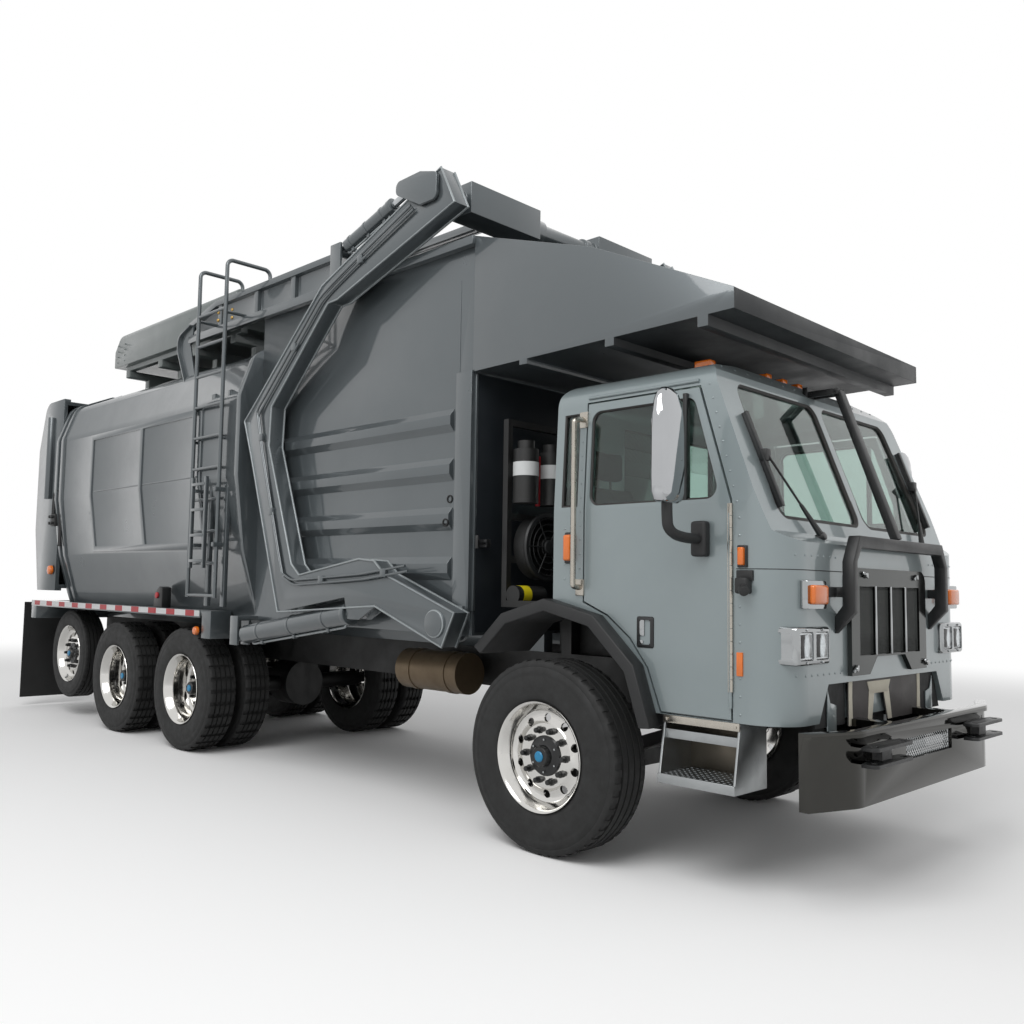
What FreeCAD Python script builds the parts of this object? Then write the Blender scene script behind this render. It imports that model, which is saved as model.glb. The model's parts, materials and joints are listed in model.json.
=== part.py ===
import FreeCAD, Part

import os
import re

import Sketcher

# Front-loading refuse truck with a cab over the engine. Millimetres, +X forward, +Z up.
# The origin lies on the ground under the middle of the truck, and the right side is -Y.
# Places along the truck are given ahead of or behind the front axle.

SIZES = {
    # whole vehicle
    "bumper_ahead": 1610,
    "tail_behind": 7880,
    "plate_thickness": 12,
    "seat_gap": 0.3,
    "overrun": 50,
    # frame
    "rail_half_width": 430,
    "rail_height": 260,
    "rail_flange": 85,
    "rail_wall": 10,
    "rail_top": 1030,
    "rail_ahead": 1250,
    "rail_behind": 7450,
    "crossmember_height": 160,
    "crossmember_width": 60,
    "cab_mount_length": 120,
    "cab_mount_rear": 60,
    # wheels and axles
    "front_wheel_height": 527,
    "drive_wheel_height": 523,
    "drive_axle_behind": 4151,
    "drive_axle_spacing": 1342,
    "tag_axle_behind": 6858,
    "tag_wheel_height": 655,
    "front_tyre_radius": 527,
    "front_tyre_width": 305,
    "drive_tyre_radius": 523,
    "drive_tyre_width": 270,
    "tag_tyre_radius": 463,
    "tag_tyre_width": 245,
    "rim_radius": 286,
    "rim_lip": 14,
    "rim_wall": 12,
    "front_wheel_side": 1075,
    "drive_wheel_side": 893,
    "twin_spacing": 330,
    "tag_wheel_side": 980,
    "front_dish": 61,
    "drive_dish": 81,
    "tag_dish": 49,
    "hub_radius": 110,
    "hand_hole_radius": 27,
    "hand_hole_ring": 196,
    "hand_hole_count": 10,
    "nut_height": 45,
    "kingpin_side": 850,
    "kingpin_radius": 24,
    "kingpin_boss_radius": 48,
    "kingpin_boss_height": 170,
    "knuckle_ear_height": 45,
    "spindle_radius": 48,
    "axle_beam_depth": 95,
    "axle_beam_width": 110,
    "axle_drop": 95,
    "spring_side": 400,
    "spring_width": 80,
    "spring_half_length": 700,
    "spring_thickness": 60,
    "axle_tube_radius": 70,
    "axle_bowl_radius": 205,
    "axle_bowl_half_width": 150,
    "tag_tube_radius": 55,
    # cab
    "cab_half_width": 1100,
    "cab_tumblehome": 35,
    "cab_front": 1400,
    "cab_floor": 830,
    "cab_belt": 1880,
    "cab_rear_height": 2600,
    "cab_roof_height": 2665,
    "cab_roof_front": 880,
    "cab_brow_front": 1000,
    "cab_brow_height": 2560,
    "cab_cowl_front": 1310,
    "cab_cowl_height": 1740,
    "cab_chin_height": 1690,
    "cab_corner": 200,
    "cab_roof_edge": 90,
    "cab_roof_side": 2590,
    "cab_roof_round": 150,
    "cab_crown_half": 500,
    "cab_crown_round": 600,
    "drip_rail": 9,
    "drip_rail_height": 2505,
    "window_round": 60,
    "pane_round": 75,
    "notch_outer": 790,
    "notch_inner": 690,
    "notch_top": 1010,
    "cab_wall": 45,
    "glass_depth": 16,
    "glass_thickness": 7,
    "tunnel_half_width": 500,
    "tunnel_top": 1290,
    "tunnel_front": 1330,
    "arch_centre_ahead": 30,
    "arch_centre_height": 700,
    "arch_radius": 660,
    "arch_wall": 30,
    "door_front": 1115,
    "door_rear": 222,
    "door_top": 2470,
    "door_bottom": 842,
    "door_gap": 10,
    "door_arch_margin": 48,
    "door_pillar_front": 925,
    "window_sill": 1900,
    "window_top": 2425,
    "window_edge": 55,
    "pane_half_gap": 32,
    "pane_side": 930,
    "pane_bottom": 1805,
    "pane_top": 2510,
    "hinge_radius": 9,
    "mirror_x": 950,
    "mirror_side": 1390,
    "mirror_low": 1860,
    "mirror_high": 2410,
    "mirror_width": 215,
    "mirror_depth": 85,
    "mirror_tube": 15,
    "mirror_cap_height": 125,
    "mirror_cap_taper": 12,
    "mirror_top_taper": 38,
    "mirror_round": 30,
    "mirror_base_height": 1725,
    "grille_half_width": 480,
    "grille_low": 1040,
    "grille_high": 1580,
    "grille_depth": 24,
    "grille_bar": 22,
    "grille_mesh": 4,
    "grille_mesh_half": 385,
    "grille_mesh_low": 1136,
    "grille_mesh_high": 1488,
    "grille_round": 70,
    "grille_notch_height": 87,
    "grille_notch_high_half": 180,
    "grille_notch_low_half": 270,
    "lamp_side": 885,
    "lamp_height": 1200,
    "lamp_width": 330,
    "lamp_tall": 180,
    "lamp_proud": 28,
    "lamp_back": 130,
    "lamp_round": 60,
    "turn_lamp_side": 860,
    "turn_lamp_height": 1440,
    "turn_lamp_width": 150,
    "turn_lamp_tall": 95,
    "turn_lamp_proud": 55,
    "roof_lamp_length": 90,
    "roof_lamp_width": 110,
    "roof_lamp_height": 42,
    "guard_side": 595,
    "guard_width": 45,
    "guard_corner": 130,
    "guard_corner_side": 75,
    "guard_foot": 1250,
    "guard_bend": 110,
    "guard_bracket": 1430,
    "guard_bracket_height": 50,
    "guard_bracket_reach": 110,
    "guard_bar": 60,
    "guard_high": 1735,
    "guard_ahead": 1440,
    "bumper_low": 480,
    "bumper_high": 825,
    "bumper_flat": 830,
    "bumper_side": 1120,
    "bumper_sweep": 105,
    "bumper_wall": 45,
    "bumper_lip": 30,
    "bumper_corner": 240,
    "bumper_mouth_half": 305,
    "bumper_mouth_low": 638,
    "bumper_mouth_high": 742,
    "tow_reach": 90,
    "tow_plate": 16,
    "tow_side_inner": 430,
    "tow_side_outer": 860,
    "tow_low": 668,
    "tow_high": 758,
    "tow_hole_radius": 16,
    "tow_hole_edge": 34,
    "tow_hole_side": 800,
    "step_front": 1160,
    "step_rear": 735,
    "step_low": 500,
    "step_middle": 715,
    "step_side": 1150,
    "step_width": 290,
    "step_cheek_slope": 60,
    "step_lip": 45,
    "fender_inner_radius": 622,
    "fender_skin": 16,
    "fender_lip": 68,
    "fender_side": 1195,
    "fender_inner_side": 760,
    "seat_width": 480,
    "seat_side": 790,
    "seat_height": 1560,
    "seat_depth": 470,
    "seat_pad": 120,
    "seat_back_height": 700,
    "seat_back_ahead": 190,
    "dash_depth": 190,
    "dash_low": 1420,
    "dash_high": 1720,
    "wheel_rim_radius": 215,
    "wheel_rim_tube": 14,
    "wheel_tilt": 25,
    # engine and what stands behind the cab
    "engine_front": 480,
    "engine_behind": 600,
    "engine_half_width": 330,
    "engine_low": 620,
    "engine_high": 1230,
    "radiator_front": 1240,
    "radiator_depth": 90,
    "rack_front_behind": 60,
    "rack_behind": 500,
    "rack_low": 1330,
    "rack_high": 2480,
    "rack_half_width": 1000,
    "rack_tube": 40,
    "canister_radius": 78,
    "canister_length": 330,
    "canister_height": 1960,
    "canister_spacing": 230,
    "fan_radius": 200,
    "fan_wall": 14,
    "fan_depth": 90,
    "fan_height": 1700,
    "fan_side": 740,
    "strainer_radius": 55,
    "strainer_length": 250,
    "air_tank_radius": 140,
    "air_tank_length": 620,
    "air_tank_band": 50,
    "air_tank_band_proud": 5,
    "air_tank_behind": 1750,
    "air_tank_side": 640,
    "air_tank_height": 860,
    # body
    "body_floor": 1150,
    "floor_skin": 30,
    "hopper_front_behind": 650,
    "barrel_front_behind": 3130,
    "barrel_rear_behind": 6950,
    "hopper_half_width": 1100,
    "hopper_wall": 20,
    "top_rail_high": 3648,
    "top_rail_rear_behind": 4330,
    "hopper_front_wall_top": 2780,
    "rib_height": 150,
    "rib_depth": 38,
    "rib_front_behind": 840,
    "rib_rear_behind": 2800,
    "rib_low": 1560,
    "rib_high": 2500,
    "post_rear_behind": 790,
    "post_low": 1300,
    "post_high": 2790,
    "barrel_wall": 40,
    "barrel_roof": 3450,
    "barrel_roof_half": 800,
    "barrel_shoulder_side": 1150,
    "barrel_shoulder_height": 3300,
    "barrel_side": 1276,
    "barrel_side_high": 2950,
    "barrel_side_low": 2300,
    "barrel_hip_side": 1198,
    "barrel_hip_height": 1705,
    "barrel_foot_side": 1090,
    "barrel_foot_height": 1330,
    "barrel_bottom_side": 1020,
    "barrel_round": 160,
    "ring_width": 60,
    "ring_proud": 22,
    "ring_gap": 70,
    "side_frame_front_behind": 3760,
    "side_frame_rear_behind": 6050,
    "side_frame_low": 1730,
    "side_frame_high": 2914,
    "side_frame_bar": 55,
    "side_frame_proud": 14,
    "horn_foot_behind": 4200,
    "horn_rear_behind": 4510,
    "horn_straight_drop": 95,
    "horn_shoulder_rise": 40,
    "horn_rise": 114,
    "horn_front_behind": 4285,
    "horn_plate": 14,
    "horn_flange": 90,
    "horn_round": 90,
    "canopy_rear_behind": 650,
    "canopy_break_ahead": 272,
    "canopy_tip_ahead": 1156,
    "canopy_rear_low": 2828,
    "canopy_break_height": 3345,
    "canopy_lip_rise": 106,
    "canopy_rim": 45,
    "canopy_rim_depth": 30,
    "canopy_beam": 60,
    "canopy_tip_height": 2819,
    "canopy_half_width": 1130,
    "canopy_skin": 12,
    "rail_tube": 55,
    "hood_front_behind": 2130,
    "hood_roof_front_behind": 2750,
    "hood_slope_behind": 3955,
    "hood_rear_behind": 4436,
    "hood_rise": 277,
    "hood_rear_rise": 162,
    "hood_side": 1050,
    "hood_plate": 12,
    "hood_tube": 50,
    "hood_post": 60,
    "hood_gap": 30,
    "tank_cover_front_behind": 3790,
    "tank_cover_rear_behind": 6252,
    "tank_cover_half_width": 1000,
    "tank_cover_edge": 60,
    "tank_cover_foot": 240,
    "tank_cover_height": 345,
    "tank_cover_slant": 147,
    "tank_cover_slant_height": 176,
    "tank_beam": 70,
    "tank_beam_height": 45,
    "tank_beam_side": 900,
    "tank_foot_width": 90,
    "ladder_front_behind": 3400,
    "ladder_rear_behind": 3850,
    "ladder_side": 1310,
    "ladder_tube": 17,
    "ladder_rung_radius": 13,
    "ladder_bend": 55,
    "ladder_rise": 80,
    "ladder_inner_side": 900,
    "ladder_low": 1320,
    "ladder_step_count": 10,
    "deck_front_behind": 3720,
    "deck_rear_behind": 7595,
    "deck_top": 1210,
    "deck_thickness": 28,
    "deck_side": 1240,
    "tail_bar_height": 170,
    "tail_bar_depth": 145,
    "flap_width": 600,
    "flap_side": 920,
    "flap_low": 100,
    "flap_thickness": 12,
    # tailgate and packer
    "gate_pin_height": 3490,
    "gate_pin_behind": 6962,
    "gate_pin_radius": 18,
    "gate_lug_share": 0.8,
    "gate_depth_high": 480,
    "gate_depth_mid": 650,
    "gate_depth_low": 500,
    "gate_high": 3400,
    "gate_mid_high": 2900,
    "gate_mid_low": 2000,
    "gate_low": 1350,
    "gate_half_width": 1235,
    "gate_wall": 40,
    "gate_rim_proud": 25,
    "gate_rim_width": 70,
    "gate_tube_radius": 42,
    "gate_tube_low": 2330,
    "gate_tube_high": 3240,
    "gate_tube_inset": 290,
    "packer_front_behind": 700,
    "packer_depth": 330,
    "packer_top": 2380,
    "packer_wall": 25,
    "packer_side_gap": 6,
    # lift arms
    "arm_inner": 1165,
    "arm_outer": 1285,
    "arm_pivot_behind": 780,
    "arm_pivot_height": 1220,
    "arm_pivot_radius": 55,
    "arm_tip_behind": 922,
    "arm_tip_height": 3988,
    "arm_ear": 20,
    "arm_reach_back": 2294,
    "lift_lug_back": 820,
    "lift_lug_rise": 45,
    "lift_base_ahead": 20,
    "lift_base_drop": 115,
    "lift_rod_shown": 107,
    "fork_base_back": 1004,
    "fork_base_drop": 152,
    "fork_lug_back": 261,
    "fork_lug_rise": 77,
    "fork_rod_shown": 178,
    "lift_barrel_radius": 72,
    "lift_rod_radius": 34,
    "lift_eye_radius": 50,
    "fork_barrel_radius": 48,
    "fork_rod_radius": 25,
    "fork_eye_radius": 42,
    "cylinder_pin_radius": 22,
    "eye_width": 76,
    "fork_tube_radius": 62,
    "crank_plate": 25,
    "crank_gap": 5,
    "fork_box_half": 105,
    "fork_box_start": 330,
    "fork_box_end": 1010,
    "fork_blade_side": 600,
    "fork_blade_width": 90,
    "fork_blade_length": 1100,
    "fork_blade_thickness": 55,
    "fork_blade_point": 160,
    "fork_collar": 18,
    "fork_collar_side": 230,
    "fork_gusset_side": 520,
    "fork_gusset_rise": 150,
    "fork_gusset_plate": 16,
}

# Places worked out from the sizes.
PLACES = {
    "axle_x": "(tail_behind - bumper_ahead - tow_reach) / 2",
    "drive_front_x": "axle_x - drive_axle_behind",
    "drive_rear_x": "drive_front_x - drive_axle_spacing",
    "tag_x": "axle_x - tag_axle_behind",
    "rail_bottom": "rail_top - rail_height",
    "arm_middle": "(arm_inner + arm_outer) / 2",
    "arch_x": "axle_x + arch_centre_ahead",
    "hopper_front_x": "axle_x - hopper_front_behind",
    "barrel_front_x": "axle_x - barrel_front_behind",
    "barrel_rear_x": "axle_x - barrel_rear_behind",
    "floor_top": "body_floor + floor_skin",
    "pivot_x": "axle_x - arm_pivot_behind",
    "tip_x": "axle_x - arm_tip_behind",
    "top_rail_low": "top_rail_high - rail_tube",
    "cover_low": "barrel_roof + tank_cover_foot",
    "cover_high": "barrel_roof + tank_cover_foot + tank_cover_height",
    "ladder_high": "barrel_roof + tank_cover_foot + tank_cover_height + ladder_rise",
    "hood_high": "top_rail_high + hood_rise",
    "arm_rise": "arm_tip_height - arm_pivot_height",
    "lift_base_behind": "barrel_front_behind - lift_base_ahead",
    "lift_base_height": "body_floor - lift_base_drop",
    "lift_lug_behind": "arm_pivot_behind + lift_lug_back",
    "lift_lug_height": "arm_pivot_height + lift_lug_rise",
    "lift_run": "(lift_base_behind) - (lift_lug_behind)",
    "lift_rise": "(lift_lug_height) - (lift_base_height)",
    "lift_length": "sqrt((lift_run) ^ 2 + (lift_rise) ^ 2)",
    "lift_slope": "atan((lift_rise) / (lift_run))",
    "fork_base_behind": "arm_tip_behind + fork_base_back",
    "fork_base_height": "arm_tip_height - fork_base_drop",
    "fork_lug_behind": "arm_tip_behind + fork_lug_back",
    "fork_lug_height": "arm_tip_height + fork_lug_rise",
    "fork_run": "(fork_base_behind) - (fork_lug_behind)",
    "fork_rise": "(fork_lug_height) - (fork_base_height)",
    "fork_length": "sqrt((fork_run) ^ 2 + (fork_rise) ^ 2)",
    "fork_slope": "atan((fork_rise) / (fork_run))",
    "foot_slope": "(barrel_foot_side - barrel_bottom_side) / (barrel_foot_height - body_floor)",
    "deck_inner_side": "barrel_bottom_side + seat_gap + (deck_top - body_floor) * (foot_slope)",
}

WORD = re.compile(r"[a-z][a-z_0-9]*")
X_AXIS = FreeCAD.Vector(1, 0, 0)
Y_AXIS = FreeCAD.Vector(0, 1, 0)
Z_AXIS = FreeCAD.Vector(0, 0, 1)

doc = FreeCAD.newDocument("refuse_truck")
sheet = doc.addObject("Spreadsheet::Sheet", "dims")
for row, (size_name, size_value) in enumerate(SIZES.items(), start=1):
    sheet.set(f"A{row}", size_name)
    sheet.set(f"B{row}", str(size_value))
    sheet.setAlias(f"B{row}", size_name)
doc.recompute()

nodes = {}

# Where a sketch's corners lie before their places are worked out.
SKETCH_START = 10


def formula(text):
    """Write out the places in a formula and point its sizes to their cells."""

    def swap(match):
        word = match.group(0)
        if word in PLACES:
            return "(" + formula(PLACES[word]) + ")"
        if word in SIZES:
            return "dims." + word
        return word

    return WORD.sub(swap, str(text))


def bind(thing, **properties):
    for name, text in properties.items():
        thing.setExpression(name, formula(text))


def place(thing, x=0, y=0, z=0, turn=None, angle=None):
    """Put a thing at a place, turned about one axis by an angle in degrees."""
    if turn is not None:
        start = angle if isinstance(angle, (int, float)) else 1
        thing.Placement = FreeCAD.Placement(FreeCAD.Vector(), FreeCAD.Rotation(turn, start))
    thing.setExpression("Placement.Base.x", formula(x))
    thing.setExpression("Placement.Base.y", formula(y))
    thing.setExpression("Placement.Base.z", formula(z))
    if isinstance(angle, str):
        thing.setExpression("Placement.Rotation.Angle", formula(angle))
    return thing


def ahead(text):
    return f"axle_x + ({text})"


def behind(text):
    return f"axle_x - ({text})"


def box(name, x, y, z):
    """A block between pairs of places on each axis."""
    thing = doc.addObject("Part::Box", name)
    bind(thing, Length=f"({x[1]}) - ({x[0]})", Width=f"({y[1]}) - ({y[0]})", Height=f"({z[1]}) - ({z[0]})")
    return place(thing, x[0], y[0], z[0])


def rod(name, axis, radius, x, y, z, length):
    """A round bar along an axis, from a place, in the axis's own direction."""
    thing = doc.addObject("Part::Cylinder", name)
    bind(thing, Radius=radius, Height=length)
    if axis == "x":
        return place(thing, x, y, z, Y_AXIS, 90)
    if axis == "y":
        return place(thing, x, y, z, X_AXIS, -90)
    return place(thing, x, y, z)


def elbow(name, radius, bend, x, y, z, start, end):
    """A quarter bend of round bar about a centre, from one axis direction to the next."""
    thing = doc.addObject("Part::Torus", name)
    bind(thing, Radius1=bend, Radius2=radius)
    thing.Angle3 = 90
    turn = FreeCAD.Rotation(start, end, start.cross(end), "ZXY")
    thing.Placement = FreeCAD.Placement(FreeCAD.Vector(), turn)
    return place(thing, x, y, z)


def sketch_on(body, plane, offset, name):
    sketch = body.newObject("Sketcher::SketchObject", name)
    support = [feature for feature in body.Origin.OriginFeatures if feature.Role == plane][0]
    sketch.AttachmentSupport = (support, [""])
    sketch.MapMode = "FlatFace"
    sketch.setExpression("AttachmentOffset.Base.z", formula(offset))
    return sketch


def outline(sketch, points):
    """Draw a closed outline whose corners are held at places worked out from the sizes."""
    count = len(points)
    guess = [FreeCAD.Vector(SKETCH_START, 0, 0)]
    for _ in range(count - 1):
        guess.append(FreeCAD.Rotation(Z_AXIS, 360 / count).multVec(guess[-1]))
    first = sketch.GeometryCount
    for index in range(count):
        edge = Part.LineSegment(guess[index], guess[(index + 1) % count])
        sketch.addGeometry(edge, False)
    for index in range(count):
        after = (index + 1) % count
        sketch.addConstraint(Sketcher.Constraint("Coincident", first + index, 2, first + after, 1))
    for index, (across, up) in enumerate(points):
        for kind, text, value in (("DistanceX", across, guess[index].x), ("DistanceY", up, guess[index].y)):
            held = sketch.addConstraint(Sketcher.Constraint(kind, -1, 1, first + index, 1, value))
            sketch.setExpression(f"Constraints[{held}]", formula(text))


def pad(name, plane, points, low, high, rounds=None):
    """A plate: an outline in a plane, as thick as from a low to a high place along the normal.

    rounds gives the radius of an upright corner by its number in the outline.
    """
    body = doc.addObject("PartDesign::Body", name)
    flips = plane == "XZ_Plane"
    start = f"-({high})" if flips else low
    sketch = sketch_on(body, plane, start, name + "_sketch")
    outline(sketch, points)
    slab = body.newObject("PartDesign::Pad", name + "_pad")
    slab.Profile = sketch
    bind(slab, Length=f"({high}) - ({low})")
    if rounds:
        round_corners(body, sketch, slab, rounds)
    return body


def round_corners(body, sketch, slab, rounds):
    doc.recompute()
    for radius in sorted(set(rounds.values())):
        wanted = [index for index, size in rounds.items() if size == radius]
        spots = [sketch.Placement.multVec(sketch.Geometry[index].StartPoint) for index in wanted]
        normal = sketch.Placement.Rotation.multVec(Z_AXIS)
        last = body.Tip
        names = []
        for number, edge in enumerate(last.Shape.Edges, start=1):
            ends = [vertex.Point for vertex in edge.Vertexes]
            if len(ends) < 2 or edge.tangentAt(edge.FirstParameter).cross(normal).Length > 0.001:
                continue
            if any((ends[0] - spot).cross(normal).Length < 0.01 for spot in spots):
                names.append(f"Edge{number}")
        fillet = body.newObject("PartDesign::Fillet", body.Name + "_" + radius)
        fillet.Base = (last, names)
        bind(fillet, Radius=radius)
        doc.recompute()


def turned(name, points):
    """A turned piece: an outline of (along, out) places spun about the Y axis."""
    body = doc.addObject("PartDesign::Body", name)
    sketch = sketch_on(body, "YZ_Plane", 0, name + "_sketch")
    outline(sketch, points)
    spin = body.newObject("PartDesign::Revolution", name + "_turn")
    spin.Profile = sketch
    spin.ReferenceAxis = (sketch, ["H_Axis"])
    spin.Angle = 360
    return body


def fuse(name, *things):
    thing = doc.addObject("Part::MultiFuse", name)
    thing.Shapes = list(things)
    return thing


def cut(name, base, *tools):
    tool = tools[0] if len(tools) == 1 else fuse(name + "_tools", *tools)
    thing = doc.addObject("Part::Cut", name)
    thing.Base = base
    thing.Tool = tool
    return thing


def common(name, *things):
    thing = doc.addObject("Part::MultiCommon", name)
    thing.Shapes = list(things)
    return thing


def mirror(name, source):
    """The same piece on the left side of the truck."""
    thing = doc.addObject("Part::Mirroring", name)
    thing.Source = source
    thing.Normal = Y_AXIS
    return thing


def both(name, source):
    return group(name, source, mirror(name + "_left", source))


def group(name, *things):
    """Like pieces of one node that don't touch each other."""
    thing = doc.addObject("Part::Compound", name)
    thing.Links = list(things)
    return thing


def over_rail(sign):
    """The near and far places across of a piece as wide as a rail's flange, on that rail."""
    if sign:
        return "-rail_half_width", "rail_flange - rail_half_width"
    return "rail_half_width - rail_flange", "rail_half_width"


def node(label, thing):
    thing.Label = label
    nodes[label] = thing
    return thing


# Frame and axles

CROSSMEMBER_SHARES = (0.01, 0.16, 0.31, 0.455, 0.6, 0.73, 0.985)


def frame_rails():
    web = "-rail_half_width"
    inner = "rail_wall - rail_half_width"
    flange = "rail_flange - rail_half_width"
    under = "rail_top - rail_wall"
    over = "rail_bottom + rail_wall"
    section = [(web, "rail_top"), (flange, "rail_top"), (flange, under), (inner, under),
               (inner, over), (flange, over), (flange, "rail_bottom"), (web, "rail_bottom")]
    right = pad("rail", "YZ_Plane", section, behind("rail_behind"), ahead("rail_ahead"))
    pieces = [right, mirror("rail_left", right)]
    for number, share in enumerate(CROSSMEMBER_SHARES):
        middle = behind(f"rail_behind - {share} * (rail_behind + rail_ahead)")
        low = "rail_bottom + (rail_height - crossmember_height) / 2"
        pieces.append(box(
            f"crossmember_{number}",
            (f"{middle} - crossmember_width / 2", f"{middle} + crossmember_width / 2"),
            (inner, "rail_half_width - rail_wall"), (low, f"{low} + crossmember_height")))
    for number, low in enumerate(("cab_mount_rear", "rail_ahead - 2 * cab_mount_length")):
        for name, sign in (("right", "-"), ("left", "")):
            pieces.append(box(f"cab_mount_{name}_{number}", (ahead(low), ahead(f"{low} + cab_mount_length")),
                              over_rail(sign), ("rail_top", "tunnel_top")))
    node("frame_rails", fuse("frame_fused", *pieces))


def front_axle():
    """The dropped beam, its kingpin bosses and the two leaf springs under the rails."""
    top = "front_wheel_height - axle_drop + axle_beam_depth / 2"
    low = "front_wheel_height - axle_drop - axle_beam_depth / 2"
    rise = "front_wheel_height + axle_beam_depth / 2"
    end_low = "front_wheel_height - axle_beam_depth / 2"
    knee = "kingpin_side - 2 * axle_drop"
    bend = "kingpin_side - 3 * axle_drop"
    half = [("kingpin_side", end_low), ("kingpin_side", rise), (knee, rise), (bend, top)]
    back = [("-(" + y + ")", z) for y, z in reversed(half)]
    under = [("-(" + knee + ")", end_low), ("-(" + bend + ")", low), (bend, low), (knee, end_low)]
    beam = pad("axle_beam", "YZ_Plane", half + back + under,
               "axle_x - axle_beam_width / 2", "axle_x + axle_beam_width / 2")
    boss_low = "front_wheel_height - kingpin_boss_height / 2"
    solids = [beam]
    bores = []
    for side, sign in (("right", "-"), ("left", "")):
        spot = f"{sign}kingpin_side"
        solids.append(rod(f"kingpin_boss_{side}", "z", "kingpin_boss_radius", "axle_x", spot, boss_low,
                          "kingpin_boss_height"))
        bores.append(rod(f"kingpin_bore_{side}", "z", "kingpin_radius + seat_gap", "axle_x", spot,
                         f"{boss_low} - overrun", "kingpin_boss_height + 2 * overrun"))
    spring_low = top
    end_high = "rail_bottom - 2 * spring_thickness / 3"
    leaf = [(behind("spring_half_length"), end_high), (behind("spring_half_length"), "rail_bottom"),
            (behind("spring_half_length - spring_thickness"), "rail_bottom"),
            ("axle_x", f"{spring_low} + spring_thickness"),
            (ahead("spring_half_length - spring_thickness"), "rail_bottom"),
            (ahead("spring_half_length"), "rail_bottom"), (ahead("spring_half_length"), end_high),
            (ahead("axle_beam_width / 2"), spring_low), (behind("axle_beam_width / 2"), spring_low)]
    spring = pad("spring", "XZ_Plane", leaf, "-spring_side - spring_width / 2",
                 "-spring_side + spring_width / 2")
    solids += [spring, mirror("spring_left", spring)]
    node("front_axle", cut("front_axle_cut", fuse("front_axle_fused", *solids), *bores))


def knuckle(side, sign):
    """The steering knuckle: two ears round the kingpin boss, the pin and the spindle."""
    ear_low = "front_wheel_height - kingpin_boss_height / 2 - seat_gap - knuckle_ear_height"
    ear_high = "front_wheel_height + kingpin_boss_height / 2 + seat_gap"
    spot = f"{sign} kingpin_side"
    out = f"{sign} (kingpin_side + kingpin_boss_radius + knuckle_ear_height)"
    back = f"{sign} (kingpin_side + kingpin_boss_radius + seat_gap * 10)"
    wide = "kingpin_boss_radius"
    across = (out, spot) if sign == "-" else (spot, out)
    across_back = (out, back) if sign == "-" else (back, out)
    end = f"{sign} (front_wheel_side + hub_radius / 2)"
    low_to_high = f"{ear_high} + knuckle_ear_height"
    pieces = [
        box(f"ear_low_{side}", (f"axle_x - {wide}", f"axle_x + {wide}"), across,
            (ear_low, f"{ear_low} + knuckle_ear_height")),
        box(f"ear_high_{side}", (f"axle_x - {wide}", f"axle_x + {wide}"), across, (ear_high, low_to_high)),
        box(f"knuckle_back_{side}", (f"axle_x - {wide}", f"axle_x + {wide}"), across_back,
            (ear_low, low_to_high)),
        rod(f"kingpin_{side}", "z", "kingpin_radius", "axle_x", spot, ear_low,
            f"{low_to_high} - ({ear_low})"),
    ]
    start = end if sign == "-" else out
    length = "front_wheel_side + hub_radius / 2 - kingpin_side - kingpin_boss_radius - knuckle_ear_height"
    pieces.append(rod(f"spindle_{side}", "y", "spindle_radius", "axle_x", start, "front_wheel_height",
                      length))
    node(f"knuckle_{side}", fuse(f"knuckle_fused_{side}", *pieces))


def drive_axles():
    """Two driven axles with their bowls, and the beams that tie them to the frame."""
    pieces = []
    length = "2 * (drive_wheel_side - twin_spacing / 2)"
    for place_name in ("drive_front", "drive_rear"):
        x = place_name + "_x"
        pieces.append(rod(place_name + "_tube", "y", "axle_tube_radius", x, f"-({length}) / 2",
                          "drive_wheel_height", length))
        pieces.append(rod(place_name + "_bowl", "x", "axle_bowl_radius", f"{x} - axle_bowl_half_width", 0,
                          "drive_wheel_height", "2 * axle_bowl_half_width"))
        stub = "drive_wheel_side + twin_spacing / 2 - drive_dish - 3 * seat_gap"
        pieces.append(rod(place_name + "_stub", "y", "spindle_radius", x, f"-({stub})", "drive_wheel_height",
                          f"2 * ({stub})"))
    for side, sign in (("right", "-"), ("left", "")):
        near = f"{sign} rail_half_width - spring_width / 2"
        far = f"{sign} rail_half_width + spring_width / 2"
        pieces.append(box(f"walking_beam_{side}", ("drive_rear_x", "drive_front_x"), (near, far),
                          ("drive_wheel_height - axle_tube_radius",
                           "drive_wheel_height + axle_tube_radius / 2")))
        middle = "(drive_rear_x + drive_front_x) / 2"
        pieces.append(box(f"trunnion_{side}",
                          (f"{middle} - axle_bowl_half_width", f"{middle} + axle_bowl_half_width"),
                          (near, far), ("drive_wheel_height", "rail_bottom")))
    node("drive_axles", fuse("drive_axles_fused", *pieces))


def tag_axle():
    """The lifted tag axle, held up by its two arms under the rails."""
    length = "2 * (tag_wheel_side + tag_dish - 2 * hub_radius)"
    stub = "2 * (tag_wheel_side + tag_dish - 3 * seat_gap)"
    pieces = [
        rod("tag_tube", "y", "tag_tube_radius", "tag_x", f"-({length}) / 2", "tag_wheel_height", length),
        rod("tag_stub", "y", "spindle_radius", "tag_x", f"-({stub}) / 2", "tag_wheel_height", stub),
    ]
    for side, sign in (("right", "-"), ("left", "")):
        near = f"{sign} rail_half_width - spring_width / 2"
        far = f"{sign} rail_half_width + spring_width / 2"
        pieces.append(box(f"tag_arm_{side}", ("tag_x - tag_tube_radius", "tag_x + 8 * tag_tube_radius"),
                          (near, far), ("tag_wheel_height", "rail_bottom")))
    node("tag_axle", fuse("tag_axle_fused", *pieces))


# Wheels

TYRE_SIDE_SHARES = ((0.78, 0), (1, 0.45), (0.9, 0.86), (0.7, 1))


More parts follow.
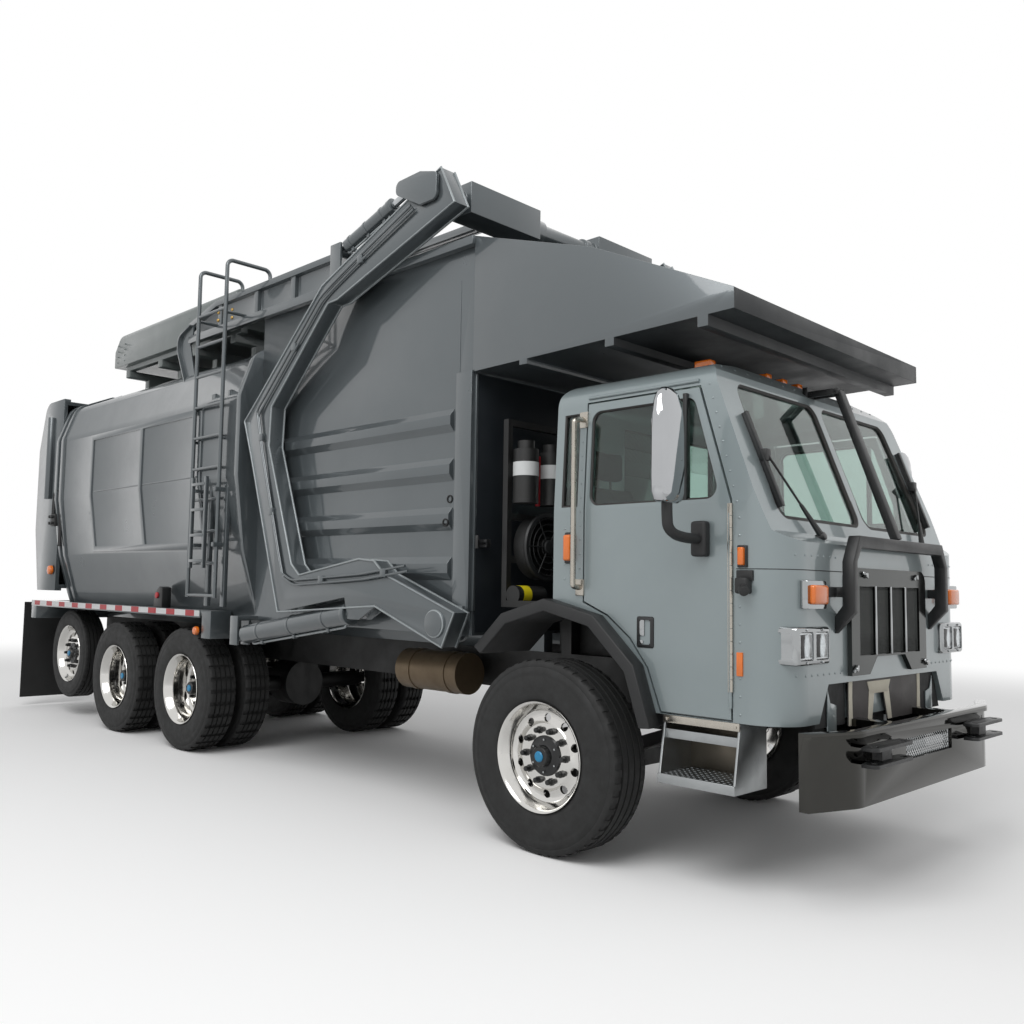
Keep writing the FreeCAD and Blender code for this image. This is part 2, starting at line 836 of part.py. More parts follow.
def tyre_outline(radius, width, middle):
    """A tyre's section, from bead to bead, as (along, out) places about its middle plane."""
    half = f"{width} / 2"
    wall = f"({radius} - rim_radius)"
    side = [(f"{half} * {across}", f"rim_radius + {wall} * {up}") for across, up in TYRE_SIDE_SHARES]
    left = [(f"{middle} + {y}", z) for y, z in side]
    right = [(f"{middle} - {y}", z) for y, z in reversed(side)]
    return left + right


def rim_outline(width, dish, bore):
    """A disc wheel's section. dish is how far the disc's face lies out of the middle plane."""
    half = f"{width} * 0.39"
    face = dish
    return [
        (half, "rim_radius"), (half, "rim_radius - seat_gap - rim_lip"),
        (f"{face} + rim_wall", "rim_radius - 4 * rim_lip"), (f"{face} + rim_wall", bore),
        (f"{face}", bore), (f"{face}", "rim_radius - 4 * rim_lip - rim_wall"),
        (f"-({half}) + rim_lip", "rim_radius - 3 * rim_lip"),
        (f"-({half})", "rim_radius - rim_lip"), (f"-({half})", "rim_radius"),
    ]


def disc_holes(body, sketch_name, plane_offset, ring, radius, count, depth):
    """Round holes through the disc, on a ring about the hub."""
    doc.recompute()
    sketch = sketch_on(body, "XZ_Plane", plane_offset, sketch_name)
    sketch.addGeometry(Part.Circle(FreeCAD.Vector(0, SKETCH_START, 0), Z_AXIS, SKETCH_START / 2), False)
    sketch.addConstraint(Sketcher.Constraint("PointOnObject", 0, 3, -2))
    held = sketch.addConstraint(Sketcher.Constraint("DistanceY", -1, 1, 0, 3, SKETCH_START))
    sketch.setExpression(f"Constraints[{held}]", formula(ring))
    size = sketch.addConstraint(Sketcher.Constraint("Radius", 0, SKETCH_START / 2))
    sketch.setExpression(f"Constraints[{size}]", formula(radius))
    before = body.Tip
    pocket = body.newObject("PartDesign::Pocket", sketch_name + "_pocket")
    pocket.Profile = sketch
    pocket.Type = "ThroughAll"
    pocket.Midplane = True
    doc.recompute()
    pattern = body.newObject("PartDesign::PolarPattern", sketch_name + "_pattern")
    pattern.Originals = [pocket]
    pattern.Axis = (sketch, ["N_Axis"])
    pattern.Angle = 360
    bind(pattern, Occurrences=count)
    body.Tip = pattern
    doc.recompute()
    if pattern.Shape.Volume >= before.Shape.Volume:
        raise RuntimeError(f"{sketch_name} removes nothing")


def wheel(label, x, side, height, radius, width, dish, twin):
    """A wheel's tyre and rim nodes. side is its place across; twin adds the inner wheel."""
    rim = turned(f"{label}_disc", rim_outline(width, dish, "hub_radius - 2 * rim_wall"))
    disc_holes(rim, f"{label}_holes", 0, "hand_hole_ring", "hand_hole_radius", "hand_hole_count", width)
    face = f"{dish} + rim_wall"
    hub = turned(f"{label}_hub", [
        (f"{dish} - hub_radius", "spindle_radius + seat_gap"), (f"{dish} - hub_radius", "hub_radius"),
        (f"{face}", "hub_radius"), (f"{face} + nut_height", "hub_radius * 0.72"),
        (f"{face} + nut_height", 0), (f"{dish}", 0), (f"{dish}", "spindle_radius + seat_gap")])
    rim_parts = [rim, hub]
    tyre = turned(f"{label}_tyre_body", tyre_outline(radius, width, "0"))
    tyre_parts = [tyre]
    if twin:
        tyre_parts.append(turned(f"{label}_tyre_inner", tyre_outline(radius, width, "-twin_spacing")))
        rim_parts.append(turned(f"{label}_rim_inner", [
            (f"{width} * 0.39 - twin_spacing", "rim_radius"),
            (f"{width} * 0.39 - twin_spacing", "rim_radius - 2 * rim_lip"),
            (f"{dish} - hub_radius", "hub_radius"), (f"{dish} - hub_radius - rim_wall", "hub_radius"),
            (f"{dish} - hub_radius - rim_wall", "spindle_radius + axle_tube_radius"),
            (f"-{width} * 0.39 - twin_spacing", "rim_radius - 2 * rim_lip"),
            (f"-{width} * 0.39 - twin_spacing", "rim_radius")]))
    rims = fuse(f"{label}_rims", *rim_parts)
    tyres = group(f"{label}_tyres", *tyre_parts)
    for sign, name in (("-", "right"), ("", "left")):
        source_rim = rims if name == "left" else mirror(f"{label}_rims_right", rims)
        source_tyre = tyres if name == "left" else mirror(f"{label}_tyres_right", tyres)
        for kind, source in (("rim", source_rim), ("tyre", source_tyre)):
            moved = doc.addObject("Part::Compound", f"{label}_{kind}_{name}_placed")
            moved.Links = [source]
            place(moved, x, f"{sign} ({side})", height)
            node(f"{kind}_{label}_{name}", moved)


# Cab

def cab_volume(name, inset):
    """The cab's outer form, made smaller all round by an inset."""
    side = [
        (f"axle_x + {inset}", f"cab_floor + {inset}"), (f"axle_x + {inset}", f"cab_rear_height - {inset}"),
        (ahead(f"cab_roof_front - {inset} / 2"), f"cab_roof_height - {inset}"),
        (ahead(f"cab_brow_front - {inset}"), f"cab_brow_height - {inset} / 2"),
        (ahead(f"cab_cowl_front - {inset}"), "cab_cowl_height"),
        (ahead(f"cab_front - {inset}"), "cab_chin_height"),
        (ahead(f"cab_front - {inset}"), f"cab_floor + {inset}"),
    ]
    half = f"cab_half_width - {inset}"
    plan = [
        ("axle_x", f"-({half})"), (ahead(f"cab_front - {inset}"), f"-({half})"),
        (ahead(f"cab_front - {inset}"), half), ("axle_x", half),
    ]
    eave = f"cab_half_width - cab_tumblehome - {inset}"
    crown = f"cab_roof_height + drip_rail - {inset}"
    right = [(half, "cab_floor"), (half, "cab_belt"), (eave, f"cab_roof_side - {inset}"),
             ("cab_crown_half", crown)]
    front = right + [(f"-({y})", z) for y, z in reversed(right)]
    from_side = pad(name + "_side", "XZ_Plane", side, f"-({half}) - overrun", f"{half} + overrun",
                    {1: "cab_roof_edge", 2: "cab_roof_edge"})
    from_top = pad(name + "_plan", "XY_Plane", plan, "cab_floor - overrun", "cab_roof_height + overrun",
                   {1: "cab_corner", 2: "cab_corner"})
    from_front = pad(name + "_front", "YZ_Plane", front, "axle_x - overrun", ahead("cab_front + overrun"),
                     {2: "cab_roof_round", 3: "cab_crown_round", 4: "cab_crown_round", 5: "cab_roof_round"})
    return common(name, from_side, from_top, from_front)


def cab_arch(name, radius):
    """The wheel arches' round, right across the cab."""
    return rod(name, "y", radius, "arch_x", "-cab_half_width - overrun", "arch_centre_height",
               "2 * (cab_half_width + overrun)")


DOOR_ARCH_ANGLES = (74, 60, 45, 30, 12)


def door_outline(grow):
    """The door seen from the side: raked pillar in front, wheel arch cut-out behind."""
    front = ahead(f"door_front + {grow}")
    rear = ahead(f"door_rear - {grow}")
    radius = f"(arch_radius + door_arch_margin - {grow})"
    points = [
        (front, f"door_bottom - {grow}"), (front, f"cab_belt + {grow}"),
        (ahead(f"door_pillar_front + {grow}"), f"door_top + {grow}"), (rear, f"door_top + {grow}"),
        (rear, f"arch_centre_height + sqrt({radius} ^ 2 - (door_rear - {grow} - arch_centre_ahead) ^ 2)"),
    ]
    for angle in DOOR_ARCH_ANGLES[1:-1]:
        points.append((f"arch_x + {radius} * cos({angle})", f"arch_centre_height + {radius} * sin({angle})"))
    points.append((f"arch_x + sqrt({radius} ^ 2 - (arch_centre_height - door_bottom + {grow}) ^ 2)",
                   f"door_bottom - {grow}"))
    return points


WINDOW_ROUNDS = {index: "window_round" for index in range(4)}
PANE_ROUNDS = {index: "pane_round" for index in range(4)}


def window_outline(grow):
    return [
        (ahead(f"door_front - window_edge - {grow}"), f"window_sill + {grow}"),
        (ahead(f"door_pillar_front - window_edge / 2 - {grow}"), f"window_top - {grow}"),
        (ahead(f"door_rear + window_edge / 2 + {grow}"), f"window_top - {grow}"),
        (ahead(f"door_rear + window_edge / 2 + {grow}"), f"window_sill + {grow}"),
    ]


def pane_outline(sign):
    near = f"{sign} pane_half_gap"
    far_low = f"{sign} pane_side"
    return [(near, "pane_bottom"), (far_low, "pane_bottom"),
            (f"{sign} (pane_side - cab_tumblehome)", "pane_top"),
            (near, "pane_top")]


def cab():
    """The cab shell, its doors and all its glass, from the same three-way form."""
    outer = cab_volume("cab_outer", "0")
    room = cut("cab_room", cab_volume("cab_inner", "cab_wall"),
               cab_arch("cab_arch_wall", "arch_radius + arch_wall"),
               box("tunnel_wall", ("axle_x - overrun", ahead("tunnel_front + cab_wall / 3")),
                   ("-tunnel_half_width - cab_wall", "tunnel_half_width + cab_wall"),
                   ("cab_floor", "tunnel_top + cab_wall")))
    tunnel = box("tunnel", ("axle_x - overrun", ahead("tunnel_front")),
                 ("-tunnel_half_width", "tunnel_half_width"), ("cab_floor - overrun", "tunnel_top"))
    walls = cut("cab_walls", outer, room, cab_arch("cab_arch_cut", "arch_radius"), tunnel)
    deep = "cab_half_width - cab_wall - cab_tumblehome - overrun"
    wide = "cab_half_width + overrun"
    windows = []
    glass = []
    layer = cut("glass_layer", cab_volume("glass_outer", "glass_depth"),
                cab_volume("glass_inner", "(glass_depth + glass_thickness)"))
    for side, sign in (("right", "-"), ("left", "")):
        pane = pad(f"pane_{side}", "YZ_Plane", pane_outline(sign), ahead("cab_roof_front - 2 * overrun"),
                   ahead("cab_front + overrun"), PANE_ROUNDS)
        windows.append(pane)
        glass.append(common(f"pane_glass_{side}", layer, pane))
        quarter = box(f"quarter_{side}", (ahead("window_edge"), ahead("door_rear - window_edge")),
                      (f"-({wide})", f"-({deep})") if sign else (deep, wide), ("window_sill", "window_top"))
        windows.append(quarter)
        glass.append(common(f"quarter_glass_{side}", layer, quarter))
    rear_window = box("rear_window", ("axle_x - overrun", ahead("cab_wall + overrun")),
                      ("-tunnel_half_width", "tunnel_half_width"),
                      ("window_sill + window_edge", "window_top"))
    windows.append(rear_window)
    glass.append(common("rear_glass", layer, rear_window))
    grille_recess = box("grille_recess",
                        (ahead("cab_front - 2 * cab_wall / 3"), ahead("cab_front + overrun")),
                        ("-grille_mesh_half", "grille_mesh_half"), ("grille_mesh_low", "grille_mesh_high"))
    notch = pad("chin_notch", "YZ_Plane", [
        ("-notch_outer", "cab_floor - overrun"), ("-notch_outer", "cab_floor"),
        ("-notch_inner", "notch_top"),
        ("notch_inner", "notch_top"), ("notch_outer", "cab_floor"), ("notch_outer", "cab_floor - overrun"),
    ], ahead("cab_front - 2 * cab_wall / 3"), ahead("cab_front + overrun"))
    drips = []
    for side, sign in (("right", "-"), ("left", "")):
        drips.append(rod(f"drip_rail_{side}", "x", "drip_rail", ahead("door_rear"),
                         f"{sign} (cab_half_width - cab_tumblehome * (drip_rail_height - cab_belt)"
                         " / (cab_roof_side - cab_belt))", "drip_rail_height",
                         "door_pillar_front - door_rear"))
    door_holes = []
    inside = box("door_inside", (ahead("0"), ahead("cab_front")),
                 ("cab_wall - cab_half_width", "cab_half_width - cab_wall"),
                 ("cab_floor - overrun", "cab_belt"))
    for side, sign in (("right", "-"), ("left", "")):
        low, high = (f"-({wide})", f"-({deep})") if sign else (deep, wide)
        door_holes.append(cut(f"door_hole_cut_{side}",
                              pad(f"door_hole_{side}", "XZ_Plane", door_outline("door_gap"), low, high),
                              inside))
        slab = cut(f"door_slab_cut_{side}",
                   pad(f"door_slab_{side}", "XZ_Plane", door_outline("0"), low, high), inside)
        opening = pad(f"door_window_{side}", "XZ_Plane", window_outline("0"), low, high, WINDOW_ROUNDS)
        skin = common(f"door_skin_{side}", walls, slab)
        hinge_side = f"{sign} (cab_half_width + hinge_radius / 2)"
        hinge = rod(f"door_hinge_{side}", "z", "hinge_radius", ahead("door_front"), hinge_side,
                    "door_bottom + window_edge", "cab_belt - door_bottom - 2 * window_edge")
        node(f"door_{side}", fuse(f"door_fused_{side}", cut(f"door_cut_{side}", skin, opening), hinge))
        node(f"door_glass_{side}", common(f"door_glass_common_{side}", layer, opening))
        mirror_head(side, sign)
    shell = cut("cab_cut", walls, grille_recess, notch, *windows, *door_holes)
    node("cab_shell", fuse("cab_fused", shell, *drips))
    node("cab_glass", group("cab_glass_group", *glass))


def mirror_head(side, sign):
    """A tall mirror whose shell narrows to its top, on a bent arm from the door."""
    centre = f"{sign} mirror_side"
    half = "mirror_width / 2"
    shoulder = "mirror_high - mirror_cap_height"
    outline_points = [
        (f"{centre} - {half}", "mirror_low"), (f"{centre} + {half}", "mirror_low"),
        (f"{centre} + {half} - mirror_cap_taper", shoulder),
        (f"{centre} + {half} - mirror_top_taper", "mirror_high"),
        (f"{centre} - {half} + mirror_top_taper", "mirror_high"),
        (f"{centre} - {half} + mirror_cap_taper", shoulder),
    ]
    head = pad(f"mirror_shell_{side}", "YZ_Plane", outline_points, ahead("mirror_x - mirror_depth / 2"),
               ahead("mirror_x + mirror_depth / 2"), {index: "mirror_round" for index in (0, 1, 3, 4)})
    stem = rod(f"mirror_stem_{side}", "z", "mirror_tube", ahead("mirror_x"), centre, "mirror_base_height",
               "mirror_low + mirror_tube - mirror_base_height")
    start = centre if sign else "cab_half_width"
    reach = rod(f"mirror_reach_{side}", "y", "mirror_tube", ahead("mirror_x"), start, "mirror_base_height",
                "mirror_side - cab_half_width")
    node(f"mirror_{side}", fuse(f"mirror_fused_{side}", head, stem, reach))


GRILLE_BAR_SHARES = (-0.5, 0, 0.5)


def grille():
    """The grille plate with round top corners and a notched foot, its mesh and three bars."""
    back = ahead("cab_front")
    front = ahead("cab_front + grille_depth")
    half = "grille_half_width"
    notch = "grille_low + grille_notch_height"
    points = [(f"-{half}", "grille_low"), (f"-{half}", "grille_high"), (half, "grille_high"),
              (half, "grille_low"),
              ("grille_notch_low_half", "grille_low"), ("grille_notch_high_half", notch),
              ("-grille_notch_high_half", notch), ("-grille_notch_low_half", "grille_low")]
    plate = pad("grille_plate", "YZ_Plane", points, back, front, {1: "grille_round", 2: "grille_round"})
    window = box("grille_window",
                 (ahead("cab_front - overrun"), ahead("cab_front + grille_depth + overrun")),
                 ("-grille_mesh_half", "grille_mesh_half"), ("grille_mesh_low", "grille_mesh_high"))
    mesh = box("grille_mesh", (ahead("cab_front + grille_depth / 2 - grille_mesh"),
                               ahead("cab_front + grille_depth / 2")),
               ("-grille_mesh_half", "grille_mesh_half"), ("grille_mesh_low", "grille_mesh_high"))
    pieces = [cut("grille_surround", plate, window), mesh]
    for number, share in enumerate(GRILLE_BAR_SHARES):
        middle = f"{share} * grille_mesh_half"
        pieces.append(box(f"grille_bar_{number}", (ahead("cab_front + grille_depth / 2"), front),
                          (f"{middle} - grille_bar / 2", f"{middle} + grille_bar / 2"),
                          ("grille_mesh_low", "grille_mesh_high")))
    node("grille", fuse("grille_fused", *pieces))


ROOF_LAMP_SHARES = (-0.72, -0.17, 0, 0.17, 0.72)


def lamps():
    """The headlamps wrapped round the cab's corners, the turn lamps, and the roof's marker lamps."""
    near = "-lamp_side - lamp_width / 2"
    far = "-lamp_side + lamp_width / 2"
    plan = [(ahead("cab_front - lamp_back"), near), (ahead("cab_front - lamp_proud"), near),
            (ahead("cab_front + lamp_proud"), f"{near} + lamp_back"), (ahead("cab_front + lamp_proud"), far),
            (ahead("cab_front - lamp_proud"), far), (ahead("cab_front - lamp_back"), f"{near} + lamp_back")]
    housing = pad("headlamp_housing", "XY_Plane", plan, "lamp_height - lamp_tall / 2",
                  "lamp_height + lamp_tall / 2", {1: "lamp_round", 2: "lamp_round"})
    head = cut("headlamp", housing, cab_volume("cab_behind_lamp", "(0 - seat_gap)"))
    middle = "-turn_lamp_side"
    turn_plan = [(ahead("cab_front + seat_gap"), f"{middle} - turn_lamp_width / 2"),
                 (ahead("cab_front + turn_lamp_proud"), f"{middle} - turn_lamp_width / 4"),
                 (ahead("cab_front + turn_lamp_proud"), f"{middle} + turn_lamp_width / 3"),
                 (ahead("cab_front + seat_gap"), f"{middle} + turn_lamp_width / 2")]
    turn = pad("turn_lamp", "XY_Plane", turn_plan, "turn_lamp_height - turn_lamp_tall / 2",
               "turn_lamp_height + turn_lamp_tall / 2")
    node("headlamps", both("headlamps_pair", group("front_lamps", head, turn)))
    roof = []
    for number, share in enumerate(ROOF_LAMP_SHARES):
        across = f"{share} * cab_half_width"
        roof.append(box(f"roof_lamp_{number}", (ahead("cab_roof_front - 2 * roof_lamp_length"),
                                                ahead("cab_roof_front - roof_lamp_length")),
                        (f"{across} - roof_lamp_width / 2", f"{across} + roof_lamp_width / 2"),
                        ("cab_roof_side", "cab_roof_height + roof_lamp_height")))
    cab_under = cab_volume("cab_under_lamps", "(0 - seat_gap)")
    node("marker_lamps", cut("marker_lamps_seated", group("marker_lamps_set", *roof), cab_under))


def brush_guard():
    """The black bar frame before the grille's top, its legs bent back to the cab's face."""
    face = ahead("cab_front")
    back = ahead("guard_ahead")
    front = ahead("guard_ahead + guard_bar")
    shoulder = "guard_high - guard_corner"
    pieces = []
    leg = [(face, "guard_foot"), (front, "guard_foot + guard_bend"), (front, shoulder), (back, shoulder),
           (back, "guard_foot + guard_bend + guard_bar / 2"),
           (face, "guard_foot + guard_bend - guard_width / 2")]
    for name, sign in (("right", "-"), ("left", "")):
        middle = f"{sign} guard_side"
        pieces.append(pad(f"guard_leg_{name}", "XZ_Plane", leg, f"{middle} - guard_width / 2",
                          f"{middle} + guard_width / 2"))
        reach = f"{sign} (guard_side + guard_bracket_reach)"
        across = (reach, middle) if sign else (middle, reach)
        pieces.append(box(f"guard_bracket_{name}", (face, ahead("cab_front + plate_thickness")), across,
                          ("guard_bracket", "guard_bracket + guard_bracket_height")))
        pieces.append(box(f"guard_stay_{name}", (face, back),
                          (f"{middle} - guard_width / 2", f"{middle} + guard_width / 2"),
                          ("guard_bracket", "guard_bracket + guard_bracket_height")))
    outer = "guard_side + guard_width / 2"
    inner = "guard_side - guard_width / 2"
    top = [(f"-({outer})", shoulder), (f"-({outer}) + guard_corner_side", "guard_high"),
           (f"{outer} - guard_corner_side", "guard_high"), (outer, shoulder), (inner, shoulder),
           (f"{inner} - guard_corner_side * 2 / 3", "guard_high - guard_bar"),
           (f"guard_corner_side * 2 / 3 - ({inner})", "guard_high - guard_bar"), (f"-({inner})", shoulder)]
    pieces.append(pad("guard_top", "YZ_Plane", top, back, front))
    node("brush_guard", fuse("brush_guard_fused", *pieces))


def bumper():
    """The front bumper: flat in the middle with swept ends, a mouth, and its irons on the rails."""
    front = ahead("bumper_ahead")
    swept = ahead("bumper_ahead - bumper_sweep")
    back = ahead("bumper_ahead - bumper_wall")
    swept_back = ahead("bumper_ahead - bumper_sweep - bumper_wall")
    plan = [(swept, "-bumper_side"), (front, "-bumper_flat"), (front, "bumper_flat"), (swept, "bumper_side"),
            (swept_back, "bumper_side"), (back, "bumper_flat"), (back, "-bumper_flat"),
            (swept_back, "-bumper_side")]
    rounds = {index: "bumper_corner" for index in (1, 2, 5, 6)}
    shell = pad("bumper_shell", "XY_Plane", plan, "bumper_low", "bumper_high - bumper_lip", rounds)
    rim_plan = [(f"{x} + bumper_lip / 2" if index < 4 else x, y) for index, (x, y) in enumerate(plan)]
    lip = pad("bumper_rim", "XY_Plane", rim_plan, "bumper_high - bumper_lip", "bumper_high", rounds)
    mouth = box("bumper_mouth", (ahead("bumper_ahead - 2 * bumper_wall"), ahead("bumper_ahead + overrun")),
                ("-bumper_mouth_half", "bumper_mouth_half"), ("bumper_mouth_low", "bumper_mouth_high"))
    pieces = [cut("bumper_cut", shell, mouth), lip]
    for name, sign in (("right", "-"), ("left", "")):
        pieces.append(box(f"bumper_iron_{name}", (ahead("rail_ahead"), back), over_rail(sign),
                          ("bumper_high - rail_height / 2", "bumper_high")))
    bracket = tow_bracket()
    pieces += [bracket, mirror("tow_bracket_left", bracket)]
    node("bumper", fuse("bumper_fused", *pieces))


def tow_bracket():
    """Two plates one above the other before the bumper, drilled for upright tow pins."""
    front = ahead("bumper_ahead + tow_reach")
    back = ahead("bumper_ahead - bumper_wall / 2")
    narrow = "(tow_side_outer - tow_side_inner) / 4"
    plan = [(back, "-tow_side_outer + " + narrow), (ahead("bumper_ahead"), "-tow_side_outer + " + narrow),
            (ahead("bumper_ahead + tow_hole_edge / 2"), "-tow_side_outer"), (front, "-tow_side_outer"),
            (front, "-tow_side_inner"), (ahead("bumper_ahead + tow_hole_edge / 2"), "-tow_side_inner"),
            (ahead("bumper_ahead"), "-tow_side_inner - " + narrow), (back, "-tow_side_inner - " + narrow)]
    rounds = {3: "tow_hole_edge", 4: "tow_hole_edge"}
    plates = [pad("tow_plate_low", "XY_Plane", plan, "tow_low", "tow_low + tow_plate", rounds),
              pad("tow_plate_high", "XY_Plane", plan, "tow_high - tow_plate", "tow_high", rounds)]
    middle = "-(tow_side_inner + tow_side_outer) / 2"
    block = box("tow_block", (back, ahead("bumper_ahead + tow_reach / 2")),
                (f"{middle} - {narrow} / 2", f"{middle} + {narrow} / 2"), ("tow_low", "tow_high"))
    holes = [rod(f"tow_hole_{name}", "z", "tow_hole_radius",
                 ahead("bumper_ahead + tow_reach - tow_hole_edge"),
                 side, "tow_low - overrun", "tow_high - tow_low + 2 * overrun")
             for name, side in (("outer", "-tow_hole_side"),
                                ("inner", "tow_hole_side - tow_side_outer - tow_side_inner"))]
    return cut("tow_bracket", fuse("tow_bracket_fused", *plates, block), *holes)


def steps():
    """A folded step under each door, with two treads between side plates that slope at the front."""
    outer = "-step_side"
    inner = "-step_side + step_width"
    pieces = []
    cheek = [(outer, "step_low"), (f"{outer} + step_cheek_slope", "cab_floor"), (inner, "cab_floor"),
             (inner, "step_low")]
    for name, at in (("front", "step_front - plate_thickness"), ("rear", "step_rear")):
        pieces.append(pad(f"step_cheek_{name}", "YZ_Plane", cheek, ahead(at),
                          ahead(f"{at} + plate_thickness")))
    for name, at, edge in (("low", "step_low", outer),
                           ("middle", "step_middle", f"{outer} + step_cheek_slope")):
        pieces.append(box(f"step_tread_{name}", (ahead("step_rear"), ahead("step_front")), (edge, inner),
                          (at, f"{at} + plate_thickness")))
        pieces.append(box(f"step_lip_{name}", (ahead("step_rear"), ahead("step_front")),
                          (edge, f"{edge} + plate_thickness"), (at, f"{at} + step_lip")))
    pieces.append(box("step_back", (ahead("step_rear"), ahead("step_front")),
                      (inner, f"{inner} + plate_thickness"), ("step_low", "cab_floor")))
    node("steps", both("steps_pair", fuse("step", *pieces)))


FENDER_ANGLES = (5, 32, 62, 92, 120, 145)


def fender_ring(inner, outer):
    points = [(f"arch_x + ({outer}) * cos({angle})", f"arch_centre_height + ({outer}) * sin({angle})")
              for angle in FENDER_ANGLES]
    points += [(f"arch_x + ({inner}) * cos({angle})", f"arch_centre_height + ({inner}) * sin({angle})")
               for angle in reversed(FENDER_ANGLES)]
    return points


def fenders():
    """The faceted wheel flares with their liners."""
    liner = pad("fender_liner", "XZ_Plane",
                fender_ring("fender_inner_radius", "fender_inner_radius + fender_skin"),
                "-fender_side", "-fender_inner_side")
    lip = pad("fender_lip_ring", "XZ_Plane",
              fender_ring("fender_inner_radius", "fender_inner_radius + fender_lip"),
              "-fender_side", "-cab_half_width - seat_gap / 3")
    node("fenders", both("fenders_pair", fuse("fender", liner, lip)))


RING_STEP = 60


def cab_inside():
    """Two seats, the dashboard and the steering wheel."""
    chairs = []
    for side, sign in (("right", "-"), ("left", "")):
        middle = f"{sign} seat_side"
        across = (f"{middle} - seat_width / 2", f"{middle} + seat_width / 2")
        cushion = box(f"cushion_{side}", (ahead("seat_back_ahead"), ahead("seat_back_ahead + seat_depth")),
                      across,
                      ("seat_height - seat_pad", "seat_height"))
        back = box(f"seat_back_{side}", (ahead("seat_back_ahead - seat_pad"), ahead("seat_back_ahead")),
                   across,
                   ("seat_height - seat_pad", "seat_height + seat_back_height"))
        foot_low = "arch_centre_height + arch_radius + arch_wall"
        foot = box(f"seat_foot_{side}",
                   (ahead("cab_wall + seat_gap"), ahead("cab_wall + seat_gap + seat_pad")),
                   (f"{middle} - seat_width / 4", f"{middle} + seat_width / 4"), (foot_low, "seat_height"))
        chairs.append(fuse(f"seat_{side}", cushion, back, foot))
    node("seats", group("seats_pair", *chairs))
    dash_side = "cab_half_width - cab_wall - cab_corner"
    dash_front = ahead("cab_front - cab_wall")
    dash = box("dash_box", (ahead("cab_front - cab_wall - dash_depth"), dash_front),
               (f"-({dash_side})", dash_side), ("dash_low", "cab_chin_height"))
    node("dashboard", dash)
    wheel_at = ahead("cab_front - cab_wall - dash_depth - wheel_rim_radius")
    section = [(f"wheel_rim_tube * cos({angle})", f"wheel_rim_radius + wheel_rim_tube * sin({angle})")
               for angle in range(0, 360, RING_STEP)]
    flat = group("steering_ring_flat", turned("steering_ring_turned", section))
    place(flat, turn=X_AXIS, angle=90)
    ring = group("steering_ring", flat)
    place(ring, wheel_at, "seat_side", "dash_high", Y_AXIS, "-wheel_tilt")
    spoke = box("steering_spoke", (f"{wheel_at} - wheel_rim_tube", f"{wheel_at} + wheel_rim_tube"),
                ("seat_side - wheel_rim_radius", "seat_side + wheel_rim_radius"),
                ("dash_high - wheel_rim_tube", "dash_high + wheel_rim_tube"))
    column = rod("steering_column", "x", "wheel_rim_tube * 1.5", wheel_at, "seat_side",
                 "dash_low + (cab_chin_height - dash_low) / 2", "wheel_rim_radius")
    riser = box("steering_riser", (f"{wheel_at} - wheel_rim_tube", f"{wheel_at} + wheel_rim_tube"),
                ("seat_side - wheel_rim_tube", "seat_side + wheel_rim_tube"),
                ("dash_low + (cab_chin_height - dash_low) / 2", "dash_high"))
    node("steering_wheel", fuse("steering_fused", ring, spoke, column, riser))


def engine():
    """The engine as one block between the rails, and the radiator ahead of it."""
    across = ("-engine_half_width", "engine_half_width")
    block = box("engine", (behind("engine_behind"), ahead("engine_front")), across,
                ("engine_low", "engine_high"))
    mount = box("engine_mount", (behind("engine_behind / 2"), behind("engine_behind / 3")),
                ("rail_wall - rail_half_width", "rail_half_width - rail_wall"),
                ("rail_bottom + rail_wall", "rail_top - rail_wall"))
    radiator = box("radiator", (ahead("radiator_front - radiator_depth"), ahead("radiator_front")), across,
                   ("engine_low", "engine_high"))
    shaft = box("radiator_hoses", (ahead("engine_front"), ahead("radiator_front - radiator_depth")),
                ("-rail_flange / 2", "rail_flange / 2"), ("rail_top", "rail_top + rail_flange"))
    node("engine_block", fuse("engine_fused", block, mount, radiator, shaft))


CANISTER_COUNT = 2


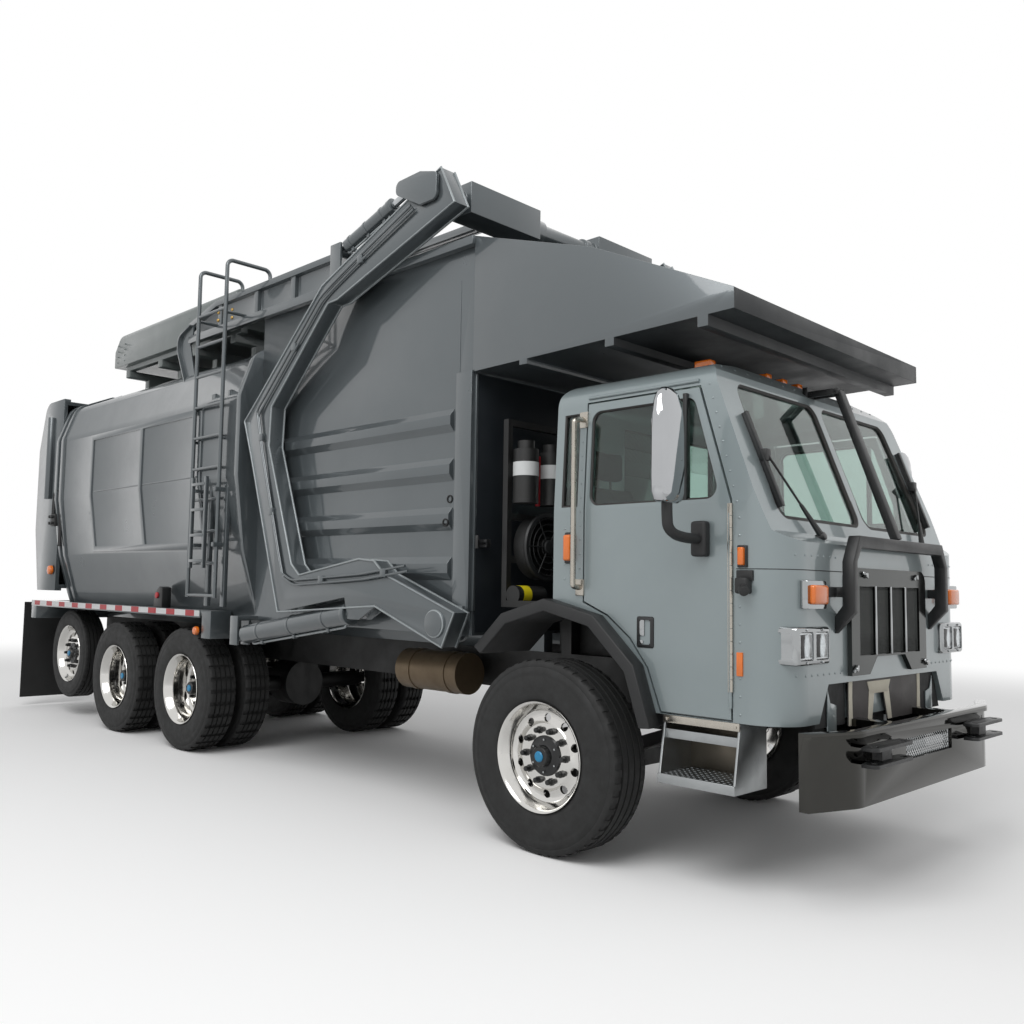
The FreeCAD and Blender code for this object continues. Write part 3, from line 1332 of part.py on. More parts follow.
def rack():
    """The frame behind the cab with its fan, cooler, canisters and strainer."""
    front = behind("rack_front_behind")
    back = behind("rack_behind")
    pieces = [box("rack_shelf", (back, front), ("-rack_half_width", "rack_half_width"),
                  ("rack_low", "rack_low + rack_tube"))]
    for name, sign in (("right", "-"), ("left", "")):
        inner = f"{sign} (rack_half_width - rack_tube)"
        across = ("-rack_half_width", inner) if sign else (inner, "rack_half_width")
        pieces.append(box(f"rack_post_{name}", (f"{back}", f"{back} + rack_tube"), across,
                          ("rack_low", "rack_high")))
        pieces.append(box(f"rack_leg_{name}", (back, f"{back} + 2 * rack_tube"), over_rail(sign),
                          ("rail_top", "rack_low")))
    for name, height in (("high", "rack_high - rack_tube"),
                         ("middle", "fan_height + fan_radius - rack_tube"),
                         ("strap", "canister_height + canister_length - rack_tube")):
        pieces.append(box(f"rack_bar_{name}", (back, f"{back} + rack_tube"),
                          ("-rack_half_width", "rack_half_width"),
                          (height, f"{height} + rack_tube")))
    fan = cut("fan_ring", rod("fan_shell", "x", "fan_radius", f"{back} + rack_tube", "-fan_side",
                              "fan_height",
                              "fan_depth"),
              rod("fan_hole", "x", "fan_radius - fan_wall", f"{back} + rack_tube + fan_wall", "-fan_side",
                  "fan_height", "fan_depth + overrun"))
    pieces.append(fan)
    pieces.append(rod("fan_hub", "x", "fan_radius / 4", f"{back} + rack_tube", "-fan_side", "fan_height",
                      "fan_depth"))
    pieces.append(box("cooler", (back, front), ("fan_side / 4", "rack_half_width - 2 * rack_tube"),
                      ("rack_low", "(rack_low + rack_high) / 2")))
    for number in range(CANISTER_COUNT):
        side = f"-rack_half_width + canister_radius + {number} * canister_spacing"
        x = f"{back} + rack_tube + canister_radius"
        pieces.append(rod(f"canister_{number}", "z", "canister_radius", x, side, "canister_height",
                          "canister_length"))
        pieces.append(rod(f"canister_head_{number}", "z", "canister_radius * 2 / 3", x, side,
                          "canister_height + canister_length", "canister_radius * 2 / 3"))
        pieces.append(box(f"canister_strap_{number}", (back, x),
                          (f"{side} - rack_tube / 2", f"{side} + rack_tube / 2"),
                          ("canister_height + canister_length - rack_tube",
                           "canister_height + canister_length")))
    pieces.append(box("fan_stay", (back, f"{back} + rack_tube"), ("-rack_half_width", "-fan_side"),
                      ("fan_height - fan_radius / 2", "fan_height - fan_radius / 2 + rack_tube")))
    pieces.append(rod("strainer", "y", "strainer_radius", f"{back} + rack_tube + strainer_radius",
                      "-rack_half_width", "rack_low + rack_tube / 2 + strainer_radius", "strainer_length"))
    node("service_rack", fuse("rack_fused", *pieces))


TANK_BAND_SHARES = (0.16, 0.74)


def air_tanks():
    """The banded tanks under the rails behind the front wheels."""
    tank = rod("air_tank", "x", "air_tank_radius", behind("air_tank_behind"), "-air_tank_side",
               "air_tank_height",
               "air_tank_length")
    near = "-air_tank_side"
    far = "-rail_half_width"
    hanger = box("air_tank_hanger", (behind("air_tank_behind - air_tank_length / 3"),
                                     behind("air_tank_behind - 2 * air_tank_length / 3")), (near, far),
                 ("air_tank_height - rail_flange / 2", "air_tank_height + rail_flange / 2"))
    bands = []
    for number, share in enumerate(TANK_BAND_SHARES):
        start = behind(f"air_tank_behind - {share} * air_tank_length")
        bands.append(rod(f"air_tank_band_{number}", "x", "air_tank_radius + air_tank_band_proud", start,
                         "-air_tank_side", "air_tank_height", "air_tank_band"))
    node("air_tanks", both("air_tanks_pair", fuse("air_tank_fused", tank, hanger, *bands)))


# Body

RIB_COUNT = 4


def rib_outline(middle):
    """A pressed rib's section on the hopper's right side, as (across, up) places."""
    wall = "-hopper_half_width"
    crown = "-hopper_half_width - rib_depth"
    return [(wall, f"{middle} - rib_height / 2"), (wall, f"{middle} + rib_height / 2"),
            (crown, f"{middle} + rib_height / 5"), (crown, f"{middle} - rib_height / 5")]


def hopper():
    """The hopper: ribbed side walls, floor and front wall, open at the top and behind."""
    side = [("barrel_front_x", "body_floor"), ("barrel_front_x", "top_rail_high"),
            ("hopper_front_x", "top_rail_high"), ("hopper_front_x", "body_floor")]
    wall = pad("hopper_side", "XZ_Plane", side, "-hopper_half_width", "hopper_wall - hopper_half_width")
    pieces = [wall]
    for number in range(RIB_COUNT):
        share = number / (RIB_COUNT - 1)
        middle = f"rib_low + {share} * (rib_high - rib_low)"
        pieces.append(pad(f"rib_{number}", "YZ_Plane", rib_outline(middle), behind("rib_rear_behind"),
                          behind("rib_front_behind")))
    post = box("hopper_post", (behind("post_rear_behind"), "hopper_front_x"),
               ("-hopper_half_width - rib_depth", "-hopper_half_width"), ("post_low", "post_high"))
    plate = box("pivot_plate", (behind("arm_pivot_behind + 2 * arm_pivot_radius"),
                                behind("arm_pivot_behind - 2 * arm_pivot_radius")),
                ("-arm_inner + 3 * seat_gap", "-hopper_half_width + hopper_wall"),
                ("body_floor", "arm_pivot_height + 2 * arm_pivot_radius"))
    pin = rod("pivot_pin", "y", "arm_pivot_radius", "pivot_x", "-arm_outer - hopper_wall",
              "arm_pivot_height",
              "arm_outer + hopper_wall - arm_inner + hopper_wall")
    cap = rod("pivot_cap", "y", "arm_pivot_radius * 1.4", "pivot_x", "-arm_outer - hopper_wall",
              "arm_pivot_height", "hopper_wall - 3 * seat_gap")
    base = lift_bracket()
    pieces += [post, plate, pin, cap, base]
    right = fuse("hopper_right", *pieces)
    floor = box("hopper_floor", ("barrel_front_x", "hopper_front_x"),
                ("-hopper_half_width", "hopper_half_width"),
                ("body_floor", "floor_top"))
    front = box("hopper_front", ("hopper_front_x - hopper_wall", "hopper_front_x"),
                ("-hopper_half_width", "hopper_half_width"), ("body_floor", "hopper_front_wall_top"))
    parts = [right, mirror("hopper_left", right), floor, front]
    for name, sign in (("right", "-"), ("left", "")):
        parts.append(box(f"sill_{name}", ("barrel_front_x", "hopper_front_x"), over_rail(sign),
                         ("rail_top", "body_floor")))
    node("hopper", fuse("hopper_fused", *parts))


def lift_bracket():
    """The ears and pin that carry the lift cylinder's base, out from the body's side."""
    x = behind("lift_base_behind")
    low = "lift_base_height - 1.5 * lift_eye_radius"
    long = (f"{x} - lift_barrel_radius", f"{x} + 0.76 * lift_eye_radius")
    pieces = [
        box("lift_shelf", long,
            ("-arm_outer", "-hopper_half_width + hopper_wall"),
            ("body_floor", "body_floor + 3 * plate_thickness")),
        box("lift_ear_outer", long, ("-arm_outer", "-arm_outer + arm_ear"),
            (low, "body_floor + 3 * plate_thickness")),
        box("lift_ear_inner", long, ("-arm_inner - arm_ear", "-arm_inner"),
            (low, "body_floor + 3 * plate_thickness")),
        rod("lift_base_pin", "y", "cylinder_pin_radius", x, "-arm_outer", "lift_base_height",
            "arm_outer - arm_inner"),
    ]
    return fuse("lift_bracket", *pieces)


CANOPY_BEAM_SHARES = (0.08, 0.4, 0.75)


def canopy():
    """The shield over the cab: side plates with folded rims, a sloped floor on beams, and the lip."""
    rear = behind("canopy_rear_behind")
    tip = ahead("canopy_tip_ahead")
    lip_high = "canopy_tip_height + canopy_lip_rise"
    side = [(rear, "canopy_rear_low"), (rear, "top_rail_high"),
            (ahead("canopy_break_ahead"), "canopy_break_height"),
            (tip, lip_high), (tip, "canopy_tip_height")]
    plate = pad("canopy_side", "XZ_Plane", side, "-canopy_half_width", "canopy_skin - canopy_half_width")
    rim_line = [(rear, "top_rail_high - canopy_rim"), (rear, "top_rail_high"),
                (ahead("canopy_break_ahead"), "canopy_break_height"), (tip, lip_high),
                (tip, f"{lip_high} - canopy_rim"),
                (ahead("canopy_break_ahead"), "canopy_break_height - canopy_rim")]
    rim = pad("canopy_rim", "XZ_Plane", rim_line, "-canopy_half_width",
              "canopy_rim_depth - canopy_half_width")
    floor_line = [(rear, "hopper_front_wall_top"), (rear, "canopy_rear_low + canopy_skin"),
                  (tip, "canopy_tip_height + canopy_skin"), (tip, "canopy_tip_height")]
    sheet_floor = pad("canopy_floor", "XZ_Plane", floor_line, "-canopy_half_width", "canopy_half_width")
    lip = box("canopy_lip", (f"{tip} - canopy_skin", tip), ("-canopy_half_width", "canopy_half_width"),
              ("canopy_tip_height", lip_high))
    beams = []
    for number, share in enumerate(CANOPY_BEAM_SHARES):
        x = ahead(f"canopy_tip_ahead - {share} * (canopy_tip_ahead + canopy_rear_behind)")
        beams.append(box(f"canopy_beam_{number}", (f"{x} - canopy_beam", x),
                         ("-canopy_half_width", "canopy_half_width"),
                         ("canopy_tip_height - canopy_beam", "canopy_tip_height")))
    node("canopy", fuse("canopy_fused", plate, mirror("canopy_left", plate), rim,
                        mirror("canopy_rim_left", rim),
                        sheet_floor, lip, *beams))


HOOD_POST_SHARES = (0.03, 0.36, 0.66, 0.985)


def roof_rails():
    """The level tube along the top of each wall, and the framed side panels that stand on it."""
    tube = box("top_rail", (behind("top_rail_rear_behind"), "hopper_front_x"),
               ("-hopper_half_width - rail_tube", "-hopper_half_width"), ("top_rail_low", "top_rail_high"))
    front = behind("hood_front_behind")
    slope = behind("hood_slope_behind")
    rear = behind("hood_rear_behind")
    rear_high = "top_rail_high + hood_rear_rise"
    outer = "-hood_side - hood_tube"
    panel = pad("hood_panel", "XZ_Plane", [(rear, "top_rail_high"), (rear, rear_high), (slope, "hood_high"),
                                           (front, "hood_high"), (front, "top_rail_high")],
                "-hood_side", "hood_plate - hood_side")
    top = pad("hood_top_tube", "XZ_Plane", [
        (rear, f"{rear_high} - hood_tube"), (rear, rear_high), (slope, "hood_high"), (front, "hood_high"),
        (front, "hood_high - hood_tube"), (slope, "hood_high - hood_tube")], outer, "-hood_side")
    foot = box("hood_foot", (behind("top_rail_rear_behind"), front),
               ("-hopper_half_width - rail_tube", "-hood_side"),
               ("top_rail_high", "top_rail_high + hood_plate"))
    pieces = [tube, panel, top, foot]
    beams = []
    for number, share in enumerate(HOOD_POST_SHARES):
        x = behind(f"hood_front_behind + {share} * (hood_slope_behind - hood_front_behind)")
        pieces.append(box(f"hood_post_{number}", (x, f"{x} + hood_post"),
                          (f"{outer} + hood_plate", "-hood_side"),
                          ("top_rail_high", "hood_high - hood_tube / 2")))
    for name, x in (("front", behind("hood_roof_front_behind + hood_tube")),
                    ("rear", behind("tank_cover_front_behind - hood_gap"))):
        beams.append(box(f"hood_beam_{name}", (x, f"{x} + hood_tube"), ("-hood_side", "hood_side"),
                         ("hood_high - hood_plate - hood_tube", "hood_high - hood_plate")))
    roof = box("hood_roof", (behind("tank_cover_front_behind - hood_gap"), behind("hood_roof_front_behind")),
               ("-hood_side", "hood_side"), ("hood_high - hood_plate", "hood_high"))
    right = fuse("hood_right", *pieces)
    node("roof_rails", fuse("roof_rails_fused", right, mirror("hood_left", right), roof, *beams))


def barrel_outline(inset):
    half = [(f"barrel_bottom_side - {inset}", f"body_floor + {inset}"),
            (f"barrel_foot_side - {inset}", "barrel_foot_height"),
            (f"barrel_hip_side - {inset}", "barrel_hip_height"),
            (f"barrel_side - {inset}", "barrel_side_low"), (f"barrel_side - {inset}", "barrel_side_high"),
            (f"barrel_shoulder_side - {inset}", f"barrel_shoulder_height - {inset} / 2"),
            (f"barrel_roof_half - {inset} / 2", f"barrel_roof - {inset}")]
    return half + [(f"-({y})", z) for y, z in reversed(half)]


def barrel():
    """The load body behind the hopper: a tube with rounded shoulders, rings, and framed sides."""
    rounds = {index: "barrel_round" for index in (3, 4, 5, 8, 9, 10)}
    skin = pad("barrel_skin", "YZ_Plane", barrel_outline("0"), "barrel_rear_x", "barrel_front_x", rounds)
    inner = pad("barrel_inner", "YZ_Plane", barrel_outline("barrel_wall"), "barrel_rear_x - overrun",
                "barrel_front_x - barrel_wall / 2", rounds)
    throat = box("barrel_throat", ("barrel_front_x - barrel_wall", "barrel_front_x + overrun"),
                 ("hopper_wall - hopper_half_width", "hopper_half_width - hopper_wall"),
                 ("floor_top", "barrel_shoulder_height - barrel_wall"))
    ring_places = ("barrel_front_x - ring_width", "barrel_rear_x", "barrel_rear_x + ring_width + ring_gap")
    rings = [pad(f"barrel_ring_{number}", "YZ_Plane", barrel_outline("(0 - ring_proud)"), start,
                 f"{start} + ring_width", rounds) for number, start in enumerate(ring_places)]
    above_deck = box("above_deck", ("barrel_rear_x", "barrel_front_x"),
                     ("-barrel_side - overrun", "barrel_side + overrun"),
                     ("deck_top + seat_gap", "barrel_roof + overrun"))
    rings_cut = common("barrel_rings", fuse("barrel_rings_fused", *rings), above_deck)
    shell = fuse("barrel_shell", skin, rings_cut, side_frames(rounds))
    pieces = []
    for name, sign in (("right", "-"), ("left", "")):
        pieces.append(box(f"barrel_sill_{name}", (behind("rail_behind"), "barrel_front_x"), over_rail(sign),
                          ("rail_top", "body_floor")))
        middle = f"{sign} barrel_roof_half * gate_lug_share"
        pieces.append(box(f"gate_lug_{name}", ("barrel_rear_x", "barrel_rear_x + 3 * overrun"),
                          (f"{middle} - overrun / 2", f"{middle} + overrun / 2"),
                          ("barrel_roof - overrun / 2", "gate_pin_height + gate_pin_radius * 2")))
        pieces.append(box(f"gate_hook_{name}", (behind("gate_pin_behind + gate_pin_radius * 1.6"),
                                                "barrel_rear_x"),
                          (f"{middle} - overrun / 2", f"{middle} + overrun / 2"),
                          ("gate_pin_height - gate_pin_radius * 1.6",
                           "gate_pin_height + gate_pin_radius * 2")))
        pieces.append(rod(f"gate_pin_{name}", "y", "gate_pin_radius", behind("gate_pin_behind"),
                          f"{middle} - overrun * 1.5", "gate_pin_height", "overrun * 3"))
    horn = rail_horn()
    hollow = cut("barrel_hollow", fuse("barrel_with_horns", shell, horn, mirror("rail_horn_left", horn)),
                 inner,
                 throat)
    node("barrel_body", fuse("barrel_fused", hollow, *pieces))


def side_frames(rounds):
    """The flat bar frames on the barrel's sides, with a post in the middle of each."""
    proud = pad("side_frame_skin", "YZ_Plane", barrel_outline("(0 - side_frame_proud)"),
                behind("side_frame_rear_behind"), behind("side_frame_front_behind"), rounds)
    middle = "(side_frame_front_behind + side_frame_rear_behind) / 2"
    across = ("-barrel_side - overrun", "barrel_side + overrun")
    high = ("side_frame_low + side_frame_bar", "side_frame_high - side_frame_bar")
    band = box("side_frame_band", (behind("side_frame_rear_behind"), behind("side_frame_front_behind")),
               across,
               ("side_frame_low", "side_frame_high"))
    bays = [box("side_bay_front", (behind(f"{middle} - side_frame_bar / 2"),
                                   behind("side_frame_front_behind + side_frame_bar")), across, high),
            box("side_bay_rear", (behind("side_frame_rear_behind - side_frame_bar"),
                                  behind(f"{middle} + side_frame_bar / 2")), across, high)]
    return cut("side_frames", common("side_frame_common", proud, band), *bays)


def rail_horn():
    """The curved bracket on the barrel's shoulder that carries the rear end of the top rail."""
    foot = "barrel_side_high"
    rear = behind("horn_rear_behind")
    bend_height = "top_rail_high - horn_straight_drop"
    shoulder = "top_rail_high + horn_shoulder_rise"
    peak = "top_rail_high + horn_rise"
    front = behind("horn_front_behind")
    line = [(behind("horn_foot_behind"), foot), (rear, bend_height), (rear, shoulder), (front, peak)]
    thick = "horn_plate"
    back_line = [(front, f"{peak} - {thick}"), (f"{rear} + {thick}", f"{shoulder} - {thick}"),
                 (f"{rear} + {thick}", bend_height), (behind(f"horn_foot_behind - {thick}"), foot)]
    middle = "-hopper_half_width - rail_tube / 2"
    flange = pad("horn_flange", "XZ_Plane", line + back_line, f"{middle} - horn_flange / 2",
                 f"{middle} + horn_flange / 2", {2: "horn_round", 5: "horn_round"})
    web_front = behind("top_rail_rear_behind + seat_gap")
    over_foot = "top_rail_high + hood_plate + seat_gap"
    web = pad("horn_web", "XZ_Plane", line[:3] + [
        (front, peak), (front, over_foot), (web_front, over_foot), (web_front, "top_rail_low"),
        (behind("horn_foot_behind - horn_flange"), foot)], f"{middle} - horn_plate / 2",
        f"{middle} + horn_plate / 2", {2: "horn_round"})
    return fuse("rail_horn", flange, web)


def gate_outline(inset):
    front = "barrel_rear_x - plate_thickness" + (" + 2 * overrun" if inset == "gate_wall" else "")
    return [(front, f"gate_low + {inset}"), (front, f"gate_high - {inset}"),
            (f"barrel_rear_x - gate_depth_high + {inset}", f"gate_high - {inset}"),
            (f"barrel_rear_x - gate_depth_mid + {inset}", "gate_mid_high"),
            (f"barrel_rear_x - gate_depth_mid + {inset}", "gate_mid_low"),
            (f"barrel_rear_x - gate_depth_low + {inset}", f"gate_low + {inset}")]


def tailgate():
    """The curved tailgate, hollow towards the load, with rims, lift tubes and its two top ears."""
    bends = {2: "barrel_round", 3: "barrel_round", 4: "barrel_round"}
    outer = pad("gate_skin", "XZ_Plane", gate_outline("0"), "-gate_half_width", "gate_half_width", bends)
    inner = pad("gate_inner", "XZ_Plane", gate_outline("gate_wall"), "gate_wall - gate_half_width",
                "gate_half_width - gate_wall", bends)
    rims = []
    ears = []
    bores = []
    for name, sign in (("right", "-"), ("left", "")):
        side = f"{sign} gate_half_width"
        rims.append(pad(f"gate_rim_{name}", "XZ_Plane", gate_outline("(0 - gate_rim_proud)"),
                        side if sign else f"{side} - gate_rim_width",
                        f"{side} + gate_rim_width" if sign else side,
                        bends))
        rims.append(rod(f"gate_tube_{name}", "z", "gate_tube_radius", "barrel_rear_x - gate_tube_inset",
                        f"{sign} (gate_half_width + gate_tube_radius / 2)", "gate_tube_low",
                        "gate_tube_high - gate_tube_low"))
        middle = f"{sign} barrel_roof_half * gate_lug_share"
        for number, off in (("a", "- overrun"), ("b", "+ overrun")):
            near = f"{middle} {off} - overrun / 3"
            far = f"{middle} {off} + overrun / 3"
            ears.append(box(f"gate_ear_{name}_{number}",
                            ("barrel_rear_x - gate_depth_high / 2",
                             behind("gate_pin_behind - gate_pin_radius / 2")),
                            (near, far),
                            ("gate_high - gate_wall", "gate_pin_height + gate_pin_radius * 1.7")))
        bores.append(rod(f"gate_bore_{name}", "y", "gate_pin_radius + seat_gap", behind("gate_pin_behind"),
                         f"{middle} - overrun * 2", "gate_pin_height", "overrun * 4"))
    shell = cut("gate_hollow", fuse("gate_rimmed", outer, *rims), inner)
    node("tailgate", cut("gate_cut", fuse("gate_fused", shell, *ears), *bores))


def packer():
    """The packing blade: a sloped face in front of a box that fills the hopper's width."""
    front = behind("packer_front_behind")
    back = behind("packer_front_behind + packer_depth")
    side = "hopper_half_width - hopper_wall - packer_side_gap"
    low = "floor_top + seat_gap"
    face = [(back, low), (back, "packer_top - packer_depth"), (behind("packer_front_behind + packer_wall"),
                                                               "packer_top"),
            (front, "packer_top"), (front, low)]
    hollow = [(f"{back} + packer_wall", f"{low} - overrun"),
              (f"{back} + packer_wall", "packer_top - packer_depth - packer_wall"),
              (f"{front} + overrun", "packer_top - packer_depth - packer_wall"),
              (f"{front} + overrun", f"{low} - overrun")]
    block = pad("packer_block", "XZ_Plane", face, f"-({side})", side)
    inner = pad("packer_inner", "XZ_Plane", hollow, f"packer_wall - ({side})", f"{side} - packer_wall")
    node("packer", cut("packer_cut", block, inner))


TANK_FOOT_SHARES = (0, 0.33, 0.66, 1)


def tank_cover():
    """The long cover over the fuel tanks on the roof, on its two beams and their feet."""
    half = "tank_cover_half_width"
    section = [(f"-{half}", "cover_low"), (f"-{half}", "cover_high"), (half, "cover_high"),
               (half, "cover_low")]
    rear = behind("tank_cover_rear_behind")
    front = behind("tank_cover_front_behind")
    side = [(rear, "cover_low"), (rear, "cover_high - tank_cover_slant_height"),
            (f"{rear} + tank_cover_slant", "cover_high"), (front, "cover_high"), (front, "cover_low")]
    cover = common("tank_cover", pad("tank_cover_section", "YZ_Plane", section, rear, front,
                                     {1: "tank_cover_edge", 2: "tank_cover_edge"}),
                   pad("tank_cover_side", "XZ_Plane", side, f"-{half}", half))
    pieces = [cover]
    for name, sign in (("right", "-"), ("left", "")):
        middle = f"{sign} tank_beam_side"
        pieces.append(box(f"tank_beam_{name}", (f"{rear} + tank_cover_slant", front),
                          (f"{middle} - tank_beam / 2", f"{middle} + tank_beam / 2"),
                          ("cover_low - tank_beam_height", "cover_low")))
    for number, share in enumerate(TANK_FOOT_SHARES):
        x = behind(f"tank_cover_front_behind + tank_foot_width + {share} * (tank_cover_rear_behind"
                   " - tank_cover_slant - tank_cover_front_behind - 2 * tank_foot_width)")
        pieces.append(box(f"tank_foot_{number}", (f"{x} - tank_foot_width", x),
                          ("-tank_beam_side - tank_beam / 2", "tank_beam_side + tank_beam / 2"),
                          ("cover_low - tank_beam_height - tank_beam", "cover_low - tank_beam_height")))
        pieces.append(box(f"tank_post_{number}", (f"{x} - tank_foot_width", x),
                          ("-barrel_roof_half * 0.9", "barrel_roof_half * 0.9"),
                          ("barrel_roof", "cover_low - tank_beam_height - tank_beam")))
    node("roof_tank_cover", fuse("tank_cover_fused", *pieces))


def ladder():
    """The ladder on the right side: hand loops that land on the roof, round rungs and wall stays."""
    pieces = []
    foot_z = "top_rail_high + hood_plate + ladder_rung_radius + seat_gap"
    turn_high = "ladder_high - ladder_bend"
    rails = (("front", "ladder_front_behind", "hood_high"), ("rear", "ladder_rear_behind", "cover_high"))
    for name, behind_axle, landing in rails:
        x = behind(behind_axle)
        pieces += [
            rod(f"ladder_rail_{name}", "z", "ladder_tube", x, "-ladder_side", "ladder_low",
                f"{turn_high} - ladder_low"),
            elbow(f"ladder_bend_out_{name}", "ladder_tube", "ladder_bend", x, "ladder_bend - ladder_side",
                  turn_high, -Y_AXIS, Z_AXIS),
            rod(f"ladder_top_{name}", "y", "ladder_tube", x, "ladder_bend - ladder_side", "ladder_high",
                "ladder_side - ladder_inner_side - 2 * ladder_bend"),
            elbow(f"ladder_bend_in_{name}", "ladder_tube", "ladder_bend", x,
                  "-ladder_inner_side - ladder_bend",
                  turn_high, Z_AXIS, Y_AXIS),
            rod(f"ladder_drop_{name}", "z", "ladder_tube", x, "-ladder_inner_side", f"{landing} + seat_gap",
                f"{turn_high} - ({landing}) - seat_gap"),
            rod(f"ladder_stay_high_{name}", "y", "ladder_rung_radius", x, "-ladder_side", foot_z,
                "ladder_side - hopper_half_width"),
            rod(f"ladder_stay_{name}", "y", "ladder_rung_radius", x, "-ladder_side",
                "(barrel_side_low + barrel_side_high) / 2", "ladder_side - barrel_side - seat_gap"),
        ]
    count = SIZES["ladder_step_count"]
    for number in range(count):
        height = f"ladder_low + ladder_tube + {number} * (cover_low - ladder_low) / (ladder_step_count - 1)"
        pieces.append(rod(f"ladder_step_{number}", "x", "ladder_rung_radius", behind("ladder_rear_behind"),
                          "-ladder_side", height, "ladder_rear_behind - ladder_front_behind"))
    node("ladder", fuse("ladder_fused", *pieces))


def rear_deck():
    """The deck over the driven wheels on both sides, and the bar across the tail."""
    plate = box("deck_plate", (behind("deck_rear_behind"), behind("deck_front_behind")),
                ("-deck_side", "-deck_inner_side"), ("deck_top - deck_thickness", "deck_top"))
    front_box = box("deck_box", (behind("deck_front_behind"), behind("deck_front_behind - tail_bar_depth")),
                    ("-deck_side", "-deck_inner_side"), ("body_floor - tail_bar_height", "deck_top"))
    bar = box("tail_bar", (behind("deck_rear_behind"), behind("rail_behind")), ("-deck_side", "deck_side"),
              ("deck_top - tail_bar_height - deck_thickness", "deck_top"))
    right = fuse("deck_right", plate, front_box)
    node("rear_deck", fuse("deck_fused", right, mirror("deck_left", right), bar))


def mud_flaps():
    """The rear flaps, hung on bars behind the tail."""
    flap = box("flap", (behind("tail_behind"), behind("tail_behind - flap_thickness")),
               ("-flap_side - flap_width / 2", "-flap_side + flap_width / 2"),
               ("flap_low", "deck_top - deck_thickness"))
    bar = box("flap_bar", (behind("tail_behind - flap_thickness"), behind("deck_rear_behind")),
              ("-flap_side - overrun / 2", "-flap_side + overrun / 2"),
              ("deck_top - deck_thickness - overrun", "deck_top - deck_thickness"))
    node("mud_flaps", both("mud_flaps_pair", fuse("flap_fused", flap, bar)))


# Lift arms and forks

ARM_SHARES = (
    (-0.0748, 0.0253), (-0.0248, -0.0502), (0.253, 0.0325), (0.7546, 0.0061), (0.9165, 0.4263),
    (0.9664, 0.5426),
    (0.859, 0.6152), (0.5091, 0.8602), (-0.0503, 1.0376), (-0.1011, 0.9436), (0.4281, 0.81),
    (0.4779, 0.8085),
    (0.7979, 0.5676), (0.8116, 0.4595), (0.6761, 0.1333), (0.6322, 0.1044), (0.3263, 0.1441),
    (0.2551, 0.1391),
    (0.2104, 0.1084),
)


def arm_outline():
    """The bent arm seen from the side, from the pivot round under the heel to the tip and back.

    Each corner lies behind the line from pivot to tip by a share of the arm's reach, at a share
    of its rise. The lug for the lift cylinder follows its own pin.
    """
    lug = "lift_lug_behind"
    lug_points = [(behind(f"{lug} - 1.2 * lift_eye_radius"), "lift_lug_height - lift_eye_radius"),
                  (behind(f"{lug} + 1.2 * lift_eye_radius"), "lift_lug_height - lift_eye_radius"),
                  (behind(f"{lug} + 2 * lift_eye_radius"), "lift_lug_height + 1.9 * lift_eye_radius")]
    lean = "(arm_tip_behind - arm_pivot_behind)"
    points = []
    for back, up in ARM_SHARES:
        points.append((behind(f"arm_pivot_behind + ({up}) * {lean} + ({back}) * arm_reach_back"),
                       f"arm_pivot_height + ({up}) * (arm_rise)"))
    return points[:3] + lug_points + points[3:]


def lift_arms():
    """The pair of arms, slotted for the lift cylinders' eyes, with ears for the fork cylinders."""
    blank = pad("arm_blank", "XZ_Plane", arm_outline(), "-arm_outer", "-arm_inner")
    slot = box("lift_slot", (behind("lift_lug_behind + 3 * lift_eye_radius"),
                             behind("arm_pivot_behind + 4 * arm_pivot_radius")),
               ("-arm_outer + arm_ear", "-arm_inner - arm_ear"),
               ("lift_lug_height - 2 * lift_eye_radius", "lift_lug_height + 1.7 * lift_eye_radius"))
    pivot = rod("arm_bore", "y", "arm_pivot_radius + seat_gap", "pivot_x", "-arm_outer - overrun",
                "arm_pivot_height",
                "arm_outer - arm_inner + 2 * overrun")
    tip = rod("tip_bore", "y", "fork_tube_radius + seat_gap", "tip_x", "-arm_outer - overrun",
              "arm_tip_height",
              "arm_outer - arm_inner + 2 * overrun")
    ear_x = (behind("fork_base_behind + 1.4 * fork_eye_radius"),
             behind("fork_base_behind - 1.4 * fork_eye_radius"))
    ear_z = ("fork_base_height - 8 * fork_eye_radius", "fork_base_height + fork_eye_radius")
    ears = [
        box("fork_ear_outer", ear_x, ("-arm_outer", "-arm_outer + arm_ear"), ear_z),
        box("fork_ear_inner", ear_x, ("-arm_inner - arm_ear", "-arm_inner"), ear_z),
        rod("fork_base_pin", "y", "cylinder_pin_radius", behind("fork_base_behind"), "-arm_outer",
            "fork_base_height", "arm_outer - arm_inner"),
    ]
    body = fuse("arm_fused", cut("arm_cut", blank, slot, pivot, tip), *ears)
    node("lift_arms", both("lift_arms_pair", body))


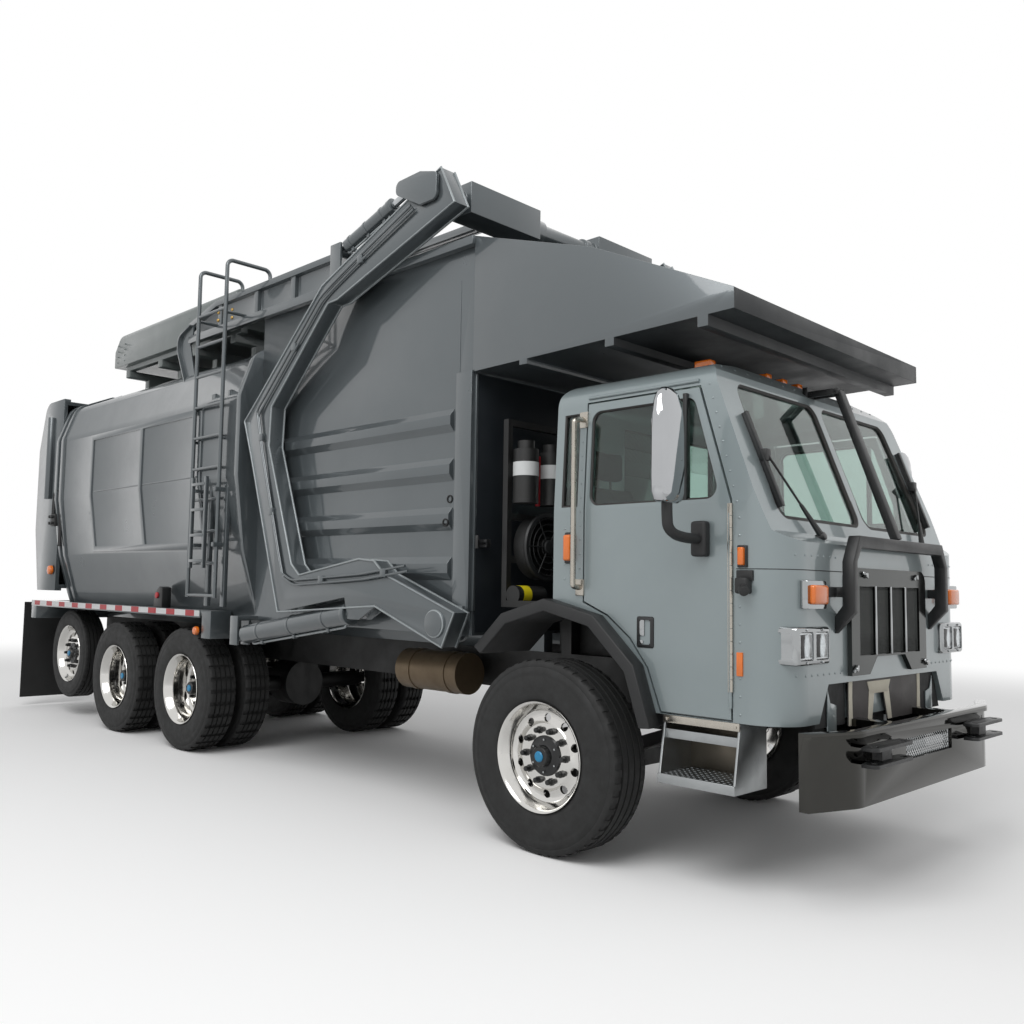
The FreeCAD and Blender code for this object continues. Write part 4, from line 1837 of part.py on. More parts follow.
def cylinder(name, base_x, base_z, slope, barrel_radius, rod_radius, barrel_length, length, eye_radius):
    """A hydraulic cylinder's barrel and rod, laid along X from its base pin and then tilted up."""
    start = "-arm_middle - eye_width / 2"
    bore = rod(name + "_base_bore", "y", "cylinder_pin_radius + seat_gap", 0, f"{start} - overrun", 0,
               "eye_width + 2 * overrun")
    eye = rod(name + "_base_eye", "y", eye_radius, 0, start, 0, "eye_width")
    tube = rod(name + "_tube", "x", barrel_radius, f"1.8 * {eye_radius}", "-arm_middle", 0,
               f"{barrel_length} - 1.8 * {eye_radius}")
    neck = rod(name + "_neck", "x", rod_radius, 0, "-arm_middle", 0, f"2 * {eye_radius}")
    hollow = rod(name + "_hollow", "x", f"{rod_radius} + seat_gap", f"2.5 * {eye_radius}", "-arm_middle", 0,
                 barrel_length)
    barrel_part = cut(name + "_barrel", fuse(name + "_barrel_fused", eye, tube, neck), bore, hollow)
    far = length
    rod_eye = rod(name + "_rod_eye", "y", eye_radius, far, start, 0, "eye_width")
    rod_bore = rod(name + "_rod_bore", "y", "cylinder_pin_radius + seat_gap", far, f"{start} - overrun", 0,
                   "eye_width + 2 * overrun")
    shaft = rod(name + "_shaft", "x", rod_radius, f"3 * {eye_radius}", "-arm_middle", 0,
                f"{length} - 3 * {eye_radius}")
    rod_part = cut(name + "_rod", fuse(name + "_rod_fused", rod_eye, shaft), rod_bore)
    for label, source in ((f"{name}_barrels", barrel_part), (f"{name}_rods", rod_part)):
        tilted = doc.addObject("Part::Compound", label + "_tilted")
        tilted.Links = [both(label + "_pair", source)]
        place(tilted, base_x, 0, base_z, Y_AXIS, f"-({slope})")
        node(label, tilted)


def forks():
    """The fork tube through the arms' tips, with crank plates, box sections and two pointed blades."""
    inner = "arm_inner - crank_gap - crank_plate"
    outer = "arm_outer + crank_gap"
    tube = rod("fork_tube", "y", "fork_tube_radius", "tip_x", "-arm_outer - crank_gap - crank_plate",
               "arm_tip_height", "arm_outer + crank_gap + crank_plate")
    pieces = [tube]
    profile = [
        (behind("fork_lug_behind + fork_eye_radius"), "fork_lug_height - fork_eye_radius"),
        (behind("fork_lug_behind + fork_eye_radius"), "fork_lug_height + fork_eye_radius"),
        (behind("arm_tip_behind + fork_tube_radius"), "arm_tip_height + 2 * fork_tube_radius"),
        (behind("arm_tip_behind - 1.6 * fork_tube_radius"), "arm_tip_height + 1.2 * fork_tube_radius"),
        (behind("arm_tip_behind - 1.6 * fork_tube_radius"), "arm_tip_height - 1.6 * fork_tube_radius"),
        (behind("arm_tip_behind + fork_tube_radius"), "arm_tip_height - 1.6 * fork_tube_radius"),
    ]
    rounds = {index: "fork_eye_radius" for index in (0, 1, 3, 4)}
    for name, near in (("outer", f"-({outer}) - crank_plate"), ("inner", f"-({inner}) - crank_plate")):
        pieces.append(pad(f"crank_{name}", "XZ_Plane", profile, near, f"{near} + crank_plate", rounds))
    box_x = ("tip_x - fork_box_half", "tip_x + fork_box_half")
    pieces.append(box("fork_box", box_x, ("-fork_box_end", "-fork_box_start"),
                      ("arm_tip_height - fork_box_half", "arm_tip_height + fork_box_half")))
    blade_end = "tip_x - fork_blade_length"
    blade_low = "arm_tip_height - fork_blade_thickness / 2"
    blade = [("tip_x", blade_low), ("tip_x", "arm_tip_height + fork_blade_thickness / 2"),
             (f"{blade_end} + fork_blade_point", "arm_tip_height + fork_blade_thickness / 2"),
             (blade_end, f"{blade_low} + fork_blade_thickness / 4"), (blade_end, blade_low)]
    pieces.append(pad("fork_blade", "XZ_Plane", blade, "-fork_blade_side - fork_blade_width / 2",
                      "-fork_blade_side + fork_blade_width / 2"))
    pieces.append(rod("fork_collar", "y", "fork_tube_radius + fork_collar", "tip_x", "-fork_box_start",
                      "arm_tip_height", "fork_box_start - fork_collar_side"))
    gusset = [(box_x[0], "arm_tip_height"),
              ("tip_x - fork_tube_radius", "arm_tip_height + fork_gusset_rise"),
              ("tip_x + fork_tube_radius / 2", "arm_tip_height + fork_gusset_rise"),
              (box_x[1], "arm_tip_height")]
    pieces.append(pad("fork_gusset", "XZ_Plane", gusset, "-fork_gusset_side - fork_gusset_plate",
                      "-fork_gusset_side"))
    right = fuse("forks_right", *pieces)
    node("fork_tube", fuse("forks_fused", right, mirror("forks_left", right)))


def build_all():
    frame_rails()
    front_axle()
    knuckle("right", "-")
    knuckle("left", "")
    drive_axles()
    tag_axle()
    wheel("front", "axle_x", "front_wheel_side", "front_wheel_height", "front_tyre_radius",
          "front_tyre_width", "front_dish", False)
    wheel("drive_front", "drive_front_x", "drive_wheel_side + twin_spacing / 2", "drive_wheel_height",
          "drive_tyre_radius", "drive_tyre_width", "-drive_dish", True)
    wheel("drive_rear", "drive_rear_x", "drive_wheel_side + twin_spacing / 2", "drive_wheel_height",
          "drive_tyre_radius", "drive_tyre_width", "-drive_dish", True)
    wheel("tag", "tag_x", "tag_wheel_side", "tag_wheel_height", "tag_tyre_radius", "tag_tyre_width",
          "tag_dish", False)
    cab()
    grille()
    lamps()
    brush_guard()
    bumper()
    steps()
    fenders()
    cab_inside()
    engine()
    rack()
    air_tanks()
    hopper()
    canopy()
    roof_rails()
    barrel()
    tailgate()
    packer()
    tank_cover()
    ladder()
    rear_deck()
    mud_flaps()
    lift_arms()
    cylinder("lift", behind("lift_base_behind"), "lift_base_height", "lift_slope", "lift_barrel_radius",
             "lift_rod_radius", "lift_length - lift_rod_shown", "lift_length", "lift_eye_radius")
    cylinder("fork", behind("fork_base_behind"), "fork_base_height", "fork_slope", "fork_barrel_radius",
             "fork_rod_radius", "fork_length - fork_rod_shown", "fork_length", "fork_eye_radius")
    forks()


build_all()
doc.recompute()

for thing in doc.Objects:
    if "Invalid" in thing.State or "Error" in thing.State:
        raise RuntimeError(f"{thing.Name} failed: {thing.State}")
os.makedirs("parts", exist_ok=True)
for label, thing in nodes.items():
    if thing.Shape.isNull() or not thing.Shape.isValid():
        raise RuntimeError(f"{label} has no valid shape")
    thing.Shape.exportStep(f"parts/{label}.step")
    bounds = thing.Shape.BoundBox
    print(label, len(thing.Shape.Solids), [round(v) for v in (
        bounds.XMin, bounds.XMax, bounds.YMin, bounds.YMax, bounds.ZMin, bounds.ZMax)])
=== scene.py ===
"""Looks of the front-loading refuse truck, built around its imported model.

Every length is in metres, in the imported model's own frame: +X forward, +Y to the truck's left, +Z up,
with the origin on the ground under the middle of the truck. The sizes of the pieces are written from the
front axle's middle, which `at` turns into that frame. Pieces are made for the right side, at negative Y,
and mirrored.
"""

from __future__ import annotations

import json
import logging
import math
from abc import ABC, abstractmethod
from collections.abc import Callable, Iterable, Iterator, Sequence
from contextlib import contextmanager
from dataclasses import dataclass
from enum import Enum

import bmesh
import bpy
from mathutils import Matrix, Vector
from mathutils.bvhtree import BVHTree

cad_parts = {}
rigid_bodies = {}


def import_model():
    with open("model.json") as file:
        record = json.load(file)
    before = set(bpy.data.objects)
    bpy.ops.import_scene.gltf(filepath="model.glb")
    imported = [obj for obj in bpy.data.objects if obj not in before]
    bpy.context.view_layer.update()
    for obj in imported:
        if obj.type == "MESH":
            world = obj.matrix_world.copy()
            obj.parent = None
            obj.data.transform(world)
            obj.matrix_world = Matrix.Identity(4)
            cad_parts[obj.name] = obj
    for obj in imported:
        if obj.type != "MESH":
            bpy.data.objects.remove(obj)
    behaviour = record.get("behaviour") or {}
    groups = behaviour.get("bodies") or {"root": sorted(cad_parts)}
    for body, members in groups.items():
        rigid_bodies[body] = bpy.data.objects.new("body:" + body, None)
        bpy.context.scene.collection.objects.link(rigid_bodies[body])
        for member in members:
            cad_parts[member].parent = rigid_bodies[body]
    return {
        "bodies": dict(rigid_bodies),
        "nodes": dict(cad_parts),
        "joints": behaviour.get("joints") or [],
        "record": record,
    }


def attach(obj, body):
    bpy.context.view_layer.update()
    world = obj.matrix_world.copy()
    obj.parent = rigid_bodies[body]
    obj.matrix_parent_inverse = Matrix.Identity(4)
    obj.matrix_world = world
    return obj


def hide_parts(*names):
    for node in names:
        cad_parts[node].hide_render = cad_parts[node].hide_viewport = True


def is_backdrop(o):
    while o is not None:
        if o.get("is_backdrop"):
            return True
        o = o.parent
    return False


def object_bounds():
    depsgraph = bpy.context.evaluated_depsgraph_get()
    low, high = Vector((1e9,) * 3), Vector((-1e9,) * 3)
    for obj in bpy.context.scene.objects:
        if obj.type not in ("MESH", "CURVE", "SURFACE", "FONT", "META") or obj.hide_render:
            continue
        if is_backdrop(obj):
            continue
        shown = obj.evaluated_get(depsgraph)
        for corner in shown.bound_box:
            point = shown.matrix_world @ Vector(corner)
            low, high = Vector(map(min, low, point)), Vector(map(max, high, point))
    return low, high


LOG = logging.getLogger("refuse_truck")

Pair = tuple[float, float]
Triple = tuple[float, float, float]
Piece = bpy.types.Object

# Where the front axle's middle lies ahead of the frame's origin.
AXLE_X = 3.090
# Turns a placement on the right side into the one on the left.
MIRROR = Matrix.Scale(-1.0, 4, (0.0, 1.0, 0.0))
ORIGIN = Vector((0.0, 0.0, 0.0))
AHEAD = Vector((1.0, 0.0, 0.0))
LEFT = Vector((0.0, 1.0, 0.0))
UP = Vector((0.0, 0.0, 1.0))


def at(x: float, y: float, z: float) -> Vector:
    """Give a place by its distance ahead of the front axle, left of the middle and above the ground."""
    return Vector((AXLE_X + x, y, z))


def spread(start: float, end: float, count: int) -> list[float]:
    """Give evenly spaced values from a start to an end, both among them."""
    return [start + (end - start) * step / (count - 1) for step in range(count)]


def linear(code: str) -> tuple[float, float, float, float]:
    """Turn a written colour into the linear values that the shaders use.

    Args:
        code: An sRGB colour as six hex digits.

    Returns:
        Linear red, green and blue, with full alpha.
    """
    values = [int(code[place:place + 2], 16) / 255 for place in (0, 2, 4)]
    turned = [value / 12.92 if value <= 0.04045 else ((value + 0.055) / 1.055) ** 2.4 for value in values]
    return (turned[0], turned[1], turned[2], 1.0)


def add_node(
    tree: bpy.types.NodeTree,
    kind: str,
    settings: dict[str, object] | None = None,
    links: dict[str, bpy.types.NodeSocket] | None = None,
) -> bpy.types.Node:
    """Add a node with its settings and what feeds it.

    Args:
        tree: The node tree that takes the node.
        kind: The node's type.
        settings: Values by the name of an input socket, or else of a property.
        links: Output sockets of other nodes by the name of the input they feed.

    Returns:
        The new node.
    """
    node = tree.nodes.new(kind)
    for name, value in (settings or {}).items():
        if name in node.inputs:
            node.inputs[name].default_value = value
        else:
            setattr(node, name, value)
    for name, socket in (links or {}).items():
        tree.links.new(socket, node.inputs[name])
    return node


def per_metre(millimetres: float) -> float:
    """Give the texture scale that makes one cell of a pattern as wide as a real size in millimetres."""
    return 1000.0 / millimetres


# Finishes


@dataclass(frozen=True)
class Finish:
    """A surface finish: two tones that drift over wide patches, a gloss that drifts with them, and a fine grain.

    `patch` and `grain` are real widths in millimetres. A grain under 3 mm is finer than the picture shows and
    only breaks up the highlights.
    """

    name: str
    slot: str
    colour: str
    worn: str
    metallic: float = 0.0
    roughness: float = 0.5
    spread: float = 0.08
    patch: float = 60.0
    grain: float = 2.0
    bump: float = 0.2
    coat: float = 0.0
    coat_roughness: float = 0.05

    def build(self) -> bpy.types.Material:
        """Make the material."""
        material = bpy.data.materials.new(self.name)
        material.use_nodes = True
        tree = material.node_tree
        tree.nodes.clear()
        output = add_node(tree, "ShaderNodeOutputMaterial")
        where = add_node(tree, "ShaderNodeTexCoord").outputs["Object"]
        shader = self.shade(tree, where)
        tree.links.new(shader.outputs[0], output.inputs["Surface"])
        material.diffuse_color = linear(self.colour)
        return material

    def shade(self, tree: bpy.types.NodeTree, where: bpy.types.NodeSocket) -> bpy.types.Node:
        """Build the shader of the surface.

        Args:
            tree: The material's node tree.
            where: The socket that gives the place on the piece.

        Returns:
            The shader node.
        """
        patches = add_node(
            tree, "ShaderNodeTexNoise", {"Scale": per_metre(self.patch), "Detail": 5.0, "Roughness": 0.6},
            {"Vector": where})
        colour = add_node(
            tree, "ShaderNodeMixRGB", {"Color1": linear(self.colour), "Color2": linear(self.worn)},
            {"Fac": patches.outputs["Fac"]})
        rough = add_node(
            tree, "ShaderNodeMapRange",
            {"From Min": 0.3, "From Max": 0.7, "To Min": self.roughness - self.spread,
             "To Max": self.roughness + self.spread},
            {"Value": patches.outputs["Fac"]})
        grain = add_node(
            tree, "ShaderNodeTexNoise", {"Scale": per_metre(self.grain), "Detail": 3.0}, {"Vector": where})
        relief = add_node(
            tree, "ShaderNodeBump", {"Strength": self.bump, "Distance": 0.001}, {"Height": grain.outputs["Fac"]})
        return add_node(
            tree, "ShaderNodeBsdfPrincipled",
            {"Metallic": self.metallic, "Coat Weight": self.coat, "Coat Roughness": self.coat_roughness},
            {"Base Color": colour.outputs["Color"], "Roughness": rough.outputs["Result"],
             "Normal": relief.outputs["Normal"]})


@dataclass(frozen=True)
class Glass(Finish):
    """Clear or tinted glass that light passes through, with a faint film of dust."""

    def shade(self, tree: bpy.types.NodeTree, where: bpy.types.NodeSocket) -> bpy.types.Node:
        """Build the glass shader.

        Args:
            tree: The material's node tree.
            where: The socket that gives the place on the piece.

        Returns:
            The shader node.
        """
        film = add_node(
            tree, "ShaderNodeTexNoise", {"Scale": per_metre(self.patch), "Detail": 4.0}, {"Vector": where})
        rough = add_node(
            tree, "ShaderNodeMapRange",
            {"From Min": 0.35, "From Max": 0.75, "To Min": self.roughness, "To Max": self.roughness + self.spread},
            {"Value": film.outputs["Fac"]})
        return add_node(
            tree, "ShaderNodeBsdfPrincipled",
            {"Base Color": linear(self.colour), "Transmission Weight": 1.0, "IOR": 1.5},
            {"Roughness": rough.outputs["Result"]})


# Sprayed two-stage metallic enamel under clear coat: a soft sage-silver tone beneath sharp reflections.
CAB_ENAMEL = Finish("cab metallic enamel", "cab_paint", "8b9698", "7f8a8c", metallic=0.35, roughness=0.42,
                    spread=0.05, patch=600, grain=1.2, bump=0.04, coat=0.9, coat_roughness=0.04)
# The same kind of enamel, darker, on welded steel plate: a little uneven, with strong light and dark on the ribs.
BODY_ENAMEL = Finish("body metallic enamel", "body_paint", "595f62", "4f5659", metallic=0.45, roughness=0.34,
                     spread=0.07, patch=500, grain=2.5, bump=0.06, coat=0.85)
# Enamel on the thin sheet of the roof cover: chalkier and paler than the body.
COVER_ENAMEL = Finish("cover grey enamel", "cover_paint", "6b7271", "626968", metallic=0.3, roughness=0.45,
                      patch=500, grain=2.5, bump=0.08, coat=0.5, coat_roughness=0.1)
# Brushed-on chassis paint with road film: satin and uneven, and made near black, darker than the paint itself, as
# painted shade under the truck.
CHASSIS_ENAMEL_AND_SHADE = Finish("satin chassis enamel", "chassis_black", "0f1011", "191918", spread=0.12, patch=150,
                        grain=3, bump=0.25)
# Sand-cast iron under thin paint: a pebbled, dull dark grey.
CAST_IRON = Finish("painted cast iron", "engine_grey", "3a3b3b", "2a2a29", metallic=0.2, roughness=0.6,
                   spread=0.12, patch=90, grain=3, bump=0.5)
# Baked powder coat on tube: deep black with a fine orange peel in its highlights.
POWDER_COAT = Finish("black powder coat", "guard_black", "121314", "1a1b1c", roughness=0.42, patch=200, grain=1.5,
                     bump=0.3)
# Enamel on the rack's folded sheet: black, with soft broad highlights.
RACK_COAT = Finish("black rack enamel", "rack_black", "111213", "1c1c1b", spread=0.1, patch=150)
# Metallic bronze enamel on spun tank shells: a warm brown sheen.
TANK_ENAMEL = Finish("bronze tank enamel", "tank_bronze", "7c6a52", "5f513f", metallic=0.5, roughness=0.42,
                     spread=0.1, patch=120, bump=0.15)
# Buffed stainless plate: a dark mirror with faint haze.
POLISHED_STEEL = Finish("mirror polished steel", "polished_steel", "4a4a47", "403f3d", metallic=1, roughness=0.07,
                        spread=0.03, patch=300, grain=6, bump=0.02)
# Plated lamp bezels and bars: crisp bright reflections.
CHROME = Finish("chrome plate", "mirror_chrome", "a7a9aa", "9c9fa0", metallic=1, roughness=0.06, spread=0.03,
                patch=200, grain=6, bump=0.02)
# Black chrome on the grille: a smoky mirror.
DARK_CHROME = Finish("dark grille chrome", "grille_chrome", "4a4c4b", "414342", metallic=1, roughness=0.14,
                     spread=0.04, patch=150, grain=4, bump=0.04)
# Plated mirror shells: the brightest mirror on the cab.
MIRROR_CHROME = Finish("mirror shell chrome", "mirror_chrome", "b4b6b8", "aaacae", metallic=1, roughness=0.05,
                       spread=0.02, patch=200, grain=6, bump=0.02)
# Brushed stainless handles and hinges: a warm grey with blurred highlights.
BRUSHED_STEEL = Finish("brushed stainless steel", "step_aluminium", "b9b4ab", "a39e95", metallic=1, roughness=0.26,
                       spread=0.06, grain=1.5, bump=0.12)
# Injection-moulded polymer: dull black with a pebbled skin.
MOULDED_BLACK = Finish("moulded black polymer", "flare_black", "161718", "1f2021", roughness=0.55, patch=200,
                       grain=1.2, bump=0.35)
# Extruded rubber strip: a soft black line with a low sheen.
GASKET_RUBBER = Finish("extruded gasket rubber", "flap_rubber", "1b1a19", "262422", roughness=0.55, patch=100)
# Sealer squeezed in sheet joints: a flat black line. The same flat black is also painted shade in the notches beside
# the mat.
SEALER_AND_SHADE_BLACK = Finish("black joint sealer and painted shade", "flap_rubber", "0c0d0e", "121314", roughness=0.7, bump=0.3)
# Mill-finish aluminium sheet: pale, scuffed, softly blurred.
TREAD_ALUMINIUM = Finish("mill aluminium", "step_aluminium", "a5a8a9", "8f9293", metallic=1, roughness=0.38,
                         spread=0.1, patch=120, grain=1.5, bump=0.15)
# Forged and polished aluminium wheels: bright, with deep dark reflections in the dish.
FORGED_ALUMINIUM = Finish("polished forged aluminium", "rim_aluminium", "d4d3d0", "c6c4c0", metallic=1,
                          roughness=0.13, spread=0.05, patch=80, grain=3, bump=0.04)
# Hard chrome on ground rods: a clean bright streak.
HARD_CHROME = Finish("hard chrome rod", "rod_chrome", "c2c5c7", "b5b8ba", metallic=1, roughness=0.1, spread=0.03,
                     patch=150, grain=4, bump=0.03)
# Dipped hub enamel: glossy black castings in the bright wheel.
HUB_ENAMEL = Finish("gloss hub enamel", "rim_aluminium", "0f1011", "191a1b", roughness=0.35, bump=0.15)
# Cast resin plug: one clear blue spot on the hub.
CAP_BLUE = Finish("blue oil cap resin", "rim_aluminium", "2a8fc0", "2583b2", roughness=0.3, spread=0.05, patch=30,
                  bump=0.1)
# Cured tyre rubber with road wear: nearly black, dry, dusted grey in patches.
TYRE_RUBBER = Finish("worn tyre rubber", "tyre_rubber", "151617", "1e1e1d", roughness=0.72, spread=0.1, bump=0.5)
# Moulded sheet rubber: flat black flaps with a dry grain.
SHEET_RUBBER = Finish("moulded sheet rubber", "flap_rubber", "131414", "1d1d1d", roughness=0.65, spread=0.1,
                      patch=200, bump=0.4)
# Fabric-backed rubber: a washed-out dark grey mat.
MAT_RUBBER = Finish("woven-backed mat rubber", "flap_rubber", "4a4746", "413e3d", roughness=0.62, patch=150,
                    bump=0.3)
# Sewn canvas binding: a matt cream edge with a coarse thread grain.
BOUND_EDGE = Finish("cream canvas binding", "flap_rubber", "d8d3c4", "c9c3b2", roughness=0.8, spread=0.06,
                    patch=40, grain=1.5, bump=0.4)
# Grained moulded plastic: dull charcoal inside the cab.
DASH_PLASTIC = Finish("grained dash plastic", "dash_plastic", "2a2b2d", "242527", roughness=0.6, spread=0.06,
                      patch=200, grain=1.5, bump=0.4)
# Woven seat cloth: dark, without gloss, with a thread grain.
SEAT_CLOTH = Finish("woven seat cloth", "seat_fabric", "25272b", "2e3034", roughness=0.9, spread=0.05, patch=40,
                    grain=1.5, bump=0.6)
# Enamel scoured by refuse: grey with rubbed, browner patches.
WORN_STEEL = Finish("worn grey enamel on steel", "packer_steel", "57595a", "6f6a62", metallic=0.5, spread=0.15,
                    patch=120, grain=3, bump=0.3)
# Vapour-coated bowls: a bright, slightly hazy lamp ground.
REFLECTOR = Finish("vapour-coated reflector", "lamp_lens", "e4e6e6", "d9dbdb", metallic=1, roughness=0.22,
                   spread=0.04, patch=40, grain=4, bump=0.1)
# Laminated tinted glass: a green-grey pane that shows the cab behind it.
CLEAR_GLASS = Glass("laminated window glass", "clear_glass", "b9cdc6", "b9cdc6", roughness=0.0, spread=0.02,
                    patch=700)
# Pressed lamp glass: clear and colourless.
LENS = Glass("clear lamp lens", "lamp_lens", "f2f5f7", "f2f5f7", roughness=0.02, spread=0.02, patch=80)
# Moulded amber lenses: saturated orange under a gloss.
AMBER = Finish("amber lamp lens", "amber_lens", "ee7d1c", "e0690c", roughness=0.18, spread=0.04, patch=30, grain=3,
               bump=0.15, coat=0.6)
# Moulded red lenses: deep red under a gloss.
TAIL_RED = Finish("red tail lamp lens", "amber_lens", "8e1218", "7c0e14", roughness=0.2, spread=0.04, patch=30,
                  grain=3, bump=0.15, coat=0.6)
# Prismatic tape film: clean white and red stripes, a little shiny.
TAPE_WHITE = Finish("white reflective tape", "cover_paint", "d9dadb", "cfd0d1", roughness=0.4, spread=0.05, grain=3)
TAPE_RED = Finish("red reflective tape", "amber_lens", "b3202a", "a01a24", roughness=0.4, spread=0.05, grain=3)
# Blank film labels: flat white patches.
LABEL_WHITE = Finish("blank white label film", "cover_paint", "d6d8d8", "cbcdcd", spread=0.05, grain=3, bump=0.1)
# Enamel band on the strainer: one flat yellow ring.
BAND_YELLOW = Finish("yellow band enamel", "amber_lens", "d8c81c", "cbbb14", roughness=0.45, spread=0.05, grain=3,
                     bump=0.1)
# Painted shade: a blue-black sheet with a faint sheen, laid on the hopper's front wall behind the cab where that wall
# lies in shade.
WALL_SHADE = Finish("painted wall shade sheet", "rack_black", "1b1f23", "20252a", metallic=0.2, roughness=0.45, spread=0.1,
                    patch=300, bump=0.15)
# Satin enamel on the visor: almost black beside the grey side plates.
CANOPY_BLACK = Finish("dark canopy enamel", "body_paint", "191c1e", "222527", spread=0.1, patch=300, grain=2.5,
                      bump=0.1)
# Painted highlight: a pale body enamel on the arms' edge rims, bosses and lines, standing in for the light that those
# edges catch.
ARM_EDGE_HIGHLIGHT = Finish("painted edge highlight enamel", "body_paint", "7d8486", "a0a6a8", metallic=0.5, roughness=0.35,
                  bump=0.15, coat=0.5, coat_roughness=0.1)
# Anodised riser sheets: a bronze-grey ground behind the bright treads.
RISER_BRONZE = Finish("bronze riser sheet", "step_aluminium", "6f685d", "5e584f", metallic=0.8, roughness=0.4,
                      spread=0.1, patch=120, grain=1.5, bump=0.15)
# Zinc-yellow plated bolts: small brassy dots.
BRASS = Finish("zinc-yellow bolt plating", "rod_chrome", "b8975a", "a3834a", metallic=0.9, roughness=0.35, patch=20,
               bump=0.1)

# Finishes of the carried-over nodes. Tyres and rims are told by their names.
NODE_FINISHES: dict[Finish, str] = {
    CHASSIS_ENAMEL_AND_SHADE: "frame_rails front_axle drive_axles tag_axle knuckle_right knuckle_left",
    CAST_IRON: "engine_block", RACK_COAT: "service_rack", TANK_ENAMEL: "air_tanks", POLISHED_STEEL: "bumper",
    CAB_ENAMEL: "cab_shell door_right door_left", CLEAR_GLASS: "cab_glass door_glass_right door_glass_left",
    DARK_CHROME: "grille", LENS: "headlamps", AMBER: "marker_lamps", POWDER_COAT: "brush_guard",
    MOULDED_BLACK: "fenders", TREAD_ALUMINIUM: "steps", SEAT_CLOTH: "seats",
    DASH_PLASTIC: "dashboard steering_wheel",
    BODY_ENAMEL: "hopper canopy roof_rails barrel_body ladder rear_deck lift_arms fork_tube lift_barrels"
                 " fork_barrels tailgate",
    COVER_ENAMEL: "roof_tank_cover", SHEET_RUBBER: "mud_flaps", MIRROR_CHROME: "mirror_right mirror_left",
    HARD_CHROME: "lift_rods fork_rods", WORN_STEEL: "packer",
}

# Nodes of bent and welded plate whose edges are rounded, with their bodies and the width of the rounding.
SOFTENED: dict[str, tuple[Finish, str, float]] = {
    "lift_arms": (BODY_ENAMEL, "arms", 0.005), "fork_tube": (BODY_ENAMEL, "forks", 0.006),
    "hopper": (BODY_ENAMEL, "root", 0.006), "roof_rails": (BODY_ENAMEL, "root", 0.005),
    "barrel_body": (BODY_ENAMEL, "root", 0.005), "roof_tank_cover": (COVER_ENAMEL, "root", 0.008),
    "rear_deck": (BODY_ENAMEL, "root", 0.004), "tailgate": (BODY_ENAMEL, "tailgate", 0.006),
    "brush_guard": (POWDER_COAT, "root", 0.005), "fenders": (MOULDED_BLACK, "root", 0.006),
    "steps": (TREAD_ALUMINIUM, "root", 0.003),
}
# The part of the canopy that is the dark visor: ahead of this place, and between its side plates.
VISOR_X = 0.268
VISOR_HALF_WIDTH = 1.10


# Modelling


